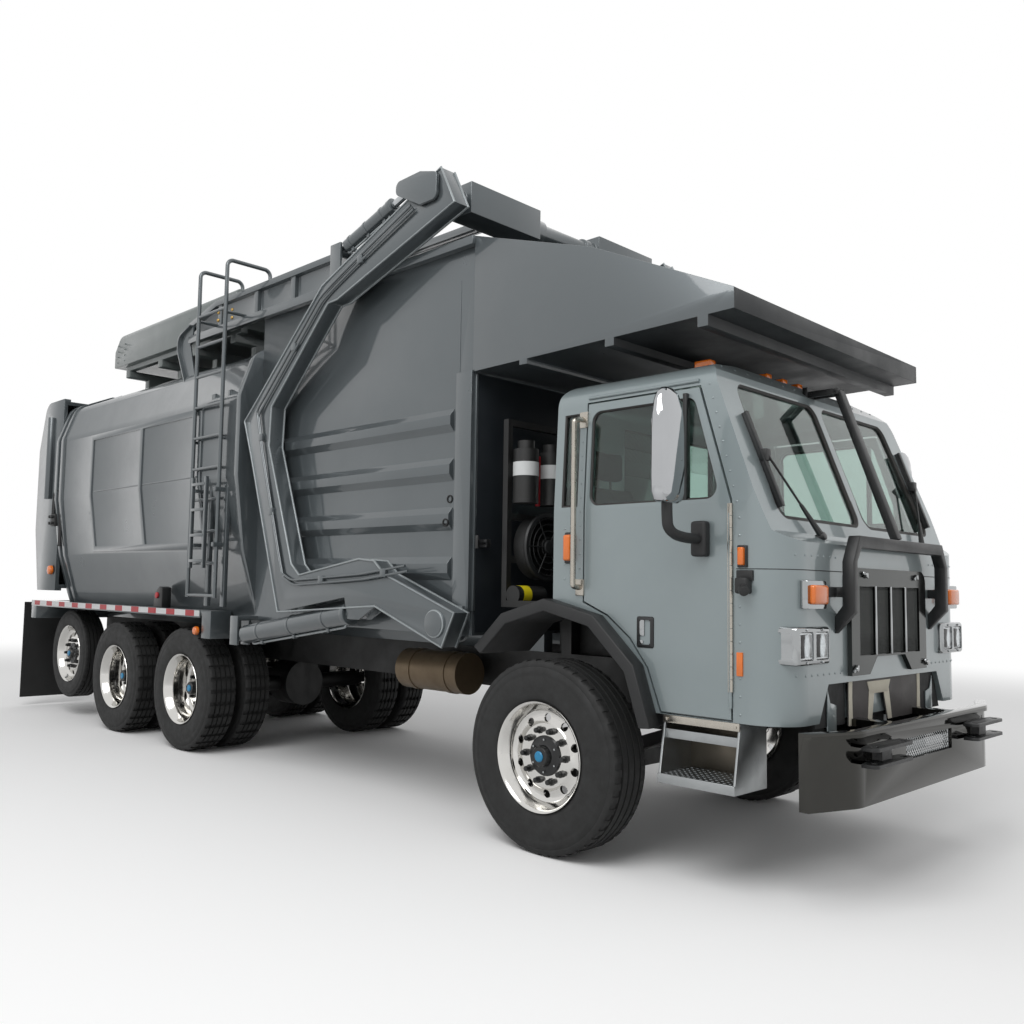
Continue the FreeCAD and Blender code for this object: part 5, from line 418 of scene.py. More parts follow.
class Bench:
    """The modelling tools: each makes or shapes one solid with Blender's own operators."""

    @staticmethod
    def select(*parts: Piece) -> None:
        """Select only these parts, the first of them active."""
        bpy.ops.object.select_all(action="DESELECT")
        for part in parts:
            part.select_set(True)
        bpy.context.view_layer.objects.active = parts[0]

    @classmethod
    @contextmanager
    def editing(cls, part: Piece, mode: str = "FACE") -> Iterator[bmesh.types.BMesh]:
        """Open a part in edit mode with nothing selected, and close it again.

        Args:
            part: The part to edit.
            mode: What is picked: FACE, EDGE or VERT.

        Yields:
            The part's mesh, open for picking.
        """
        cls.select(part)
        bpy.ops.object.mode_set(mode="EDIT")
        bpy.ops.mesh.select_mode(type=mode)
        bpy.ops.mesh.select_all(action="DESELECT")
        yield bmesh.from_edit_mesh(part.data)
        bpy.ops.object.mode_set(mode="OBJECT")

    @staticmethod
    def pick(part: Piece, test: Callable[[Vector, Vector], bool]) -> None:
        """Select the faces that pass a test.

        Args:
            part: The part being edited.
            test: Tells the faces by their middle and normal.
        """
        mesh = bmesh.from_edit_mesh(part.data)
        for face in mesh.faces:
            face.select_set(test(face.calc_center_median(), face.normal))
        bmesh.update_edit_mesh(part.data)

    @staticmethod
    def place_points(part: Piece, points: Sequence[Vector]) -> None:
        """Move the points of a part, and select them all.

        Args:
            part: The part being edited.
            points: Where its points go, in their order.
        """
        mesh = bmesh.from_edit_mesh(part.data)
        mesh.verts.ensure_lookup_table()
        for vertex, point in zip(mesh.verts, points):
            vertex.co = point
        bmesh.update_edit_mesh(part.data)
        bpy.ops.mesh.select_all(action="SELECT")

    @classmethod
    def settle(cls, part: Piece) -> Piece:
        """Put the part's place, turn and size into its mesh."""
        cls.select(part)
        bpy.ops.object.transform_apply(location=True, rotation=True, scale=True)
        return part

    @classmethod
    def bevelled(cls, part: Piece, width: float, segments: int = 2, angle: float = 30.0
                 ) -> Piece:
        """Round a part's sharp edges with an applied modifier.

        Args:
            part: The part to round.
            width: How wide the rounding is.
            segments: Faces across it.
            angle: The least angle, in degrees, that counts as sharp.

        Returns:
            The same part.
        """
        cls.select(part)
        rounding = part.modifiers.new("rounding", "BEVEL")
        rounding.width, rounding.segments = width, segments
        rounding.limit_method, rounding.angle_limit = "ANGLE", math.radians(angle)
        bpy.ops.object.modifier_apply(modifier=rounding.name)
        return part

    @classmethod
    def block(cls, low: Sequence[float], high: Sequence[float], bevel: float = 0.0, segments: int = 2
              ) -> Piece:
        """Make a box between two corners, with its edges rounded.

        Args:
            low: The lowest corner.
            high: The highest corner.
            bevel: How wide the rounding of the edges is.
            segments: Faces across the rounding.

        Returns:
            The box.
        """
        start, end = Vector(low), Vector(high)
        bpy.ops.mesh.primitive_cube_add(size=1.0, location=(start + end) / 2, scale=end - start)
        part = cls.settle(bpy.context.object)
        if bevel:
            with cls.editing(part):
                bpy.ops.mesh.select_all(action="SELECT")
                bpy.ops.mesh.bevel(offset=bevel, segments=segments, affect="EDGES")
        return part

    @classmethod
    def rod(cls, start: Vector, end: Vector, radius: float, tip: float | None = None, sides: int = 20,
            bevel: float = 0.0) -> Piece:
        """Make a round bar or cone between two points.

        Args:
            start: The middle of the first end.
            end: The middle of the other end.
            radius: The radius at the first end.
            tip: The radius at the other end, the same when left out.
            sides: Faces around it.
            bevel: How wide the rounding of the two end edges is.

        Returns:
            The bar.
        """
        axis = end - start
        bpy.ops.mesh.primitive_cone_add(
            vertices=sides, radius1=radius, radius2=radius if tip is None else tip, depth=axis.length,
            location=(start + end) / 2, rotation=axis.to_track_quat("Z", "Y").to_euler())
        part = cls.settle(bpy.context.object)
        if bevel:
            way = axis.normalized()
            with cls.editing(part):
                cls.pick(part, lambda _, normal: abs(normal.dot(way)) > 0.99)
                bpy.ops.mesh.bevel(offset=bevel, segments=2, affect="EDGES")
        return part

    @classmethod
    def plate(cls, outline: Sequence[Vector], depth: Vector, bevel: float = 0.0) -> Piece:
        """Make a plate from its outline.

        Args:
            outline: The corners of one face, in order.
            depth: How far and which way the plate reaches from that face.
            bevel: How wide the rounding of its edges is.

        Returns:
            The plate.
        """
        bpy.ops.mesh.primitive_circle_add(vertices=len(outline), fill_type="NGON")
        part = bpy.context.object
        with cls.editing(part, "VERT"):
            cls.place_points(part, outline)
            bpy.ops.mesh.extrude_region_move(TRANSFORM_OT_translate={"value": depth})
            bpy.ops.mesh.select_all(action="SELECT")
            bpy.ops.mesh.normals_make_consistent(inside=False)
            if bevel:
                bpy.ops.mesh.bevel(offset=bevel, segments=2, affect="EDGES")
        return part

    @classmethod
    def spun(cls, profile: Sequence[Pair], centre: Vector, axis: Vector, steps: int = 48, closed: bool = True
             ) -> Piece:
        """Turn a profile round an axis.

        Args:
            profile: Points as (radius, distance along the axis), in order.
            centre: Where the distances along the axis start.
            axis: The axis, one metre long.
            steps: Faces around it.
            closed: Whether the profile's last point joins its first.

        Returns:
            The turned solid.
        """
        across = axis.orthogonal().normalized()
        bpy.ops.mesh.primitive_circle_add(vertices=len(profile), fill_type="NOTHING")
        part = bpy.context.object
        with cls.editing(part, "VERT") as mesh:
            if not closed:
                mesh.verts.ensure_lookup_table()
                for edge in list(mesh.verts[0].link_edges):
                    if edge.other_vert(mesh.verts[0]) == mesh.verts[len(profile) - 1]:
                        mesh.edges.remove(edge)
            cls.place_points(part, [centre + across * radius + axis * along for radius, along in profile])
            bpy.ops.mesh.spin(steps=steps, angle=math.tau, center=centre, axis=axis)
            bpy.ops.mesh.select_all(action="SELECT")
            bpy.ops.mesh.remove_doubles(threshold=0.00002)
            bpy.ops.mesh.normals_make_consistent(inside=False)
        return part

    @classmethod
    def tube(cls, points: Sequence[Vector], radius: float, round_corners: bool = True, closed: bool = False
             ) -> Piece:
        """Make a bent rigid tube.

        Args:
            points: The corners of its middle line.
            radius: Its outer radius.
            round_corners: Whether it bends smoothly near the corners.
            closed: Whether its end joins its start.

        Returns:
            The tube.
        """
        bpy.ops.curve.primitive_nurbs_path_add()
        part = bpy.context.object
        part.location = (0.0, 0.0, 0.0)
        curve = part.data
        curve.splines.clear()
        spline = curve.splines.new("NURBS" if round_corners else "POLY")
        spline.points.add(len(points) - 1)
        for knot, point in zip(spline.points, points):
            knot.co = (*point, 1.0)
        if round_corners:
            spline.order_u = 3
            spline.use_endpoint_u = True
        spline.use_cyclic_u = closed
        curve.resolution_u = 6
        curve.bevel_depth, curve.bevel_resolution, curve.use_fill_caps = radius, 3, True
        cls.select(part)
        bpy.ops.object.convert(target="MESH")
        return bpy.context.object

    @classmethod
    def dome(cls, radius: float, height: float) -> Piece:
        """Make a small domed head that stands on the ground plane at the origin."""
        profile = [(radius, -height * 0.2), (radius * 0.96, height * 0.35), (radius * 0.62, height * 0.86),
                   (0.0, height)]
        return cls.spun(profile, ORIGIN, UP, 10, closed=False)

    @staticmethod
    def copied(part: Piece, placement: Matrix) -> Piece:
        """Copy a part with its own mesh.

        Args:
            part: The part.
            placement: What the copy's mesh is moved by, which may mirror it.

        Returns:
            The copy.
        """
        twin = part.copy()
        twin.data = part.data.copy()
        twin.data.transform(placement)
        if placement.determinant() < 0:
            twin.data.flip_normals()
        bpy.context.scene.collection.objects.link(twin)
        return twin

    @classmethod
    def repeated(cls, part: Piece, placements: Iterable[Matrix]) -> Piece:
        """Put a copy of a part at every placement, and join the copies in its stead."""
        twins = [cls.copied(part, placement) for placement in placements]
        bpy.data.objects.remove(part)
        return cls.joined(*twins)

    @classmethod
    def mirrored(cls, part: Piece) -> Piece:
        """Copy a part to the truck's other side."""
        return cls.copied(part, MIRROR)

    @classmethod
    def both_sides(cls, part: Piece) -> Piece:
        """Join a part with its mirror image on the other side."""
        return cls.joined(part, cls.mirrored(part))

    @classmethod
    def joined(cls, *parts: Piece) -> Piece:
        """Join parts into one mesh."""
        cls.select(*parts)
        if len(parts) > 1:
            bpy.ops.object.join()
        return parts[0]

    @classmethod
    def made(cls, *shapes: Slab | Bar) -> Piece:
        """Make plain shapes and join them into one mesh."""
        return cls.joined(*[shape.build() for shape in shapes])

    @staticmethod
    def both_spots(spots: Sequence[Matrix]) -> list[Matrix]:
        """Give placements on the right side, and then their mirror images on the left."""
        return [*spots, *(MIRROR @ spot @ MIRROR for spot in spots)]

    @classmethod
    def cut(cls, part: Piece, cutter: Piece) -> Piece:
        """Take one solid out of another.

        Args:
            part: The part that is cut.
            cutter: What is taken out of it. It is removed.

        Returns:
            The cut part.
        """
        cls.select(part)
        hole = part.modifiers.new("hole", "BOOLEAN")
        hole.operation, hole.solver, hole.object = "DIFFERENCE", "EXACT", cutter
        bpy.ops.object.modifier_apply(modifier=hole.name)
        bpy.data.objects.remove(cutter)
        return part

    @classmethod
    def lattice(cls, corner: Vector, across: Vector, up: Vector, cells: tuple[int, int], wire: float
                ) -> Piece:
        """Make a panel of diamond mesh.

        Args:
            corner: One corner of the panel.
            across: From that corner to the next one.
            up: From that corner to the one beside it.
            cells: How many diamonds lie across and up.
            wire: How thick the wire is.

        Returns:
            The panel.
        """
        bpy.ops.mesh.primitive_grid_add(x_subdivisions=cells[0], y_subdivisions=cells[1], size=1.0)
        part = bpy.context.object
        with cls.editing(part, "EDGE"):
            bpy.ops.mesh.select_all(action="SELECT")
            bpy.ops.mesh.poke()
            mesh = bmesh.from_edit_mesh(part.data)
            for edge in mesh.edges:
                run = edge.verts[0].co - edge.verts[1].co
                edge.select_set(not edge.is_boundary and min(abs(run.x), abs(run.y)) < 0.00001)
            bmesh.update_edit_mesh(part.data)
            bpy.ops.mesh.dissolve_edges(use_verts=False)
        frame = Matrix((across, up, across.cross(up).normalized())).transposed().to_4x4()
        part.data.transform(Matrix.Translation(corner + (across + up) / 2) @ frame)
        cls.select(part)
        wires = part.modifiers.new("wires", "WIREFRAME")
        wires.thickness, wires.use_even_offset, wires.use_boundary = wire, False, True
        bpy.ops.object.modifier_apply(modifier=wires.name)
        return part


@dataclass(frozen=True)
class Slab:
    """A box between two corners, each written from the front axle's middle."""

    low: Triple
    high: Triple
    bevel: float = 0.0
    segments: int = 2

    def build(self) -> Piece:
        """Make the box."""
        return Bench.block(at(*self.low), at(*self.high), self.bevel, self.segments)


@dataclass(frozen=True)
class Bar:
    """A round bar between two points, each written from the front axle's middle."""

    start: Triple
    end: Triple
    radius: float
    sides: int = 20
    bevel: float = 0.0

    def build(self) -> Piece:
        """Make the bar."""
        return Bench.rod(at(*self.start), at(*self.end), self.radius, sides=self.sides, bevel=self.bevel)


class Side(Enum):
    """A side of the truck, by the word in the names of its bodies and pieces."""

    RIGHT = "right"
    LEFT = "left"


class Shop:
    """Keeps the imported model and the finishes, and hands both out."""

    def __init__(self) -> None:
        """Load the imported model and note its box."""
        self.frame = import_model()
        self.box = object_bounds()
        self.made: dict[Finish, bpy.types.Material] = {}
        self.skins: dict[str, BVHTree] = {}
        bpy.ops.object.select_all(action="DESELECT")

    def material(self, finish: Finish) -> bpy.types.Material:
        """Give the material of a finish, made on first use.

        Args:
            finish: The finish that is wanted.

        Returns:
            Its one material.
        """
        if finish not in self.made:
            self.made[finish] = finish.build()
        return self.made[finish]

    def dress_nodes(self) -> None:
        """Give every carried-over node its real finish."""
        finishes = {name: finish for finish, names in NODE_FINISHES.items() for name in names.split()}
        for name, thing in self.frame["nodes"].items():
            wheel_finish = TYRE_RUBBER if name.startswith("tyre") else FORGED_ALUMINIUM
            finish = finishes.get(name, wheel_finish)
            thing.data.materials.clear()
            thing.data.materials.append(self.material(finish))
            LOG.info("dressed %s in %s", name, finish.name)

    def finish(self, part: Piece, name: str, finish: Finish, body: str = "root",
               replaces: Sequence[str] = (), smooth: float = 35.0) -> Piece:
        """Dress a finished piece and hang it on the body that it moves with.

        Args:
            part: The piece.
            name: Its name.
            finish: What it is made of.
            body: The body that it rides on.
            replaces: The carried-over nodes that it stands for.
            smooth: The angle, in degrees, below which its faces shade smoothly.

        Returns:
            The same piece.
        """
        part.name = part.data.name = name
        part.data.materials.clear()
        part.data.materials.append(self.material(finish))
        Bench.select(part)
        bpy.ops.object.shade_smooth_by_angle(angle=math.radians(smooth))
        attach(part, body)
        if replaces:
            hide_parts(*replaces)
        LOG.info("made %s", name)
        return part

    def both(self, part: Piece, name: str, finish: Finish, body: str = "root",
             replaces: Sequence[str] = ()) -> Piece:
        """Dress a part of the right side and its mirror image as one piece."""
        return self.finish(Bench.both_sides(part), name, finish, body, replaces)

    def pair(self, part: Piece, name: str, finish: Finish, body: str, replaces: str | None = None,
             smooth: float = 35.0) -> None:
        """Dress a piece of the right side and its mirror image, each on a body of its own side.

        Args:
            part: The right side's piece.
            name: The two names, with {} in place of the side.
            finish: What both are made of.
            body: The two bodies, written in the same way.
            replaces: The two nodes that they stand for, written in the same way, if any.
            smooth: The angle, in degrees, below which their faces shade smoothly.
        """
        for side, piece in zip(Side, (part, Bench.mirrored(part))):
            word = side.value
            nodes = (replaces.format(word),) if replaces else ()
            self.finish(piece, name.format(word), finish, body.format(word), nodes, smooth)

    def seat(self, node: str, start: Vector, direction: Vector) -> Matrix:
        """Find where a line meets the skin of a carried-over node.

        Args:
            node: The node.
            start: Where the line starts, clear of the node.
            direction: Which way it goes.

        Returns:
            A placement at that spot whose Z axis leaves the skin.
        """
        if node not in self.skins:
            mesh = self.frame["nodes"][node].data
            corners = [tuple(vertex.co) for vertex in mesh.vertices]
            self.skins[node] = BVHTree.FromPolygons(corners, [tuple(face.vertices) for face in mesh.polygons])
        place, normal, _, _ = self.skins[node].ray_cast(start, direction)
        if place is None:
            raise ValueError(f"no skin of {node} from {tuple(start)} towards {tuple(direction)}")
        return Matrix.Translation(place) @ normal.to_track_quat("Z", "Y").to_matrix().to_4x4()

    def side_seat(self, node: str, x: float, z: float) -> Matrix:
        """Find a spot on the right side of a node."""
        return self.seat(node, at(x, -3.0, z), LEFT)

    def front_seat(self, node: str, y: float, z: float) -> Matrix:
        """Find a spot on the front of a node."""
        return self.seat(node, at(4.0, y, z), -AHEAD)

    def rear_seat(self, node: str, y: float, z: float) -> Matrix:
        """Find a spot on the back of a node."""
        return self.seat(node, at(-12.0, y, z), AHEAD)

    def copy_of(self, node: str) -> Piece:
        """Copy a carried-over node as one closed mesh whose flat faces are whole.

        Args:
            node: The node.

        Returns:
            The copy.
        """
        part = Bench.copied(self.frame["nodes"][node], Matrix.Identity(4))
        part.parent = None
        for key in list(part.keys()):
            del part[key]
        with Bench.editing(part, "VERT"):
            bpy.ops.mesh.select_all(action="SELECT")
            bpy.ops.mesh.remove_doubles(threshold=0.00002)
            bpy.ops.mesh.dissolve_limited(angle_limit=math.radians(0.5))
        return part

    def tint(self, part: Piece, finish: Finish, test: Callable[[Vector], bool]) -> None:
        """Give some faces of a dressed piece a second finish.

        Args:
            part: The piece.
            finish: The second finish.
            test: Tells those faces by their middle.
        """
        part.data.materials.append(self.material(finish))
        for face in part.data.polygons:
            if test(face.center):
                face.material_index = 1

    def soften(self, node: str, finish: Finish, body: str, width: float) -> Piece:
        """Stand a copy with rounded edges in for a node whose edges are sharp."""
        part = Bench.bevelled(self.copy_of(node), width)
        return self.finish(part, f"{node}_plates", finish, body, (node,))


@dataclass
class Assembly(ABC):
    """A group of pieces that is built as one."""

    shop: Shop

    @abstractmethod
    def build(self) -> None:
        """Build the pieces and hand them to the shop."""


# Wheels


class Tread(Enum):
    """How a tyre's tread is cut across: one face in so many, and how deep."""

    RIB = (2, 0.005)
    LUG = (3, 0.012)


@dataclass(frozen=True)
class WheelSize:
    """What differs from one wheel end to the next. Planes are given by their distance from the truck's middle."""

    name: str
    x: float
    z: float
    tyres: tuple[float, ...]
    radius: float
    half_width: float
    flange: float
    disc: float
    tread: Tread
    hub_reach: float


WHEEL_SIZES = (
    WheelSize("front", 0.0, 0.527, (1.075,), 0.527, 0.1525, 1.221, 1.148, Tread.RIB, 0.055),
    WheelSize("drive_front", -4.151, 0.523, (1.058, 0.728), 0.523, 0.135, 1.190, 0.989, Tread.LUG, 0.11),
    WheelSize("drive_rear", -5.493, 0.523, (1.058, 0.728), 0.523, 0.135, 1.190, 0.989, Tread.LUG, 0.11),
    WheelSize("tag", -6.858, 0.655, (0.980,), 0.463, 0.1225, 1.097, 1.041, Tread.RIB, 0.045),
)

# A tyre's wall from bead to shoulder, as shares of its half width and of its height above the bead.
TYRE_WALL = ((0.78, 0.0), (0.85, 0.03), (0.90, 0.10), (0.93, 0.12), (0.955, 0.22), (0.99, 0.36), (1.0, 0.48),
             (0.985, 0.62), (0.965, 0.68), (0.975, 0.70), (0.95, 0.76), (0.92, 0.82), (0.90, 0.84), (0.91, 0.87),
             (0.885, 0.92), (0.85, 0.965), (0.79, 0.99))


@dataclass
class Wheel(Assembly):
    """One wheel end on the right side, and its twin on the left."""

    size: WheelSize
    bead: float = 0.286
    grooves: tuple[float, ...] = (0.5, 0.17, -0.17, -0.5)
    groove_depth: float = 0.014
    shoulder: float = 0.74
    hub: float = 0.11
    nut_ring: float = 0.1425
    hole_ring: float = 0.207
    hole: float = 0.0235
    bolt_ring: float = 0.088
    count: int = 10
    steps: int = 96

    def build(self) -> None:
        """Build the wheel and its twin."""
        name = self.size.name
        pieces = (
            ("tyre", TYRE_RUBBER, Bench.joined(*[self.tyre(y) for y in self.size.tyres])),
            ("rim", FORGED_ALUMINIUM, self.rim()), ("hub", HUB_ENAMEL, self.hub_cover()),
            ("bolts", CHROME, self.hub_bolts()), ("cap", CAP_BLUE, self.cap()))
        for kind, finish, part in pieces:
            replaces = f"{kind}_{name}_{{}}" if kind in ("tyre", "rim") else None
            self.shop.pair(part, f"{kind}_{name}_{{}}_piece", finish, f"wheel_{name}_{{}}", replaces)

    def turned(self, profile: Sequence[Pair], y: float, closed: bool = True, steps: int = 0) -> Piece:
        """Turn a profile round the axle, its distances measured outwards from a plane beside the middle."""
        return Bench.spun(profile, at(self.size.x, -y, self.size.z), -LEFT, steps or self.steps, closed)

    def tyre(self, y: float) -> Piece:
        """Make one tyre with ribs, grooves and cross cuts in its tread.

        Args:
            y: How far its middle plane lies from the truck's middle.

        Returns:
            The tyre.
        """
        size = self.size
        high = size.radius - self.bead
        floor = 1.0 - self.groove_depth / high
        tread = [(self.shoulder, 1.0)]
        for groove in self.grooves:
            tread += [(groove + 0.045, 1.0), (groove + 0.03, floor), (groove - 0.03, floor), (groove - 0.045, 1.0)]
        tread.append((-self.shoulder, 1.0))
        shares = [*TYRE_WALL, *tread, *((-wide, rise) for wide, rise in reversed(TYRE_WALL))]
        part = self.turned([(self.bead + rise * high, wide * size.half_width) for wide, rise in shares], y)
        middle = at(size.x, -y, size.z)
        pitch, depth = size.tread.value

        def crosses(place: Vector, _: Vector) -> bool:
            """Tell the tread faces that the cross cuts take."""
            away = place - middle
            step = int(math.atan2(away.z, away.x) / math.tau * self.steps + self.steps)
            share = abs(away.y) / size.half_width
            on_tread = math.hypot(away.x, away.z) > size.radius - 0.006
            return on_tread and step % pitch == 0 and (share > 0.56 or (size.tread is Tread.LUG and share < 0.44))

        with Bench.editing(part):
            Bench.pick(part, crosses)
            bpy.ops.mesh.extrude_region_shrink_fatten(TRANSFORM_OT_shrink_fatten={"value": -depth})
        return part

    def rim(self) -> Piece:
        """Make the polished rims: lip, barrel and a dished disc with hand holes."""
        parts = []
        for y in self.size.tyres:
            out = self.size.flange - self.size.tyres[0] + y
            inner = 2 * (out - y)
            loop = [(0.2985, 0.0), (0.301, -0.004), (0.2985, -0.010), (0.2875, -0.014), (0.287, -0.036),
                    (0.268, -0.050), (0.262, -inner + 0.05), (0.287, -inner + 0.036), (0.287, -inner + 0.014),
                    (0.2985, -inner + 0.010), (0.301, -inner + 0.004), (0.2985, -inner),
                    (0.290, -inner + 0.004), (0.280, -inner + 0.03), (0.254, -inner + 0.06), (0.250, -0.075),
                    (0.256, -0.055), (0.274, -0.034), (0.281, -0.016), (0.290, -0.005)]
            parts.append(self.turned(loop, out))
        face, bore = self.size.disc, self.hub - 0.01
        disc = [(bore, 0.0), (0.176, 0.0), (0.184, -0.006), (0.192, -0.010), (0.226, -0.018), (0.243, -0.012),
                (0.256, 0.004), (0.262, -0.012), (0.240, -0.034), (0.190, -0.026), (bore, -0.014)]
        start, end = self.on_ring(self.hole_ring, face + 0.05), self.on_ring(self.hole_ring, face - 0.08)
        plate = Bench.cut(self.turned(disc, face), self.ring(Bench.rod(start, end, self.hole, sides=24)))
        return Bench.joined(*parts, plate)

    def on_ring(self, ring: float, y: float) -> Vector:
        """Give the top of a ring round the axle, in a plane so far from the truck's middle."""
        return at(self.size.x, -y, self.size.z + ring)

    def ring(self, part: Piece, count: int = 0, offset: float = 0.0) -> Piece:
        """Copy a part evenly round the axle.

        Args:
            part: The part, which the copies stand in for.
            count: How many copies, the wheel's own number when nought.
            offset: By what share of their spacing they are turned.

        Returns:
            The joined copies.
        """
        number = count or self.count
        hub = at(self.size.x, 0.0, self.size.z)
        return Bench.repeated(part, [
            Matrix.Translation(hub) @ Matrix.Rotation(math.tau * (step + offset) / number, 4, "Y")
            @ Matrix.Translation(-hub) for step in range(number)])

    def hub_cover(self) -> Piece:
        """Make the black hub and the capped wheel nuts."""
        reach, face = self.size.hub_reach, self.size.disc
        profile = [(self.hub, -0.02), (self.hub, 0.006), (self.hub - 0.004, 0.010), (0.070, 0.012),
                   (0.060, 0.018), (0.055, reach - 0.006), (0.050, reach), (0.0, reach)]
        hub = self.turned(profile, face, closed=False, steps=40)
        foot = self.on_ring(self.nut_ring, face - 0.004)
        base = Bench.rod(foot, self.on_ring(self.nut_ring, face + 0.014), 0.0205, sides=6, bevel=0.002)
        cap = Bench.rod(foot, self.on_ring(self.nut_ring, face + 0.040), 0.0165, tip=0.014, sides=14, bevel=0.004)
        return Bench.joined(hub, self.ring(Bench.joined(base, cap), offset=0.5))

    def hub_bolts(self) -> Piece:
        """Make the small bright bolts round the hub."""
        start, end = (self.on_ring(self.bolt_ring, self.size.disc + rise) for rise in (0.0, 0.018))
        return self.ring(Bench.rod(start, end, 0.006, sides=6), 6)

    def cap(self) -> Piece:
        """Make the coloured plug in the middle of the hub."""
        profile = [(0.029, 0.0), (0.029, 0.006), (0.024, 0.010), (0.0, 0.011)]
        return self.turned(profile, self.size.disc + self.size.hub_reach - 0.002, closed=False, steps=24)


# Cab


@dataclass
class CabSkin(Assembly):
    """Rivets, seams, gaskets, wipers, small lamps, handles and hinges on the cab's skin."""

    rivet: Pair = (0.0062, 0.0035)
    side_rows: tuple[tuple[Pair, Pair, int], ...] = (
        ((1.163, 0.87), (1.163, 1.80), 12), ((1.150, 1.88), (0.985, 2.48), 9), ((0.190, 1.56), (0.190, 2.34), 11))
    corner_rivets: tuple[Pair, ...] = ((0.082, 1.50), (0.082, 1.58), (0.082, 1.68), (0.082, 1.78))
    front_rows: tuple[tuple[Pair, float, int], ...] = (
        ((0.60, 0.98), 1.625, 7), ((0.56, 0.98), 1.060, 8), ((0.12, 0.90), 2.605, 7))
    seam_height: float = 1.556
    seam: float = 0.0022
    gasket: float = 0.017
    door_gasket: float = 0.011
    cowl: Pair = (1.310, 1.740)
    brow: Pair = (1.000, 2.560)
    grab_x: float = 0.195
    grab_y: float = -1.165
    grab_heights: Pair = (1.455, 2.385)
    side_lamps: tuple[Slab, ...] = (
        Slab((1.166, -1.132, 1.572), (1.196, -1.085, 1.658), 0.007, 3),
        Slab((0.095, -1.138, 1.600), (0.145, -1.085, 1.745), 0.012, 3),
        Slab((1.147, -1.108, 1.050), (1.179, -1.085, 1.162), 0.003))
    lamp_bases: tuple[Slab, ...] = (
        Slab((1.156, -1.112, 1.562), (1.206, -1.085, 1.668), 0.004),
        Slab((0.086, -1.112, 1.585), (0.154, -1.085, 1.760), 0.008))
    socket: tuple[Slab | Bar, ...] = (
        Slab((1.150, -1.112, 1.500), (1.235, -1.085, 1.550), 0.004),
        Slab((1.160, -1.150, 1.438), (1.225, -1.085, 1.515), 0.012, 3),
        Bar((1.205, -1.150, 1.462), (1.230, -1.175, 1.448), 0.024, sides=16, bevel=0.004))
    hinge_heights: Pair = (0.972, 1.812)
    hinge_leaf: Slab = Slab((1.100, -1.104, 0.970), (1.119, -1.098, 1.872), 0.001)
    handle_cup: Slab = Slab((0.573, -1.108, 1.151), (0.678, -1.09, 1.312), 0.012, 3)
    handle_lever: tuple[Slab | Bar, ...] = (
        Slab((0.588, -1.107, 1.212), (0.622, -1.094, 1.297), 0.004),
        Bar((0.604, -1.090, 1.182), (0.604, -1.106, 1.182), 0.011, sides=16, bevel=0.002))
    vent_divider: Slab = Slab((0.845, -1.098, 1.885), (0.868, -1.060, 2.445), 0.003)

    def build(self) -> None:
        """Build the skin's details."""
        self.add_rivets()
        self.add_seam()
        self.add_gaskets()
        self.add_wipers()
        self.shop.both(Bench.made(*self.side_lamps), "side_lamps", AMBER)
        self.shop.both(Bench.made(*self.lamp_bases), "lamp_bases", POWDER_COAT)
        self.shop.finish(Bench.made(*self.socket), "start_socket", MOULDED_BLACK)
        self.add_grab_handles()
        self.add_doors()

    def add_rivets(self) -> None:
        """Set the rows of rivets on the sides, the pillars and the front."""
        spots: list[Matrix] = []
        for (x, z), (end_x, end_z), count in self.side_rows:
            spots += [self.shop.side_seat("cab_shell", *place)
                      for place in zip(spread(x, end_x, count), spread(z, end_z, count))]
        spots += [self.shop.side_seat("cab_shell", x, z) for x, z in self.corner_rivets]
        for (near, far), height, count in self.front_rows:
            spots += [self.shop.front_seat("cab_shell", -across, height) for across in spread(near, far, count)]
        rivets = Bench.repeated(Bench.dome(*self.rivet), Bench.both_spots(spots))
        self.shop.finish(rivets, "cab_rivets", CAB_ENAMEL)

    def skin_line(self, height: float, inner: float) -> list[Vector]:
        """Follow the cab's skin at one height, from the door round the corner to the grille.

        Args:
            height: The height.
            inner: How far from the middle the line ends.

        Returns:
            Points on the skin.
        """
        shop = self.shop
        points = [shop.side_seat("cab_shell", x, height).translation for x in spread(1.145, 1.20, 3)]
        for turn in spread(6.0, 84.0, 9):
            way = Vector((math.sin(math.radians(turn)), -math.cos(math.radians(turn)), 0.0))
            corner = at(1.20, -0.90, height)
            points.append(shop.seat("cab_shell", corner + way * 1.5, -way).translation)
        return points + [shop.front_seat("cab_shell", -across, height).translation
                         for across in spread(0.88, inner, 5)]

    def add_seam(self) -> None:
        """Run the dark sheet joint across the front below the windscreen."""
        seam = Bench.tube(self.skin_line(self.seam_height, 0.50), self.seam, round_corners=False)
        self.shop.both(seam, "front_seam", SEALER_AND_SHADE_BLACK)

    def gasket_of(self, node: str, test: Callable[[Vector, Vector], bool], radius: float) -> Piece:
        """Make the rubber strip that holds panes in their openings.

        Args:
            node: The node of the panes.
            test: Tells the panes' outer faces by their middle and normal.
            radius: The strip's radius.

        Returns:
            The strip.
        """
        part = self.shop.copy_of(node)
        with Bench.editing(part):
            Bench.pick(part, test)
            bpy.ops.mesh.region_to_loop()
            bpy.ops.mesh.select_mode(type="EDGE")
            bpy.ops.mesh.select_all(action="INVERT")
            bpy.ops.mesh.delete(type="EDGE_FACE")
        with Bench.editing(part, "VERT") as mesh:
            for vertex in mesh.verts:
                vertex.select_set(not vertex.link_edges)
            bmesh.update_edit_mesh(part.data)
            bpy.ops.mesh.delete(type="VERT")
        Bench.select(part)
        bpy.ops.object.convert(target="CURVE")
        strip = bpy.context.object
        strip.data.bevel_depth, strip.data.bevel_resolution = radius, 2
        Bench.select(strip)
        bpy.ops.object.convert(target="MESH")
        return bpy.context.object

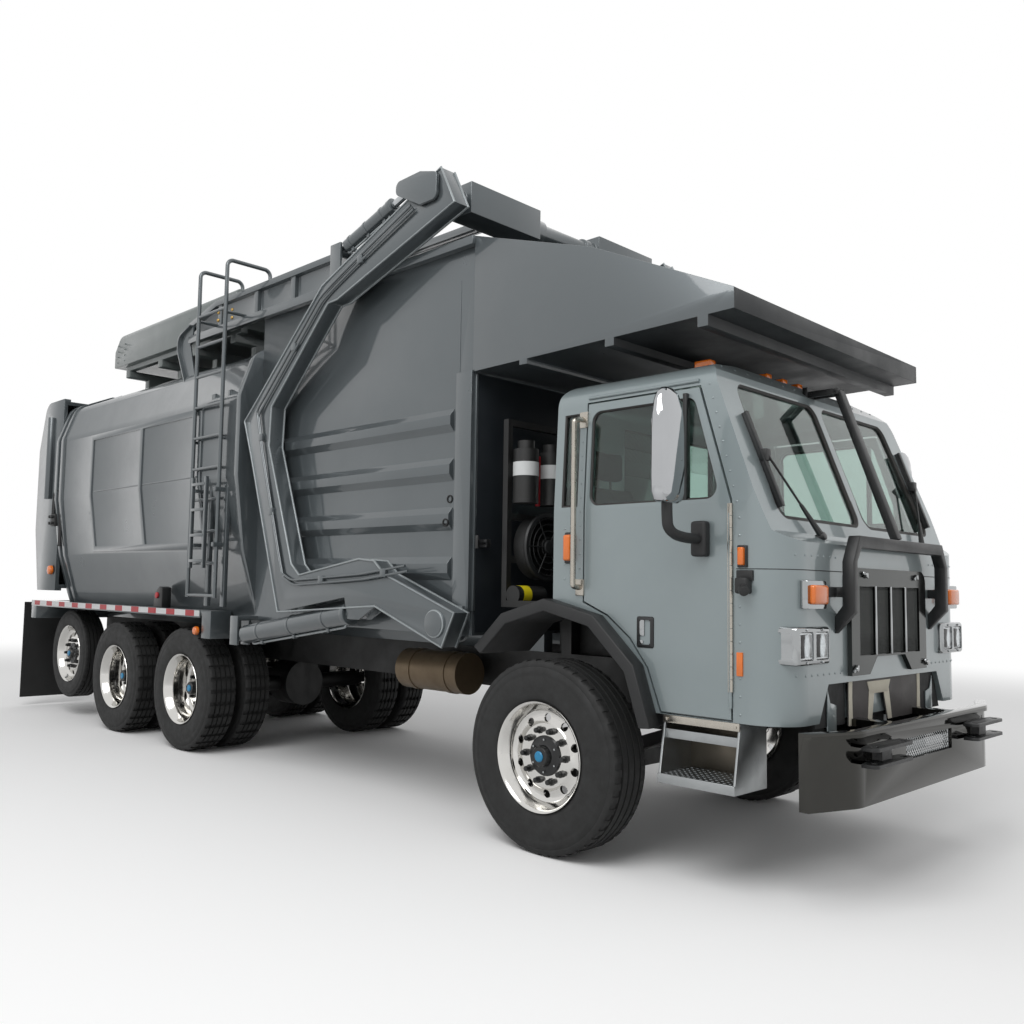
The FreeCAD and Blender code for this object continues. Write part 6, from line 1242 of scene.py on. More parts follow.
    def add_gaskets(self) -> None:
        """Set the rubber strips round the windscreen and the side windows."""
        front = self.gasket_of("cab_glass", lambda _, normal: normal.x > 0.6, self.gasket)
        self.shop.finish(front, "windscreen_gasket", GASKET_RUBBER)
        sides = self.gasket_of(
            "cab_glass", lambda place, normal: abs(normal.y) > 0.9 and normal.y * place.y > 0.0, self.gasket)
        self.shop.finish(sides, "quarter_gaskets", GASKET_RUBBER)
        for side, sign in ((Side.RIGHT.value, -1.0), (Side.LEFT.value, 1.0)):
            strip = self.gasket_of(
                f"door_glass_{side}", lambda _, normal, sign=sign: normal.y * sign > 0.9, self.door_gasket)
            self.shop.finish(strip, f"door_gasket_{side}", GASKET_RUBBER, f"door_{side}")

    def on_screen(self, y: float, z: float, proud: float) -> Vector:
        """Give a place off the windscreen.

        Args:
            y: How far left of the middle it lies.
            z: Its height.
            proud: How far it stands off the glass.

        Returns:
            The place.
        """
        rise, run = self.brow[1] - self.cowl[1], self.brow[0] - self.cowl[0]
        share = (z - self.cowl[1]) / rise
        return at(self.cowl[0] + share * run, y, z) + Vector((rise, 0.0, -run)).normalized() * proud

    def add_wipers(self) -> None:
        """Rest a wiper on each half of the windscreen."""
        top, low = self.on_screen(-0.938, 2.335, 0.020), self.on_screen(-0.916, 1.855, 0.020)
        joint, pivot = self.on_screen(-0.915, 2.105, 0.042), self.on_screen(-0.642, 1.715, 0.035)
        rake = Vector((0.935, 0.0, 0.354))
        strips = []
        for half, depth, bevel in ((0.006, -0.022, 0.002), (0.014, 0.012, 0.003)):
            side = LEFT * half
            strips.append(Bench.plate([top - side, low - side, low + side, top + side], rake * depth, bevel))
        clip = Bench.block(joint - Vector((0.03, 0.024, 0.03)), joint + Vector((0.006, 0.024, 0.03)), 0.005)
        away = (pivot - joint).normalized()
        arm = Bench.rod(joint, joint + away * 0.34, 0.006, sides=8)
        channel = Bench.rod(joint + away * 0.30, pivot, 0.009, tip=0.017, sides=8, bevel=0.002)
        foot = Bench.rod(pivot - rake * 0.06, pivot + rake * 0.018, 0.021, sides=16, bevel=0.004)
        self.shop.both(Bench.joined(*strips, clip, arm, channel, foot), "wipers", POWDER_COAT)

    def add_grab_handles(self) -> None:
        """Bend the stainless grab handles behind the doors."""
        x, y = self.grab_x, self.grab_y
        low, high = (self.shop.side_seat("cab_shell", x, z).translation for z in self.grab_heights)
        bar = Bench.tube([low, *(at(x, y, z) for z in (1.455, 1.49, 1.92, 2.34, 2.385)), high], 0.0155)
        feet = [Bench.block(spot - Vector((0.028, 0.010, 0.045)), spot + Vector((0.028, 0.02, 0.045)), 0.004)
                for spot in (low, high)]
        self.shop.both(Bench.joined(bar, *feet), "grab_handles", BRUSHED_STEEL)

    def add_doors(self) -> None:
        """Hang the piano hinges, the handles and the window dividers on the doors."""
        knuckles = [Bar((1.121, -1.107, z + 0.0012), (1.121, -1.107, z + 0.0588), 0.0085, sides=12)
                    for z in spread(*self.hinge_heights, 15)]
        hinge = Bench.made(*knuckles, self.hinge_leaf)
        cup = self.handle_cup.build()
        with Bench.editing(cup):
            Bench.pick(cup, lambda _, normal: normal.y < -0.95)
            bpy.ops.mesh.inset(thickness=0.012)
            bpy.ops.mesh.extrude_region_move(TRANSFORM_OT_translate={"value": LEFT * 0.016})
        for kind, part, finish in (
                ("hinge", hinge, BRUSHED_STEEL), ("handle_cup", cup, MOULDED_BLACK),
                ("handle_lever", Bench.made(*self.handle_lever), CHROME),
                ("vent_divider", self.vent_divider.build(), POWDER_COAT)):
            self.shop.pair(part, f"door_{kind}_{{}}", finish, "door_{}")


@dataclass
class CabFace(Assembly):
    """The lamps, the grille, the guard's post, the mat and the bumper."""

    lamp: Triple = (1.428, 0.885, 1.200)
    lamp_half: Pair = (0.165, 0.090)
    square_pitch: float = 0.078
    square_half: float = 0.066
    turn_lamp: Pair = (-0.860, 1.440)
    turn_base: Pair = (0.098, 0.068)
    mesh_panel: Pair = (0.184, 0.345)
    mesh_pitch: float = 0.1925
    clasps: tuple[Triple, ...] = (
        (-0.455, 1.075, 0.5), (0.455, 1.075, -0.5), (-0.330, 1.545, -0.4), (0.330, 1.545, 0.4))
    post_fittings: tuple[Slab | Bar, ...] = (
        Slab((0.985, -0.040, 2.565), (1.170, -0.028, 2.600), 0.002),
        Slab((0.985, 0.028, 2.565), (1.170, 0.040, 2.600), 0.002),
        Slab((0.965, -0.055, 2.560), (0.995, 0.055, 2.625), 0.004),
        Bar((1.010, -0.048, 2.583), (1.010, 0.048, 2.583), 0.008, sides=10),
        Bar((1.150, -0.048, 2.583), (1.150, 0.048, 2.583), 0.008, sides=10))
    mat_x: float = 1.383
    mat_half: float = 0.452
    mat_heights: Pair = (0.790, 1.140)
    notch_middle: float = -0.095
    notch_top: float = 0.935
    # Outline of the black plates in the mat's notches: painted shade in those recesses.
    lining: tuple[Pair, ...] = ((0.788, 0.800), (0.700, 1.008), (0.460, 1.030), (0.460, 0.800))
    stay: tuple[Pair, ...] = ((0.665, 0.76), (0.665, 0.985), (0.635, 0.915), (0.570, 0.900), (0.570, 0.76))
    mouth: Pair = (0.638, 0.742)
    bracket: tuple[float, ...] = (1.614, 0.42, 0.87, 0.665, 0.762)

    def build(self) -> None:
        """Build the details of the cab's face."""
        self.add_headlamps()
        self.add_turn_bases()
        self.add_grille()
        self.add_post()
        self.add_mat()
        self.add_bumper()

    def on_square(self, y: float, back: float, front: float, inset: float, bevel: float) -> Piece:
        """Make a block in the place of one square lamp.

        Args:
            y: How far left of the truck's middle the lamp's middle lies.
            back: How far ahead of the bezel's face the block starts.
            front: How far ahead of that face it ends.
            inset: How far its sides stay inside the square.
            bevel: How wide the rounding of its edges is.

        Returns:
            The block.
        """
        face, _, height = self.lamp
        half = self.square_half - inset
        return Slab((face + back, y - half, height - half), (face + front, y + half, height + half), bevel).build()

    def add_headlamps(self) -> None:
        """Build the wrapped bezels with two square lamps each."""
        face, middle, height = self.lamp
        wide, high = self.lamp_half
        half = self.square_half
        bezel = Slab((1.255, -middle - wide, height - high), (face, -middle + wide, height + high), 0.018, 3).build()
        with Bench.editing(bezel):
            Bench.pick(bezel, lambda _, normal: normal.y < -0.95)
            bpy.ops.mesh.inset(thickness=0.018)
            bpy.ops.mesh.extrude_region_move(TRANSFORM_OT_translate={"value": LEFT * 0.008})
        bowls, lenses, rims = [], [], []
        for y in (-middle - self.square_pitch, -middle + self.square_pitch):
            bezel = Bench.cut(bezel, self.on_square(y, -0.055, 0.02, 0.0, 0.010))
            bowl = self.on_square(y, -0.050, -0.006, 0.001, 0.008)
            with Bench.editing(bowl):
                Bench.pick(bowl, lambda _, normal: normal.x > 0.95)
                bpy.ops.mesh.inset(thickness=0.004)
                bpy.ops.mesh.extrude_region_move(TRANSFORM_OT_translate={"value": AHEAD * -0.004})
                bpy.ops.mesh.extrude_region_move(TRANSFORM_OT_translate={"value": AHEAD * -0.030})
                bpy.ops.transform.resize(value=(1.0, 0.55, 0.55), center_override=at(face, y, height))
            bowls += [bowl, Slab((face - 0.030, y - half + 0.004, height - 0.004),
                                 (face - 0.014, y + half - 0.004, height + 0.004), 0.001).build()]
            lenses.append(self.on_square(y, -0.010, -0.003, 0.002, 0.002))
            rims += [Bar((face - 0.004, y, z), (face + 0.006, y, z), 0.006, sides=10, bevel=0.001).build()
                     for z in (height - half - 0.010, height + half + 0.010)]
        self.shop.both(Bench.joined(bezel, *rims), "lamp_bezels", CHROME, replaces=("headlamps",))
        self.shop.both(Bench.joined(*bowls), "lamp_reflectors", REFLECTOR)
        self.shop.both(Bench.joined(*lenses), "lamp_lenses", LENS)

    def add_turn_bases(self) -> None:
        """Set the chrome bases that taper out to the turn lamps."""
        (y, z), (wide, high) = self.turn_lamp, self.turn_base
        base = Slab((1.390, y - wide, z - high), (1.432, y + wide, z + high), 0.008).build()
        with Bench.editing(base):
            Bench.pick(base, lambda _, normal: normal.x > 0.95)
            bpy.ops.transform.resize(value=(1.0, 0.80, 0.74), center_override=at(1.4, y, z))
        self.shop.both(base, "turn_lamp_bases", CHROME)

    def add_grille(self) -> None:
        """Stretch the mesh behind the grille's bars, and clip its corners."""
        wide, high = self.mesh_panel
        panels = [Bench.lattice(at(1.4125, -0.381 + index * self.mesh_pitch, 1.140), LEFT * wide, UP * high,
                                (13, 24), 0.0028) for index in range(4)]
        self.shop.finish(Bench.joined(*panels), "grille_mesh", DARK_CHROME, smooth=20.0)
        back = Slab((1.402, -0.384, 1.137), (1.4045, 0.384, 1.487)).build()
        self.shop.finish(back, "grille_backing", SEALER_AND_SHADE_BLACK)
        clasps = []
        for y, z, lean in self.clasps:
            bar = Bench.block((-0.005, -0.030, -0.008), (0.008, 0.030, 0.008), 0.004)
            wing = Bench.rod(ORIGIN, AHEAD * 0.014, 0.013, sides=12, bevel=0.003)
            clasp = Bench.joined(bar, wing)
            clasp.data.transform(Matrix.Translation(at(1.430, y, z)) @ Matrix.Rotation(lean, 4, "X"))
            clasps.append(clasp)
        self.shop.finish(Bench.joined(*clasps), "grille_clasps", CHROME)
        bars = [Slab((1.420, y - 0.009, 1.136), (1.4285, y + 0.009, 1.490), 0.003)
                for y in (-self.mesh_pitch, 0.0, self.mesh_pitch)]
        self.shop.finish(Bench.made(*bars), "grille_bars", CHROME)

    def add_post(self) -> None:
        """Stand the flat post before the windscreen, from the roof to the guard."""
        top, foot, half = at(1.175, 0.0, 2.590), at(1.478, 0.0, 1.745), LEFT * 0.030
        depth = (foot - top).cross(half).normalized() * 0.040
        post = Bench.plate([top - half, foot - half, foot + half, top + half], -depth, 0.003)
        self.shop.finish(Bench.joined(post, Bench.made(*self.post_fittings)), "screen_post", POWDER_COAT)

    def add_mat(self) -> None:
        """Hang the stiff rubber mat below the grille, with its pale bound edges, its stays and black plates of painted
        shade in the notches beside it.
        """
        x, half, shift, top = self.mat_x, self.mat_half, self.notch_middle, self.notch_top
        low, high = self.mat_heights
        outline = [(-half, low), (-half, high), (half, high), (half, low), (shift + 0.115, low), (shift + 0.062, top),
                   (shift - 0.062, top), (shift - 0.095, low)]
        mat = Bench.plate([at(x, *place) for place in outline], AHEAD * 0.008, 0.001)
        self.shop.finish(mat, "mat", MAT_RUBBER)
        edge = ((half + 0.002, low), (half + 0.002, 1.045), (half - 0.040, 1.045), (half - 0.034, 0.930),
                (half - 0.040, low))
        strips = [[(side * y, z) for y, z in edge] for side in (-1.0, 1.0)]
        strips += [[(shift + y, z) for y, z in leg] for leg in (
            ((0.113, low), (0.060, 0.937), (0.115, 0.992), (0.160, low)),
            ((-0.093, low), (-0.060, 0.937), (-0.115, 0.992), (-0.140, low)),
            ((-0.110, 0.934), (-0.145, 0.998), (0.145, 0.998), (0.110, 0.934)))]
        thick = (0.004, 0.004, 0.004, 0.004, 0.0045)
        bindings = [Bench.plate([at(x + 0.007, *place) for place in strip], AHEAD * depth, 0.001)
                    for strip, depth in zip(strips, thick)]
        self.shop.finish(Bench.joined(*bindings), "mat_binding", BOUND_EDGE)
        # The notch plates are painted shade in flat black; the stays are cab-coloured.
        for corners, back, depth, bevel, name, finish in (
                (self.lining, 1.3705, 0.003, 0.0, "notch_linings", SEALER_AND_SHADE_BLACK),
                (self.stay, 1.376, 0.006, 0.001, "mat_stays", CAB_ENAMEL)):
            part = Bench.plate([at(back, -y, z) for y, z in corners], AHEAD * depth, bevel)
            self.shop.both(part, name, finish)

    def add_bumper(self) -> None:
        """Part the bumper's black tow brackets from its polished shell, and mesh its mouth."""
        shell = self.shop.finish(
            Bench.bevelled(self.shop.copy_of("bumper"), 0.005), "bumper_shell", POLISHED_STEEL, "root", ("bumper",))
        reach, near, far, under, over = self.bracket
        self.shop.tint(shell, POWDER_COAT, lambda place: (
            place.x - AXLE_X > reach and near < abs(place.y) < far and under < place.z < over))
        low, high = self.mouth
        mesh = Bench.lattice(at(1.590, -0.300, low + 0.002), LEFT * 0.600, UP * (high - low - 0.004), (22, 4), 0.006)
        self.shop.finish(mesh, "bumper_mesh", CHROME, smooth=20.0)


# Roof lamps, mirrors, body trim


@dataclass
class Lamps(Assembly):
    """The roof lamps and turn lamps that stand in for the plain solids."""

    roof: tuple[float, ...] = (-0.792, -0.187, 0.0, 0.187, 0.792)
    roof_x: float = 0.785
    turn: tuple[float, ...] = (-0.860, 0.860)

    def build(self) -> None:
        """Build the amber lamps."""
        lamps, feet = [], []
        for y in self.roof:
            seat = self.shop.seat("cab_shell", at(self.roof_x, y, 3.2), -UP).translation
            lamp = Bench.block(seat + Vector((-0.050, -0.030, 0.003)), seat + Vector((0.050, 0.030, 0.048)), 0.010, 3)
            with Bench.editing(lamp):
                Bench.pick(lamp, lambda _, normal: normal.z > 0.95)
                bpy.ops.transform.resize(value=(0.72, 0.80, 1.0), center_override=seat)
            lamps.append(lamp)
            feet.append(
                Bench.block(seat + Vector((-0.058, -0.034, -0.010)), seat + Vector((0.058, 0.034, 0.006)), 0.004))
        lamps += [Slab((1.415, y - 0.074, 1.394), (1.455, y + 0.074, 1.486), 0.012, 3).build() for y in self.turn]
        self.shop.finish(Bench.joined(*lamps), "amber_lamps", AMBER, "root", ("marker_lamps",))
        self.shop.finish(Bench.joined(*feet), "roof_lamp_feet", MOULDED_BLACK)


@dataclass
class Mirrors(Assembly):
    """The tall mirrors on the doors, with their black arms."""

    x: float = 0.950
    y: float = -1.390
    low: float = 1.860
    high: float = 2.410
    half: float = 0.1075
    depth: float = 0.0425
    corners: int = 24
    squareness: float = 0.55
    arm: float = 0.026

    def build(self) -> None:
        """Build both mirrors."""
        x, y, low = self.x, self.y, self.low
        shell = self.shell()
        pane = Slab((x - 0.032, y - 0.088, low + 0.05), (x - 0.018, y + 0.088, 2.26), 0.006).build()
        arm = Bench.tube([at(x, y, 1.872), at(x, y, 1.80), at(x, y + 0.01, 1.735), at(x + 0.006, y + 0.10, 1.700),
                          at(x + 0.012, -1.14, 1.700)], self.arm)
        foot = Slab((x - 0.030, -1.150, 1.615), (x + 0.055, -1.095, 1.790), 0.016, 3).build()
        for kind, part, finish, replaces in (
                ("shell", shell, MIRROR_CHROME, "mirror_{}"), ("pane", pane, MIRROR_CHROME, None),
                ("arm", Bench.joined(arm, foot), MOULDED_BLACK, None)):
            self.shop.pair(part, f"mirror_{kind}_{{}}", finish, "door_{}", replaces, 50.0)

    def shell(self) -> Piece:
        """Loft the plated shell from its squared section, level by level."""
        low = self.low
        levels = [(low, 0.62), (low + 0.012, 0.84), (low + 0.05, 0.98), (low + 0.12, 1.0), (2.20, 0.98),
                  (2.285, 0.93), (2.290, 0.915), (2.345, 0.83), (2.385, 0.66), (self.high, 0.36)]
        bpy.ops.mesh.primitive_circle_add(vertices=self.corners, fill_type="NGON")
        shell = bpy.context.object
        last_height, last = levels[0]
        ring = []
        for step in range(self.corners):
            turn = math.tau * step / self.corners
            across, back = math.cos(turn), math.sin(turn)
            squared = last / max(abs(across), abs(back)) ** self.squareness
            x = self.x + max(back, -0.45) * squared * self.depth
            ring.append(at(x, self.y + across * squared * self.half, low))
        with Bench.editing(shell, "VERT"):
            Bench.place_points(shell, ring)
            for height, share in levels[1:]:
                bpy.ops.mesh.extrude_region_move(TRANSFORM_OT_translate={"value": UP * (height - last_height)})
                grow = share / last
                bpy.ops.transform.resize(value=(grow, grow, 1.0), center_override=at(self.x, self.y, height))
                last_height, last = height, share
            bpy.ops.mesh.select_all(action="SELECT")
            bpy.ops.mesh.normals_make_consistent(inside=False)
        return shell


@dataclass
class BodyTrim(Assembly):
    """Small fittings on the refuse body: tape, lamps, bolts, seams and the lower ladder."""

    deck: Pair = (-3.745, -7.590)
    deck_y: float = -1.2405
    tape: Pair = (1.160, 1.210)
    stripes: int = 11
    tail_lamp: Triple = (-7.04, -1.262, 1.546)
    side_lamp: Triple = (-3.79, -1.250, 1.04)
    deck_lamp: Bar = Bar((-4.590, -1.212, 1.320), (-4.590, -1.228, 1.320), 0.028, sides=18, bevel=0.004)
    hood: tuple[Pair, ...] = ((-4.66, 1.210), (-4.66, 1.330), (-4.56, 1.400), (-4.50, 1.390), (-4.50, 1.210))
    cover_bolts: tuple[tuple[float, ...], ...] = ((-6.18, -6.02, -4.62, -4.46), (3.74, 3.80, 3.86, 3.92))
    hood_bolts: tuple[tuple[float, ...], ...] = ((-3.75, -3.92), (3.745, 3.815))
    bungs: tuple[Pair, ...] = ((-0.866, 1.999), (-0.862, 1.847))
    channels: Pair = (-3.62, -3.36)
    stiles: Pair = (-3.735, -3.515)
    valve: Slab = Slab((-7.02, -1.300, 2.02), (-6.90, -1.236, 2.15), 0.008)
    # The dark sheet on the hopper's front wall is painted shade, not a real part.
    wall: Slab = Slab((-0.649, -1.085, 1.17), (-0.640, 1.085, 2.770), 0.001)
    wall_edge: Slab = Slab((-0.652, -1.104, 1.30), (-0.638, -1.088, 2.775), 0.002)

    def build(self) -> None:
        """Build the body's fittings."""
        self.add_tape()
        self.add_lamps()
        self.add_fasteners()
        self.add_ladder()
        self.add_seams()
        self.add_valve()
        # The front wall's dark sheet is painted shade.
        self.shop.finish(self.wall.build(), "front_wall_sheet", WALL_SHADE)
        self.shop.both(self.wall_edge.build(), "front_wall_edges", BODY_ENAMEL)

    def add_tape(self) -> None:
        """Stick the red and white tape along the deck's edge."""
        (start, end), (low, high), y = self.deck, self.tape, self.deck_y
        backing = Slab((end, y - 0.004, low - 0.012), (start, y + 0.006, high + 0.001), 0.0015)
        self.shop.both(backing.build(), "deck_edges", BODY_ENAMEL)
        white = Slab((end + 0.01, y - 0.0052, low), (start - 0.01, y - 0.0035, high - 0.002))
        pitch = (start - end) / self.stripes
        reds = [Slab((start - pitch * (step + 0.72), y - 0.0058, low),
                     (start - pitch * (step + 0.28), y - 0.0045, high - 0.002)) for step in range(self.stripes)]
        self.shop.both(white.build(), "tape_white", TAPE_WHITE)
        self.shop.both(Bench.made(*reds), "tape_red", TAPE_RED)

    def add_lamps(self) -> None:
        """Set the tail, deck and side lamps."""
        for place, profile, steps, name, body in (
                (self.tail_lamp, [(0.050, -0.012), (0.050, 0.010), (0.044, 0.022), (0.030, 0.028), (0.0, 0.030)], 28,
                 "tailgate_lamps", "tailgate"),
                (self.side_lamp, [(0.036, -0.01), (0.036, 0.008), (0.030, 0.018), (0.0, 0.022)], 24,
                 "side_reflectors", "root")):
            self.shop.both(Bench.spun(profile, at(*place), -LEFT, steps, closed=False), name, AMBER, body)
        hood = Bench.plate([at(x, -1.215, z) for x, z in self.hood], LEFT * 0.09, 0.006)
        self.shop.both(hood, "deck_lamp_hoods", POWDER_COAT)
        self.shop.both(self.deck_lamp.build(), "deck_lamps", TAPE_RED)

    def add_fasteners(self) -> None:
        """Set the small fasteners on the roof panels."""
        for (xs, zs), node, dome, name, finish in (
                (self.cover_bolts, "roof_tank_cover", (0.008, 0.004), "cover_fasteners", COVER_ENAMEL),
                (self.hood_bolts, "roof_rails", (0.017, 0.012), "hood_bolts", BRASS)):
            spots = Bench.both_spots([self.shop.side_seat(node, x, z) for x in xs for z in zs])
            self.shop.finish(Bench.repeated(Bench.dome(*dome), spots), name, finish)

    def add_ladder(self) -> None:
        """Build the channels behind the ladder and its folded lower part."""
        left, right = self.stiles
        parts = [Slab((x - 0.028, -1.268, 1.25), (x + 0.028, -1.235, 3.02), 0.003) for x in self.channels]
        parts += [Slab((x - 0.014, -1.372, 1.56), (x + 0.014, -1.344, 2.31), 0.003) for x in self.stiles]
        parts += [Slab((left, -1.374, z - 0.012), (right, -1.350, z + 0.012), 0.003) for z in spread(1.62, 2.25, 4)]
        for z in (1.75, 2.20):
            parts += [Slab((-3.42, -1.350, z - 0.018), (-3.38, -1.250, z + 0.018), 0.003),
                      Slab((left, -1.350, z - 0.014), (left + 0.03, -1.240, z + 0.014), 0.003)]
        self.shop.finish(Bench.made(*parts), "ladder_fold", BODY_ENAMEL)

    def add_seams(self) -> None:
        """Lay the weld beads across the body's panels, and plug the drain holes."""
        seat = self.shop.side_seat
        across = [seat("barrel_body", x, 2.335).translation for x in spread(-3.85, -5.95, 8)]
        upright = [seat("hopper", -0.80, z).translation for z in spread(1.56, 3.40, 10)]
        beads = [Bench.tube(weld, radius, round_corners=False) for weld, radius in ((across, 0.006), (upright, 0.005))]
        self.shop.both(Bench.joined(*beads), "weld_beads", BODY_ENAMEL)
        plug = Bench.spun([(0.026, -0.004), (0.026, 0.006), (0.018, 0.006), (0.017, -0.001), (0.0, -0.001)],
                          ORIGIN, UP, 20, closed=False)
        spots = Bench.both_spots([seat("hopper", x, z) for x, z in self.bungs])
        self.shop.finish(Bench.repeated(plug, spots), "drain_bungs", SEALER_AND_SHADE_BLACK)

    def add_valve(self) -> None:
        """Build the tailgate lock valve with its rigid lines."""
        ports = [Bar((x, -1.270, z), (x, -1.330, z), 0.016, sides=10, bevel=0.003)
                 for x in (-6.99, -6.93) for z in (2.05, 2.12)]
        route = ((-6.99, -1.290, 2.15), (-6.99, -1.290, 2.34), (-6.95, -1.285, 2.42), (-6.87, -1.270, 2.36),
                 (-6.85, -1.262, 2.10), (-6.86, -1.255, 1.80))
        lines = [Bench.tube([at(x + shift, y, z) for x, y, z in route], 0.011) for shift in (0.0, 0.035)]
        self.shop.finish(Bench.joined(Bench.made(self.valve, *ports), *lines), "lock_valve", MOULDED_BLACK)


@dataclass
class StepTrim(Assembly):
    """Studded treads, riser sheets and sill strips of the steps under the doors."""

    rear: float = 0.735
    front: float = 1.160
    side: float = -1.150
    wall: float = -0.860
    low: float = 0.500
    top: float = 0.829
    lip: float = 0.045
    stud: Pair = (0.0095, 0.004)

    def build(self) -> None:
        """Build the steps' fittings."""
        rear, front, wall, top, tread = self.rear, self.front, self.wall, self.top, self.low + self.lip
        sheet = Slab((rear + 0.009, self.side + 0.001, tread - 0.006), (front - 0.009, wall - 0.008, tread + 0.002),
                     0.0015).build()
        studs = [Matrix.Translation(at(x, y, tread + 0.002)) for x in spread(rear + 0.035, front - 0.035, 12)
                 for y in spread(self.side + 0.028, wall - 0.035, 7)]
        treads = Bench.joined(sheet, Bench.repeated(Bench.dome(*self.stud), studs))
        self.shop.both(treads, "step_treads", TREAD_ALUMINIUM)
        riser = Slab((rear + 0.009, wall - 0.007, self.low + 0.010), (front - 0.009, wall - 0.001, top - 0.004), 0.001)
        self.shop.both(riser.build(), "step_risers", RISER_BRONZE)
        strip = Slab((rear, -1.103, top - 0.038), (front, -1.091, top), 0.003)
        bolts = [Bar((x, -1.103, top - 0.019), (x, -1.109, top - 0.019), 0.009, sides=12, bevel=0.002)
                 for x in (rear + 0.022, front - 0.022)]
        self.shop.both(Bench.made(strip, *bolts), "sill_strips", BRUSHED_STEEL)


@dataclass
class TailTrim(Assembly):
    """Ribs, lamps and the blank plate on the tailgate's back."""

    ribs: tuple[float, ...] = (-0.66, 0.0, 0.66)
    rib_half: float = 0.040
    rib_proud: float = 0.028
    lamps: tuple[float, ...] = (-1.03, -0.88, 0.88, 1.03)
    lamp_height: float = 1.66
    high_lamps: tuple[float, ...] = (-0.30, -0.15, 0.15, 0.30)
    high_lamp_height: float = 3.26
    plate_y: float = 0.34

    def build(self) -> None:
        """Build the tailgate's fittings."""
        seat = self.shop.rear_seat
        self.shop.finish(Bench.joined(*[self.rib(y) for y in self.ribs]), "tailgate_ribs", BODY_ENAMEL, "tailgate")
        spots = [seat("tailgate", y, self.lamp_height) for y in self.lamps]
        spots += [seat("tailgate", y, self.high_lamp_height) for y in self.high_lamps]
        lens = Bench.spun([(0.050, -0.004), (0.050, 0.012), (0.042, 0.020), (0.0, 0.024)], ORIGIN, UP, 28, closed=False)
        self.shop.finish(Bench.repeated(lens, spots), "tail_lamps", TAIL_RED, "tailgate")
        grommet = Bench.spun([(0.051, -0.004), (0.051, 0.011), (0.058, 0.011), (0.064, -0.004)], ORIGIN, UP, 28)
        self.shop.finish(Bench.repeated(grommet, spots), "tail_lamp_grommets", GASKET_RUBBER, "tailgate")
        plate = Bench.block((-0.155, -0.080, -0.002), (0.155, 0.080, 0.005), 0.002)
        screws = [Bench.rod(Vector((x, 0.062, 0.004)), Vector((x, 0.062, 0.009)), 0.006, sides=10)
                  for x in (-0.09, 0.09)]
        board = Bench.joined(plate, *screws)
        board.data.transform(seat("tailgate", self.plate_y, self.lamp_height))
        self.shop.finish(board, "blank_plate", LABEL_WHITE, "tailgate")

    def rib(self, y: float) -> Piece:
        """Fold one rib that follows the tailgate's skin, so far left of the middle."""
        skin = [self.shop.rear_seat("tailgate", y, z).translation for z in spread(1.44, 3.32, 14)]
        foot = [point + Vector((0.004, -self.rib_half, 0.0)) for point in skin]
        face = [point - Vector((self.rib_proud, self.rib_half, 0.0)) for point in skin]
        face[0].z, face[-1].z = face[0].z + 0.03, face[-1].z - 0.03
        return Bench.plate(foot + face[::-1], LEFT * 2 * self.rib_half, 0.005)


@dataclass(frozen=True)
class Cylinder:
    """One hydraulic cylinder: its pins as (ahead of the front axle, height), its barrel's radius and length."""

    name: str
    base: Pair
    lug: Pair
    radius: float
    reach: float


@dataclass
class CylinderTrim(Assembly):
    """Glands, clamp bands and rigid lines on the lifting and fork cylinders."""

    y: float = -1.225
    line: float = 0.009
    bands: Triple = (0.22, 0.52, 0.82)
    cylinders: tuple[Cylinder, ...] = (
        Cylinder("lift", (-3.110, 1.035), (-1.600, 1.265), 0.072, 1.420),
        Cylinder("fork", (-1.926, 3.836), (-1.183, 4.065), 0.048, 0.600))

    def build(self) -> None:
        """Build the cylinders' fittings."""
        for cylinder in self.cylinders:
            self.dress(cylinder)

    def dress(self, cylinder: Cylinder) -> None:
        """Dress one cylinder and its twin.

        Args:
            cylinder: The cylinder's place and sizes.
        """
        base, lug = (at(x, self.y, z) for x, z in (cylinder.base, cylinder.lug))
        radius, reach, barrels = cylinder.radius, cylinder.reach, f"{cylinder.name}_barrels"
        way = (lug - base).normalized()
        below = Vector((way.z, 0.0, -way.x))
        end = base + way * reach
        rings = [Bench.rod(end - way * 0.034, end + way * 0.008, radius + 0.005, sides=36, bevel=0.003),
                 Bench.rod(end + way * 0.006, end + way * 0.020, radius * 0.66, sides=28, bevel=0.003)]
        for share in self.bands:
            spot = base + way * reach * share
            rings.append(Bench.rod(spot - way * 0.011, spot + way * 0.011, radius + 0.0035, sides=36, bevel=0.001))
            clip, half = spot + below * (radius + 0.012), Vector((0.016, 0.016, 0.016))
            rings.append(Bench.block(clip - half, clip + half, 0.004))
        self.shop.both(Bench.joined(*rings), f"{cylinder.name}_glands", BODY_ENAMEL, barrels)
        off, seated = below * (radius + 0.013), below * (radius - 0.01)
        first, last = base + way * reach * 0.12, end - way * 0.055
        points = [first + seated, first + off, first + off + way * 0.05, first.lerp(last, 0.5) + off,
                  last + off - way * 0.05, last + off, last + seated]
        # The lines take the pale painted-highlight finish of the arms' edges.
        self.shop.both(Bench.tube(points, self.line), f"{cylinder.name}_lines", ARM_EDGE_HIGHLIGHT, barrels)


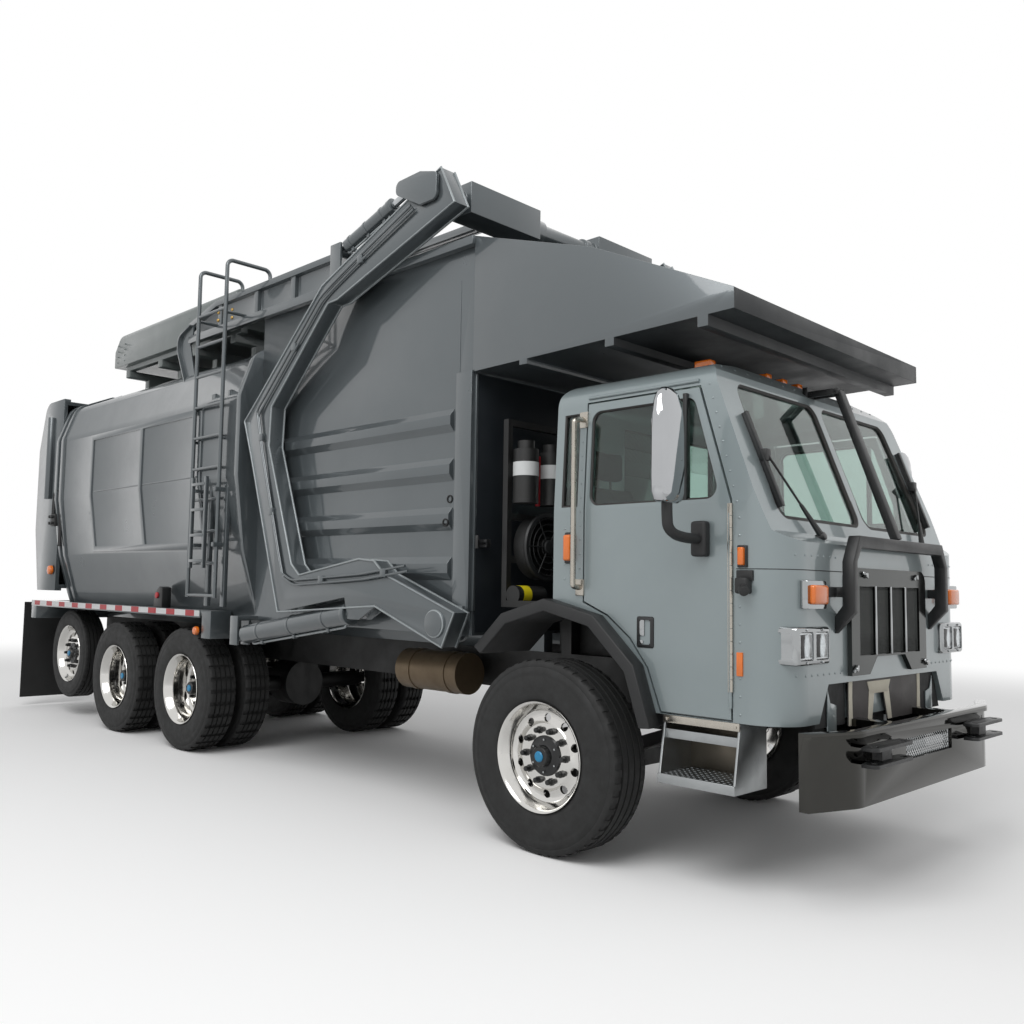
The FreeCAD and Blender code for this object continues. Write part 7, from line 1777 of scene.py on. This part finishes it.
@dataclass
class RackTrim(Assembly):
    """Labels, bands, the fan's ring and the mesh of the rack behind the cab."""

    canisters: Pair = (-0.922, -0.692)
    gauge: Slab = Slab((-0.395, -0.822, 1.95), (-0.370, -0.800, 2.26), 0.003)
    strainer: Triple = (-0.405, -0.955, 1.405)
    fan: Triple = (-0.372, -0.740, 1.700)
    fan_wires: tuple[float, ...] = (0.06, 0.10, 0.14, 0.175)
    lever: tuple[Slab | Bar, ...] = (
        Bar((-0.59, -1.02, 1.715), (-0.59, -1.13, 1.715), 0.010, sides=10, bevel=0.002),
        Bar((-0.59, -1.125, 1.680), (-0.59, -1.125, 1.760), 0.012, sides=12, bevel=0.004),
        Slab((-0.64, -1.06, 1.69), (-0.575, -1.02, 1.74), 0.004))

    def build(self) -> None:
        """Build the rack's fittings."""
        labels = [self.sleeve(0.0795, 0.0025, 0.085, at(-0.382, y, 2.125), UP, 32) for y in self.canisters]
        self.shop.finish(Bench.joined(*labels), "canister_labels", LABEL_WHITE)
        self.shop.finish(self.gauge.build(), "gauge_strip", TAPE_RED)
        self.shop.finish(self.sleeve(0.0565, 0.0025, 0.07, at(*self.strainer), LEFT, 28), "strainer_band", BAND_YELLOW)
        self.add_fan()
        mesh = Bench.lattice(at(-0.075, -0.98, 2.26), LEFT * 1.96, UP * 0.20, (40, 6), 0.004)
        self.shop.finish(mesh, "rack_mesh", RACK_COAT, smooth=20.0)
        self.shop.finish(Bench.made(*self.lever), "wall_lever", POWDER_COAT)

    @staticmethod
    def sleeve(radius: float, thick: float, length: float, centre: Vector, axis: Vector, steps: int
               ) -> Piece:
        """Wrap a thin sleeve round an axis, from a point on it."""
        inner = radius - thick
        return Bench.spun([(radius, 0.0), (radius, length), (inner, length), (inner, 0.0)], centre, axis, steps)

    def add_fan(self) -> None:
        """Build the fan's shroud ring with its wire guard."""
        centre = at(*self.fan)
        rings = [Bench.spun([(0.207, 0.0), (0.214, 0.012), (0.207, 0.024), (0.186, 0.026), (0.184, 0.0)],
                            centre, AHEAD, 48)]
        rings += [Bench.spun([(radius, 0.018), (radius + 0.004, 0.021), (radius, 0.024), (radius - 0.004, 0.021)],
                             centre, AHEAD, 40) for radius in self.fan_wires]
        hub = centre + AHEAD * 0.022
        for turn in range(6):
            way = Vector((0.0, math.cos(turn * math.pi / 3), math.sin(turn * math.pi / 3)))
            rings.append(Bench.rod(hub, hub + way * 0.19, 0.004, sides=8))
        rings.append(Bench.rod(centre, centre + AHEAD * 0.037, 0.045, sides=24, bevel=0.004))
        self.shop.finish(Bench.joined(*rings), "fan_ring", MOULDED_BLACK)


# The arm's outline and the route of its lines, as shares of the arm's reach back and its rise.
ARM_OUTLINE = (
    (-0.0748, 0.0253), (-0.0248, -0.0502), (0.253, 0.0325), (0.7546, 0.0061), (0.9165, 0.4263), (0.9664, 0.5426),
    (0.859, 0.6152), (0.5091, 0.8602), (-0.0503, 1.0376), (-0.1011, 0.9436), (0.4281, 0.81), (0.4779, 0.8085),
    (0.7979, 0.5676), (0.8116, 0.4595), (0.6761, 0.1333), (0.6322, 0.1044), (0.3263, 0.1441), (0.2551, 0.1391),
    (0.2104, 0.1084))
ARM_ROUTE = ((0.10, 0.115), (0.30, 0.095), (0.655, 0.078), (0.715, 0.10), (0.838, 0.445), (0.866, 0.553),
             (0.812, 0.590), (0.487, 0.826), (0.06, 0.962))
ARM_CLAMPS = ((0.20, 0.105), (0.50, 0.087), (0.780, 0.27), (0.845, 0.48), (0.65, 0.71), (0.30, 0.884))


@dataclass
class ArmTrim(Assembly):
    """Bosses, edge strips and clamped lines on the lifting arms."""

    pivot: Pair = (-0.780, 1.220)
    tip: Pair = (-0.922, 3.988)
    reach: float = 2.294
    rise: float = 2.768
    y: float = -1.285
    inner_y: float = -1.165
    rim: float = 0.0085
    line: float = 0.0085
    line_gap: float = 0.012
    bend_share: float = 0.85

    def build(self) -> None:
        """Build the arms' fittings."""
        bosses = [Bench.spun(
            [(radius, -0.004), (radius, 0.012), (radius - 0.006, 0.016), (radius - 0.026, 0.016),
             (radius - 0.030, 0.010), (radius - 0.030, -0.004)], at(x, self.y, z), -LEFT, 40)
            for (x, z), radius in ((self.pivot, 0.085), (self.tip, 0.080))]
        # The bosses take the pale finish that paints the edges' highlight.
        self.shop.both(Bench.joined(*bosses), "arm_bosses", ARM_EDGE_HIGHLIGHT, "arms")
        collar = Bench.spun(
            [(0.040, 0.0), (0.115, 0.0), (0.118, 0.004), (0.118, 0.030), (0.100, 0.034), (0.100, 0.058),
             (0.112, 0.062), (0.112, 0.080), (0.040, 0.080)], at(self.pivot[0], -1.082, self.pivot[1]), -LEFT, 40)
        self.shop.both(collar, "pivot_collars", BODY_ENAMEL)
        self.add_edges()
        self.add_lines()

    def on_arm(self, back: float, up: float, proud: float = 0.0) -> Vector:
        """Give a place on or off the arm's outer face by its shares of the arm's reach back and its rise."""
        lean = (self.tip[0] - self.pivot[0]) * up
        return at(self.pivot[0] - back * self.reach + lean, self.y - proud, self.pivot[1] + up * self.rise)

    def add_edges(self) -> None:
        """Run thin rims round the arm's two faces, in a pale finish that paints the highlight along their edges."""
        near = [self.on_arm(*corner) for corner in ARM_OUTLINE]
        far = [Vector((point.x, self.inner_y, point.z)) for point in near]
        rims = [Bench.tube(points, self.rim, round_corners=False, closed=True) for points in (near, far)]
        # The rims are painted highlight: pale enamel along the arm's edges.
        self.shop.both(Bench.joined(*rims), "arm_rims", ARM_EDGE_HIGHLIGHT, "arms")

    def add_lines(self) -> None:
        """Clamp the rigid hydraulic lines along the arm's face."""
        parts = []
        for shift in (0.0, self.line_gap):
            points: list[Vector] = []
            for (back, up), (next_back, next_up) in zip(ARM_ROUTE, ARM_ROUTE[1:]):
                for share in (0.0, self.bend_share):
                    points.append(self.on_arm(back + (next_back - back) * share + shift,
                                              up + (next_up - up) * share + shift, 0.016))
            back, up = ARM_ROUTE[-1]
            points.append(self.on_arm(back + shift, up + shift, 0.016))
            parts.append(Bench.tube(points, self.line))
        for back, up in ARM_CLAMPS:
            spot = self.on_arm(back + self.line_gap / 2, up + self.line_gap / 2)
            parts.append(Bench.block(spot - Vector((0.028, 0.026, 0.028)), spot + Vector((0.028, 0.004, 0.028)), 0.006))
        self.shop.both(Bench.joined(*parts), "arm_lines", BODY_ENAMEL, "arms")


# Seats


@dataclass
class Seats(Assembly):
    """The two cab seats: stuffed cushions, backs and head rests on their frames."""

    y: float = -0.790
    half: float = 0.228
    head_half: float = 0.13
    cushion: Pair = (0.200, 0.650)
    voxel: float = 0.010
    cap: float = 0.024
    pressure: float = 4.0
    frames: int = 20
    welt_heights: Pair = (1.478, 1.522)
    welt_out: float = 0.012
    welt_radius: float = 0.0035

    def build(self) -> None:
        """Build both seats."""
        low, high = self.y - self.half, self.y + self.half
        rear, front = self.cushion
        forms = (
            Slab((rear, low, 1.455), (front, high, 1.540), 0.030, 3),
            Slab((0.085, low, 1.560), (0.175, high, 2.050), 0.030, 3),
            Slab((0.090, self.y - self.head_half, 2.075), (0.165, self.y + self.head_half, 2.240), 0.026, 3))
        pads = [self.stuffed(form.build()) for form in forms]
        for name, pad in zip(("cushion", "back", "head"), pads):
            for side, piece in zip(Side, (pad, Bench.mirrored(pad))):
                replaces = ("seats",) if (name, side) == ("cushion", Side.RIGHT) else ()
                self.shop.finish(piece, f"seat_{name}_{side.value}", SEAT_CLOTH, "root", replaces, 60.0)
        welts = Bench.joined(*[self.welt(z) for z in self.welt_heights])
        frame = Bench.made(
            Slab((0.215, low + 0.02, 1.390), (0.635, high - 0.02, 1.452), 0.010),
            Slab((0.060, low + 0.03, 1.440), (0.090, high - 0.03, 2.000), 0.008),
            *[Bar((0.115, self.y + y, 2.02), (0.115, self.y + y, 2.10), 0.007) for y in (-0.06, 0.06)])
        self.shop.both(frame, "seat_frames", POWDER_COAT)
        self.shop.both(welts, "seat_welts", SEAT_CLOTH)

    def welt(self, z: float) -> Piece:
        """Run a sewn welt round the cushion at one height."""
        (rear, front), out = self.cushion, self.welt_out
        low, high = self.y - self.half - out, self.y + self.half + out
        ring = [at(rear - out, low, z), at(front + out, low, z), at(front + out, high, z), at(rear - out, high, z)]
        points = [first.lerp(second, share) for first, second in zip(ring, ring[1:] + ring[:1])
                  for share in (0.12, 0.5, 0.88)]
        return Bench.tube(points, self.welt_radius, closed=True)

    def stuffed(self, part: Piece) -> Piece:
        """Blow a closed form up as its stuffing would, by a cloth simulation with pressure.

        Args:
            part: The plain form, a little smaller than the finished pad.

        Returns:
            The crowned pad.
        """
        Bench.select(part)
        remesh = part.modifiers.new("weave", "REMESH")
        remesh.mode, remesh.voxel_size = "VOXEL", self.voxel
        bpy.ops.object.modifier_apply(modifier=remesh.name)
        before = [vertex.co.copy() for vertex in part.data.vertices]
        cloth = part.modifiers.new("stuffing", "CLOTH")
        cloth.settings.use_pressure = True
        cloth.settings.uniform_pressure_force = self.pressure
        cloth.settings.effector_weights.gravity = 0.0
        cloth.settings.quality = 4
        scene = bpy.context.scene
        for frame in range(1, self.frames + 1):
            scene.frame_set(frame)
        bpy.ops.object.modifier_apply(modifier=cloth.name)
        scene.frame_set(1)
        for vertex, start in zip(part.data.vertices, before):
            move = vertex.co - start
            if move.length > self.cap:
                vertex.co = start + move * (self.cap / move.length)
        Bench.select(part)
        smooth = part.modifiers.new("finish", "SUBSURF")
        smooth.levels = smooth.render_levels = 1
        bpy.ops.object.modifier_apply(modifier=smooth.name)
        return part


@dataclass
class Studio:
    """A plain pale floor, soft lamps and the photograph's camera."""

    sky: float = 0.62
    bounce: str = "8c8c8c"
    key_place: Triple = (AXLE_X + 2.0, -9.0, 11.0)
    key_aim: Triple = (0.5, 0.0, 1.5)
    key_size: float = 9.0
    key_power: float = 900.0
    floor_radius: float = 80.0
    fade: Pair = (9.0, 17.0)
    camera_place: Triple = (AXLE_X + 3.5077223, -5.17268202, 1.4432434)
    right: Triple = (0.69270475, 0.72096888, 0.01907899)
    up: Triple = (0.04459386, -0.06921877, 0.99660431)
    forward: Triple = (-0.71984132, 0.68950173, 0.08009895)
    sensor: float = 36.0
    lens: float = 33.3194
    shift: Pair = (0.04769, -0.00082)
    clip_end: float = 300.0

    def build(self) -> None:
        """Set up the floor, the world, the lamps and the camera."""
        self.set_floor()
        self.set_world()
        self.set_lamps()
        self.set_camera()
        bpy.context.scene.view_settings.view_transform = "Standard"

    def set_floor(self) -> None:
        """Lay a matt white floor that turns into the plain background far out."""
        bpy.ops.mesh.primitive_circle_add(vertices=96, radius=self.floor_radius, fill_type="NGON")
        floor = bpy.context.object
        floor.name = "floor"
        material = bpy.data.materials.new("matt white floor")
        material.use_nodes = True
        tree = material.node_tree
        tree.nodes.clear()
        output = add_node(tree, "ShaderNodeOutputMaterial")
        place = add_node(tree, "ShaderNodeTexCoord").outputs["Object"]
        reach = add_node(tree, "ShaderNodeVectorMath", {"operation": "LENGTH"}, {"Vector": place})
        start, end = self.fade
        fade = add_node(
            tree, "ShaderNodeMapRange", {"From Min": start, "From Max": end, "interpolation_type": "SMOOTHSTEP"},
            {"Value": reach.outputs["Value"]})
        path = add_node(tree, "ShaderNodeLightPath")
        shade = add_node(
            tree, "ShaderNodeMixRGB", {"Color1": linear("fafafa"), "Color2": linear(self.bounce)},
            {"Fac": path.outputs["Is Diffuse Ray"]})
        matt = add_node(tree, "ShaderNodeBsdfDiffuse", None, {"Color": shade.outputs["Color"]})
        plain = add_node(tree, "ShaderNodeEmission", {"Color": (1.0, 1.0, 1.0, 1.0), "Strength": 1.0})
        mixed = add_node(
            tree, "ShaderNodeMixShader", None,
            {"Fac": fade.outputs["Result"], "Shader": matt.outputs["BSDF"]})
        tree.links.new(plain.outputs["Emission"], mixed.inputs[2])
        tree.links.new(mixed.outputs["Shader"], output.inputs["Surface"])
        floor.data.materials.append(material)
        floor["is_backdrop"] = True

    def set_world(self) -> None:
        """Light all round by a soft even sky, seen and mirrored as plain white."""
        world = bpy.data.worlds.new("studio")
        bpy.context.scene.world = world
        world.use_nodes = True
        tree = world.node_tree
        tree.nodes.clear()
        output = add_node(tree, "ShaderNodeOutputWorld")
        path = add_node(tree, "ShaderNodeLightPath")
        seen = add_node(
            tree, "ShaderNodeMath", {"operation": "MAXIMUM"},
            {"Value": path.outputs["Is Camera Ray"]})
        tree.links.new(path.outputs["Is Glossy Ray"], seen.inputs[1])
        clear = add_node(tree, "ShaderNodeMath", {"operation": "MAXIMUM"}, {"Value": seen.outputs["Value"]})
        tree.links.new(path.outputs["Is Transmission Ray"], clear.inputs[1])
        strength = add_node(
            tree, "ShaderNodeMapRange", {"To Min": self.sky, "To Max": 1.0}, {"Value": clear.outputs["Value"]})
        sky = add_node(
            tree, "ShaderNodeBackground", {"Color": (1.0, 1.0, 1.0, 1.0)}, {"Strength": strength.outputs["Result"]})
        tree.links.new(sky.outputs["Background"], output.inputs["Surface"])

    def set_lamps(self) -> None:
        """Hang one large soft lamp high over the near side."""
        bpy.ops.object.light_add(type="AREA", location=self.key_place)
        key = bpy.context.object
        key.name = "key"
        key.data.shape = "DISK"
        key.data.size = self.key_size
        key.data.energy = self.key_power
        aim = Vector(self.key_aim) - key.location
        key.rotation_euler = aim.to_track_quat("-Z", "Y").to_euler()

    def set_camera(self) -> None:
        """Place the camera where the photograph was taken from."""
        bpy.ops.object.camera_add()
        camera = bpy.context.object
        camera.name = "camera"
        turn = Matrix((self.right, self.up, [-value for value in self.forward])).transposed()
        camera.matrix_world = Matrix.Translation(self.camera_place) @ turn.to_4x4()
        camera.data.sensor_width = self.sensor
        camera.data.lens = self.lens
        camera.data.shift_x, camera.data.shift_y = self.shift
        camera.data.clip_end = self.clip_end
        bpy.context.scene.camera = camera


def main() -> None:
    """Build the whole scene, in order."""
    logging.basicConfig(level=logging.INFO, format="%(name)s: %(message)s")
    shop = Shop()
    shop.dress_nodes()
    for node, (finish, body, width) in SOFTENED.items():
        shop.soften(node, finish, body, width)
    visor = shop.soften("canopy", BODY_ENAMEL, "root", 0.005)
    visor_start = at(VISOR_X, 0.0, 0.0).x
    shop.tint(visor, CANOPY_BLACK, lambda place: place.x > visor_start and abs(place.y) < VISOR_HALF_WIDTH)
    for size in WHEEL_SIZES:
        Wheel(shop, size).build()
    for kind in (CabSkin, CabFace, Lamps, Mirrors, BodyTrim, StepTrim, TailTrim, CylinderTrim, RackTrim, ArmTrim,
                 Seats):
        kind(shop).build()
    Studio().build()
    sizes = {"cad": [list(map(float, corner)) for corner in shop.box],
             "visual": [list(map(float, corner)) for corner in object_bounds()]}


if __name__ == "__main__":
    main()
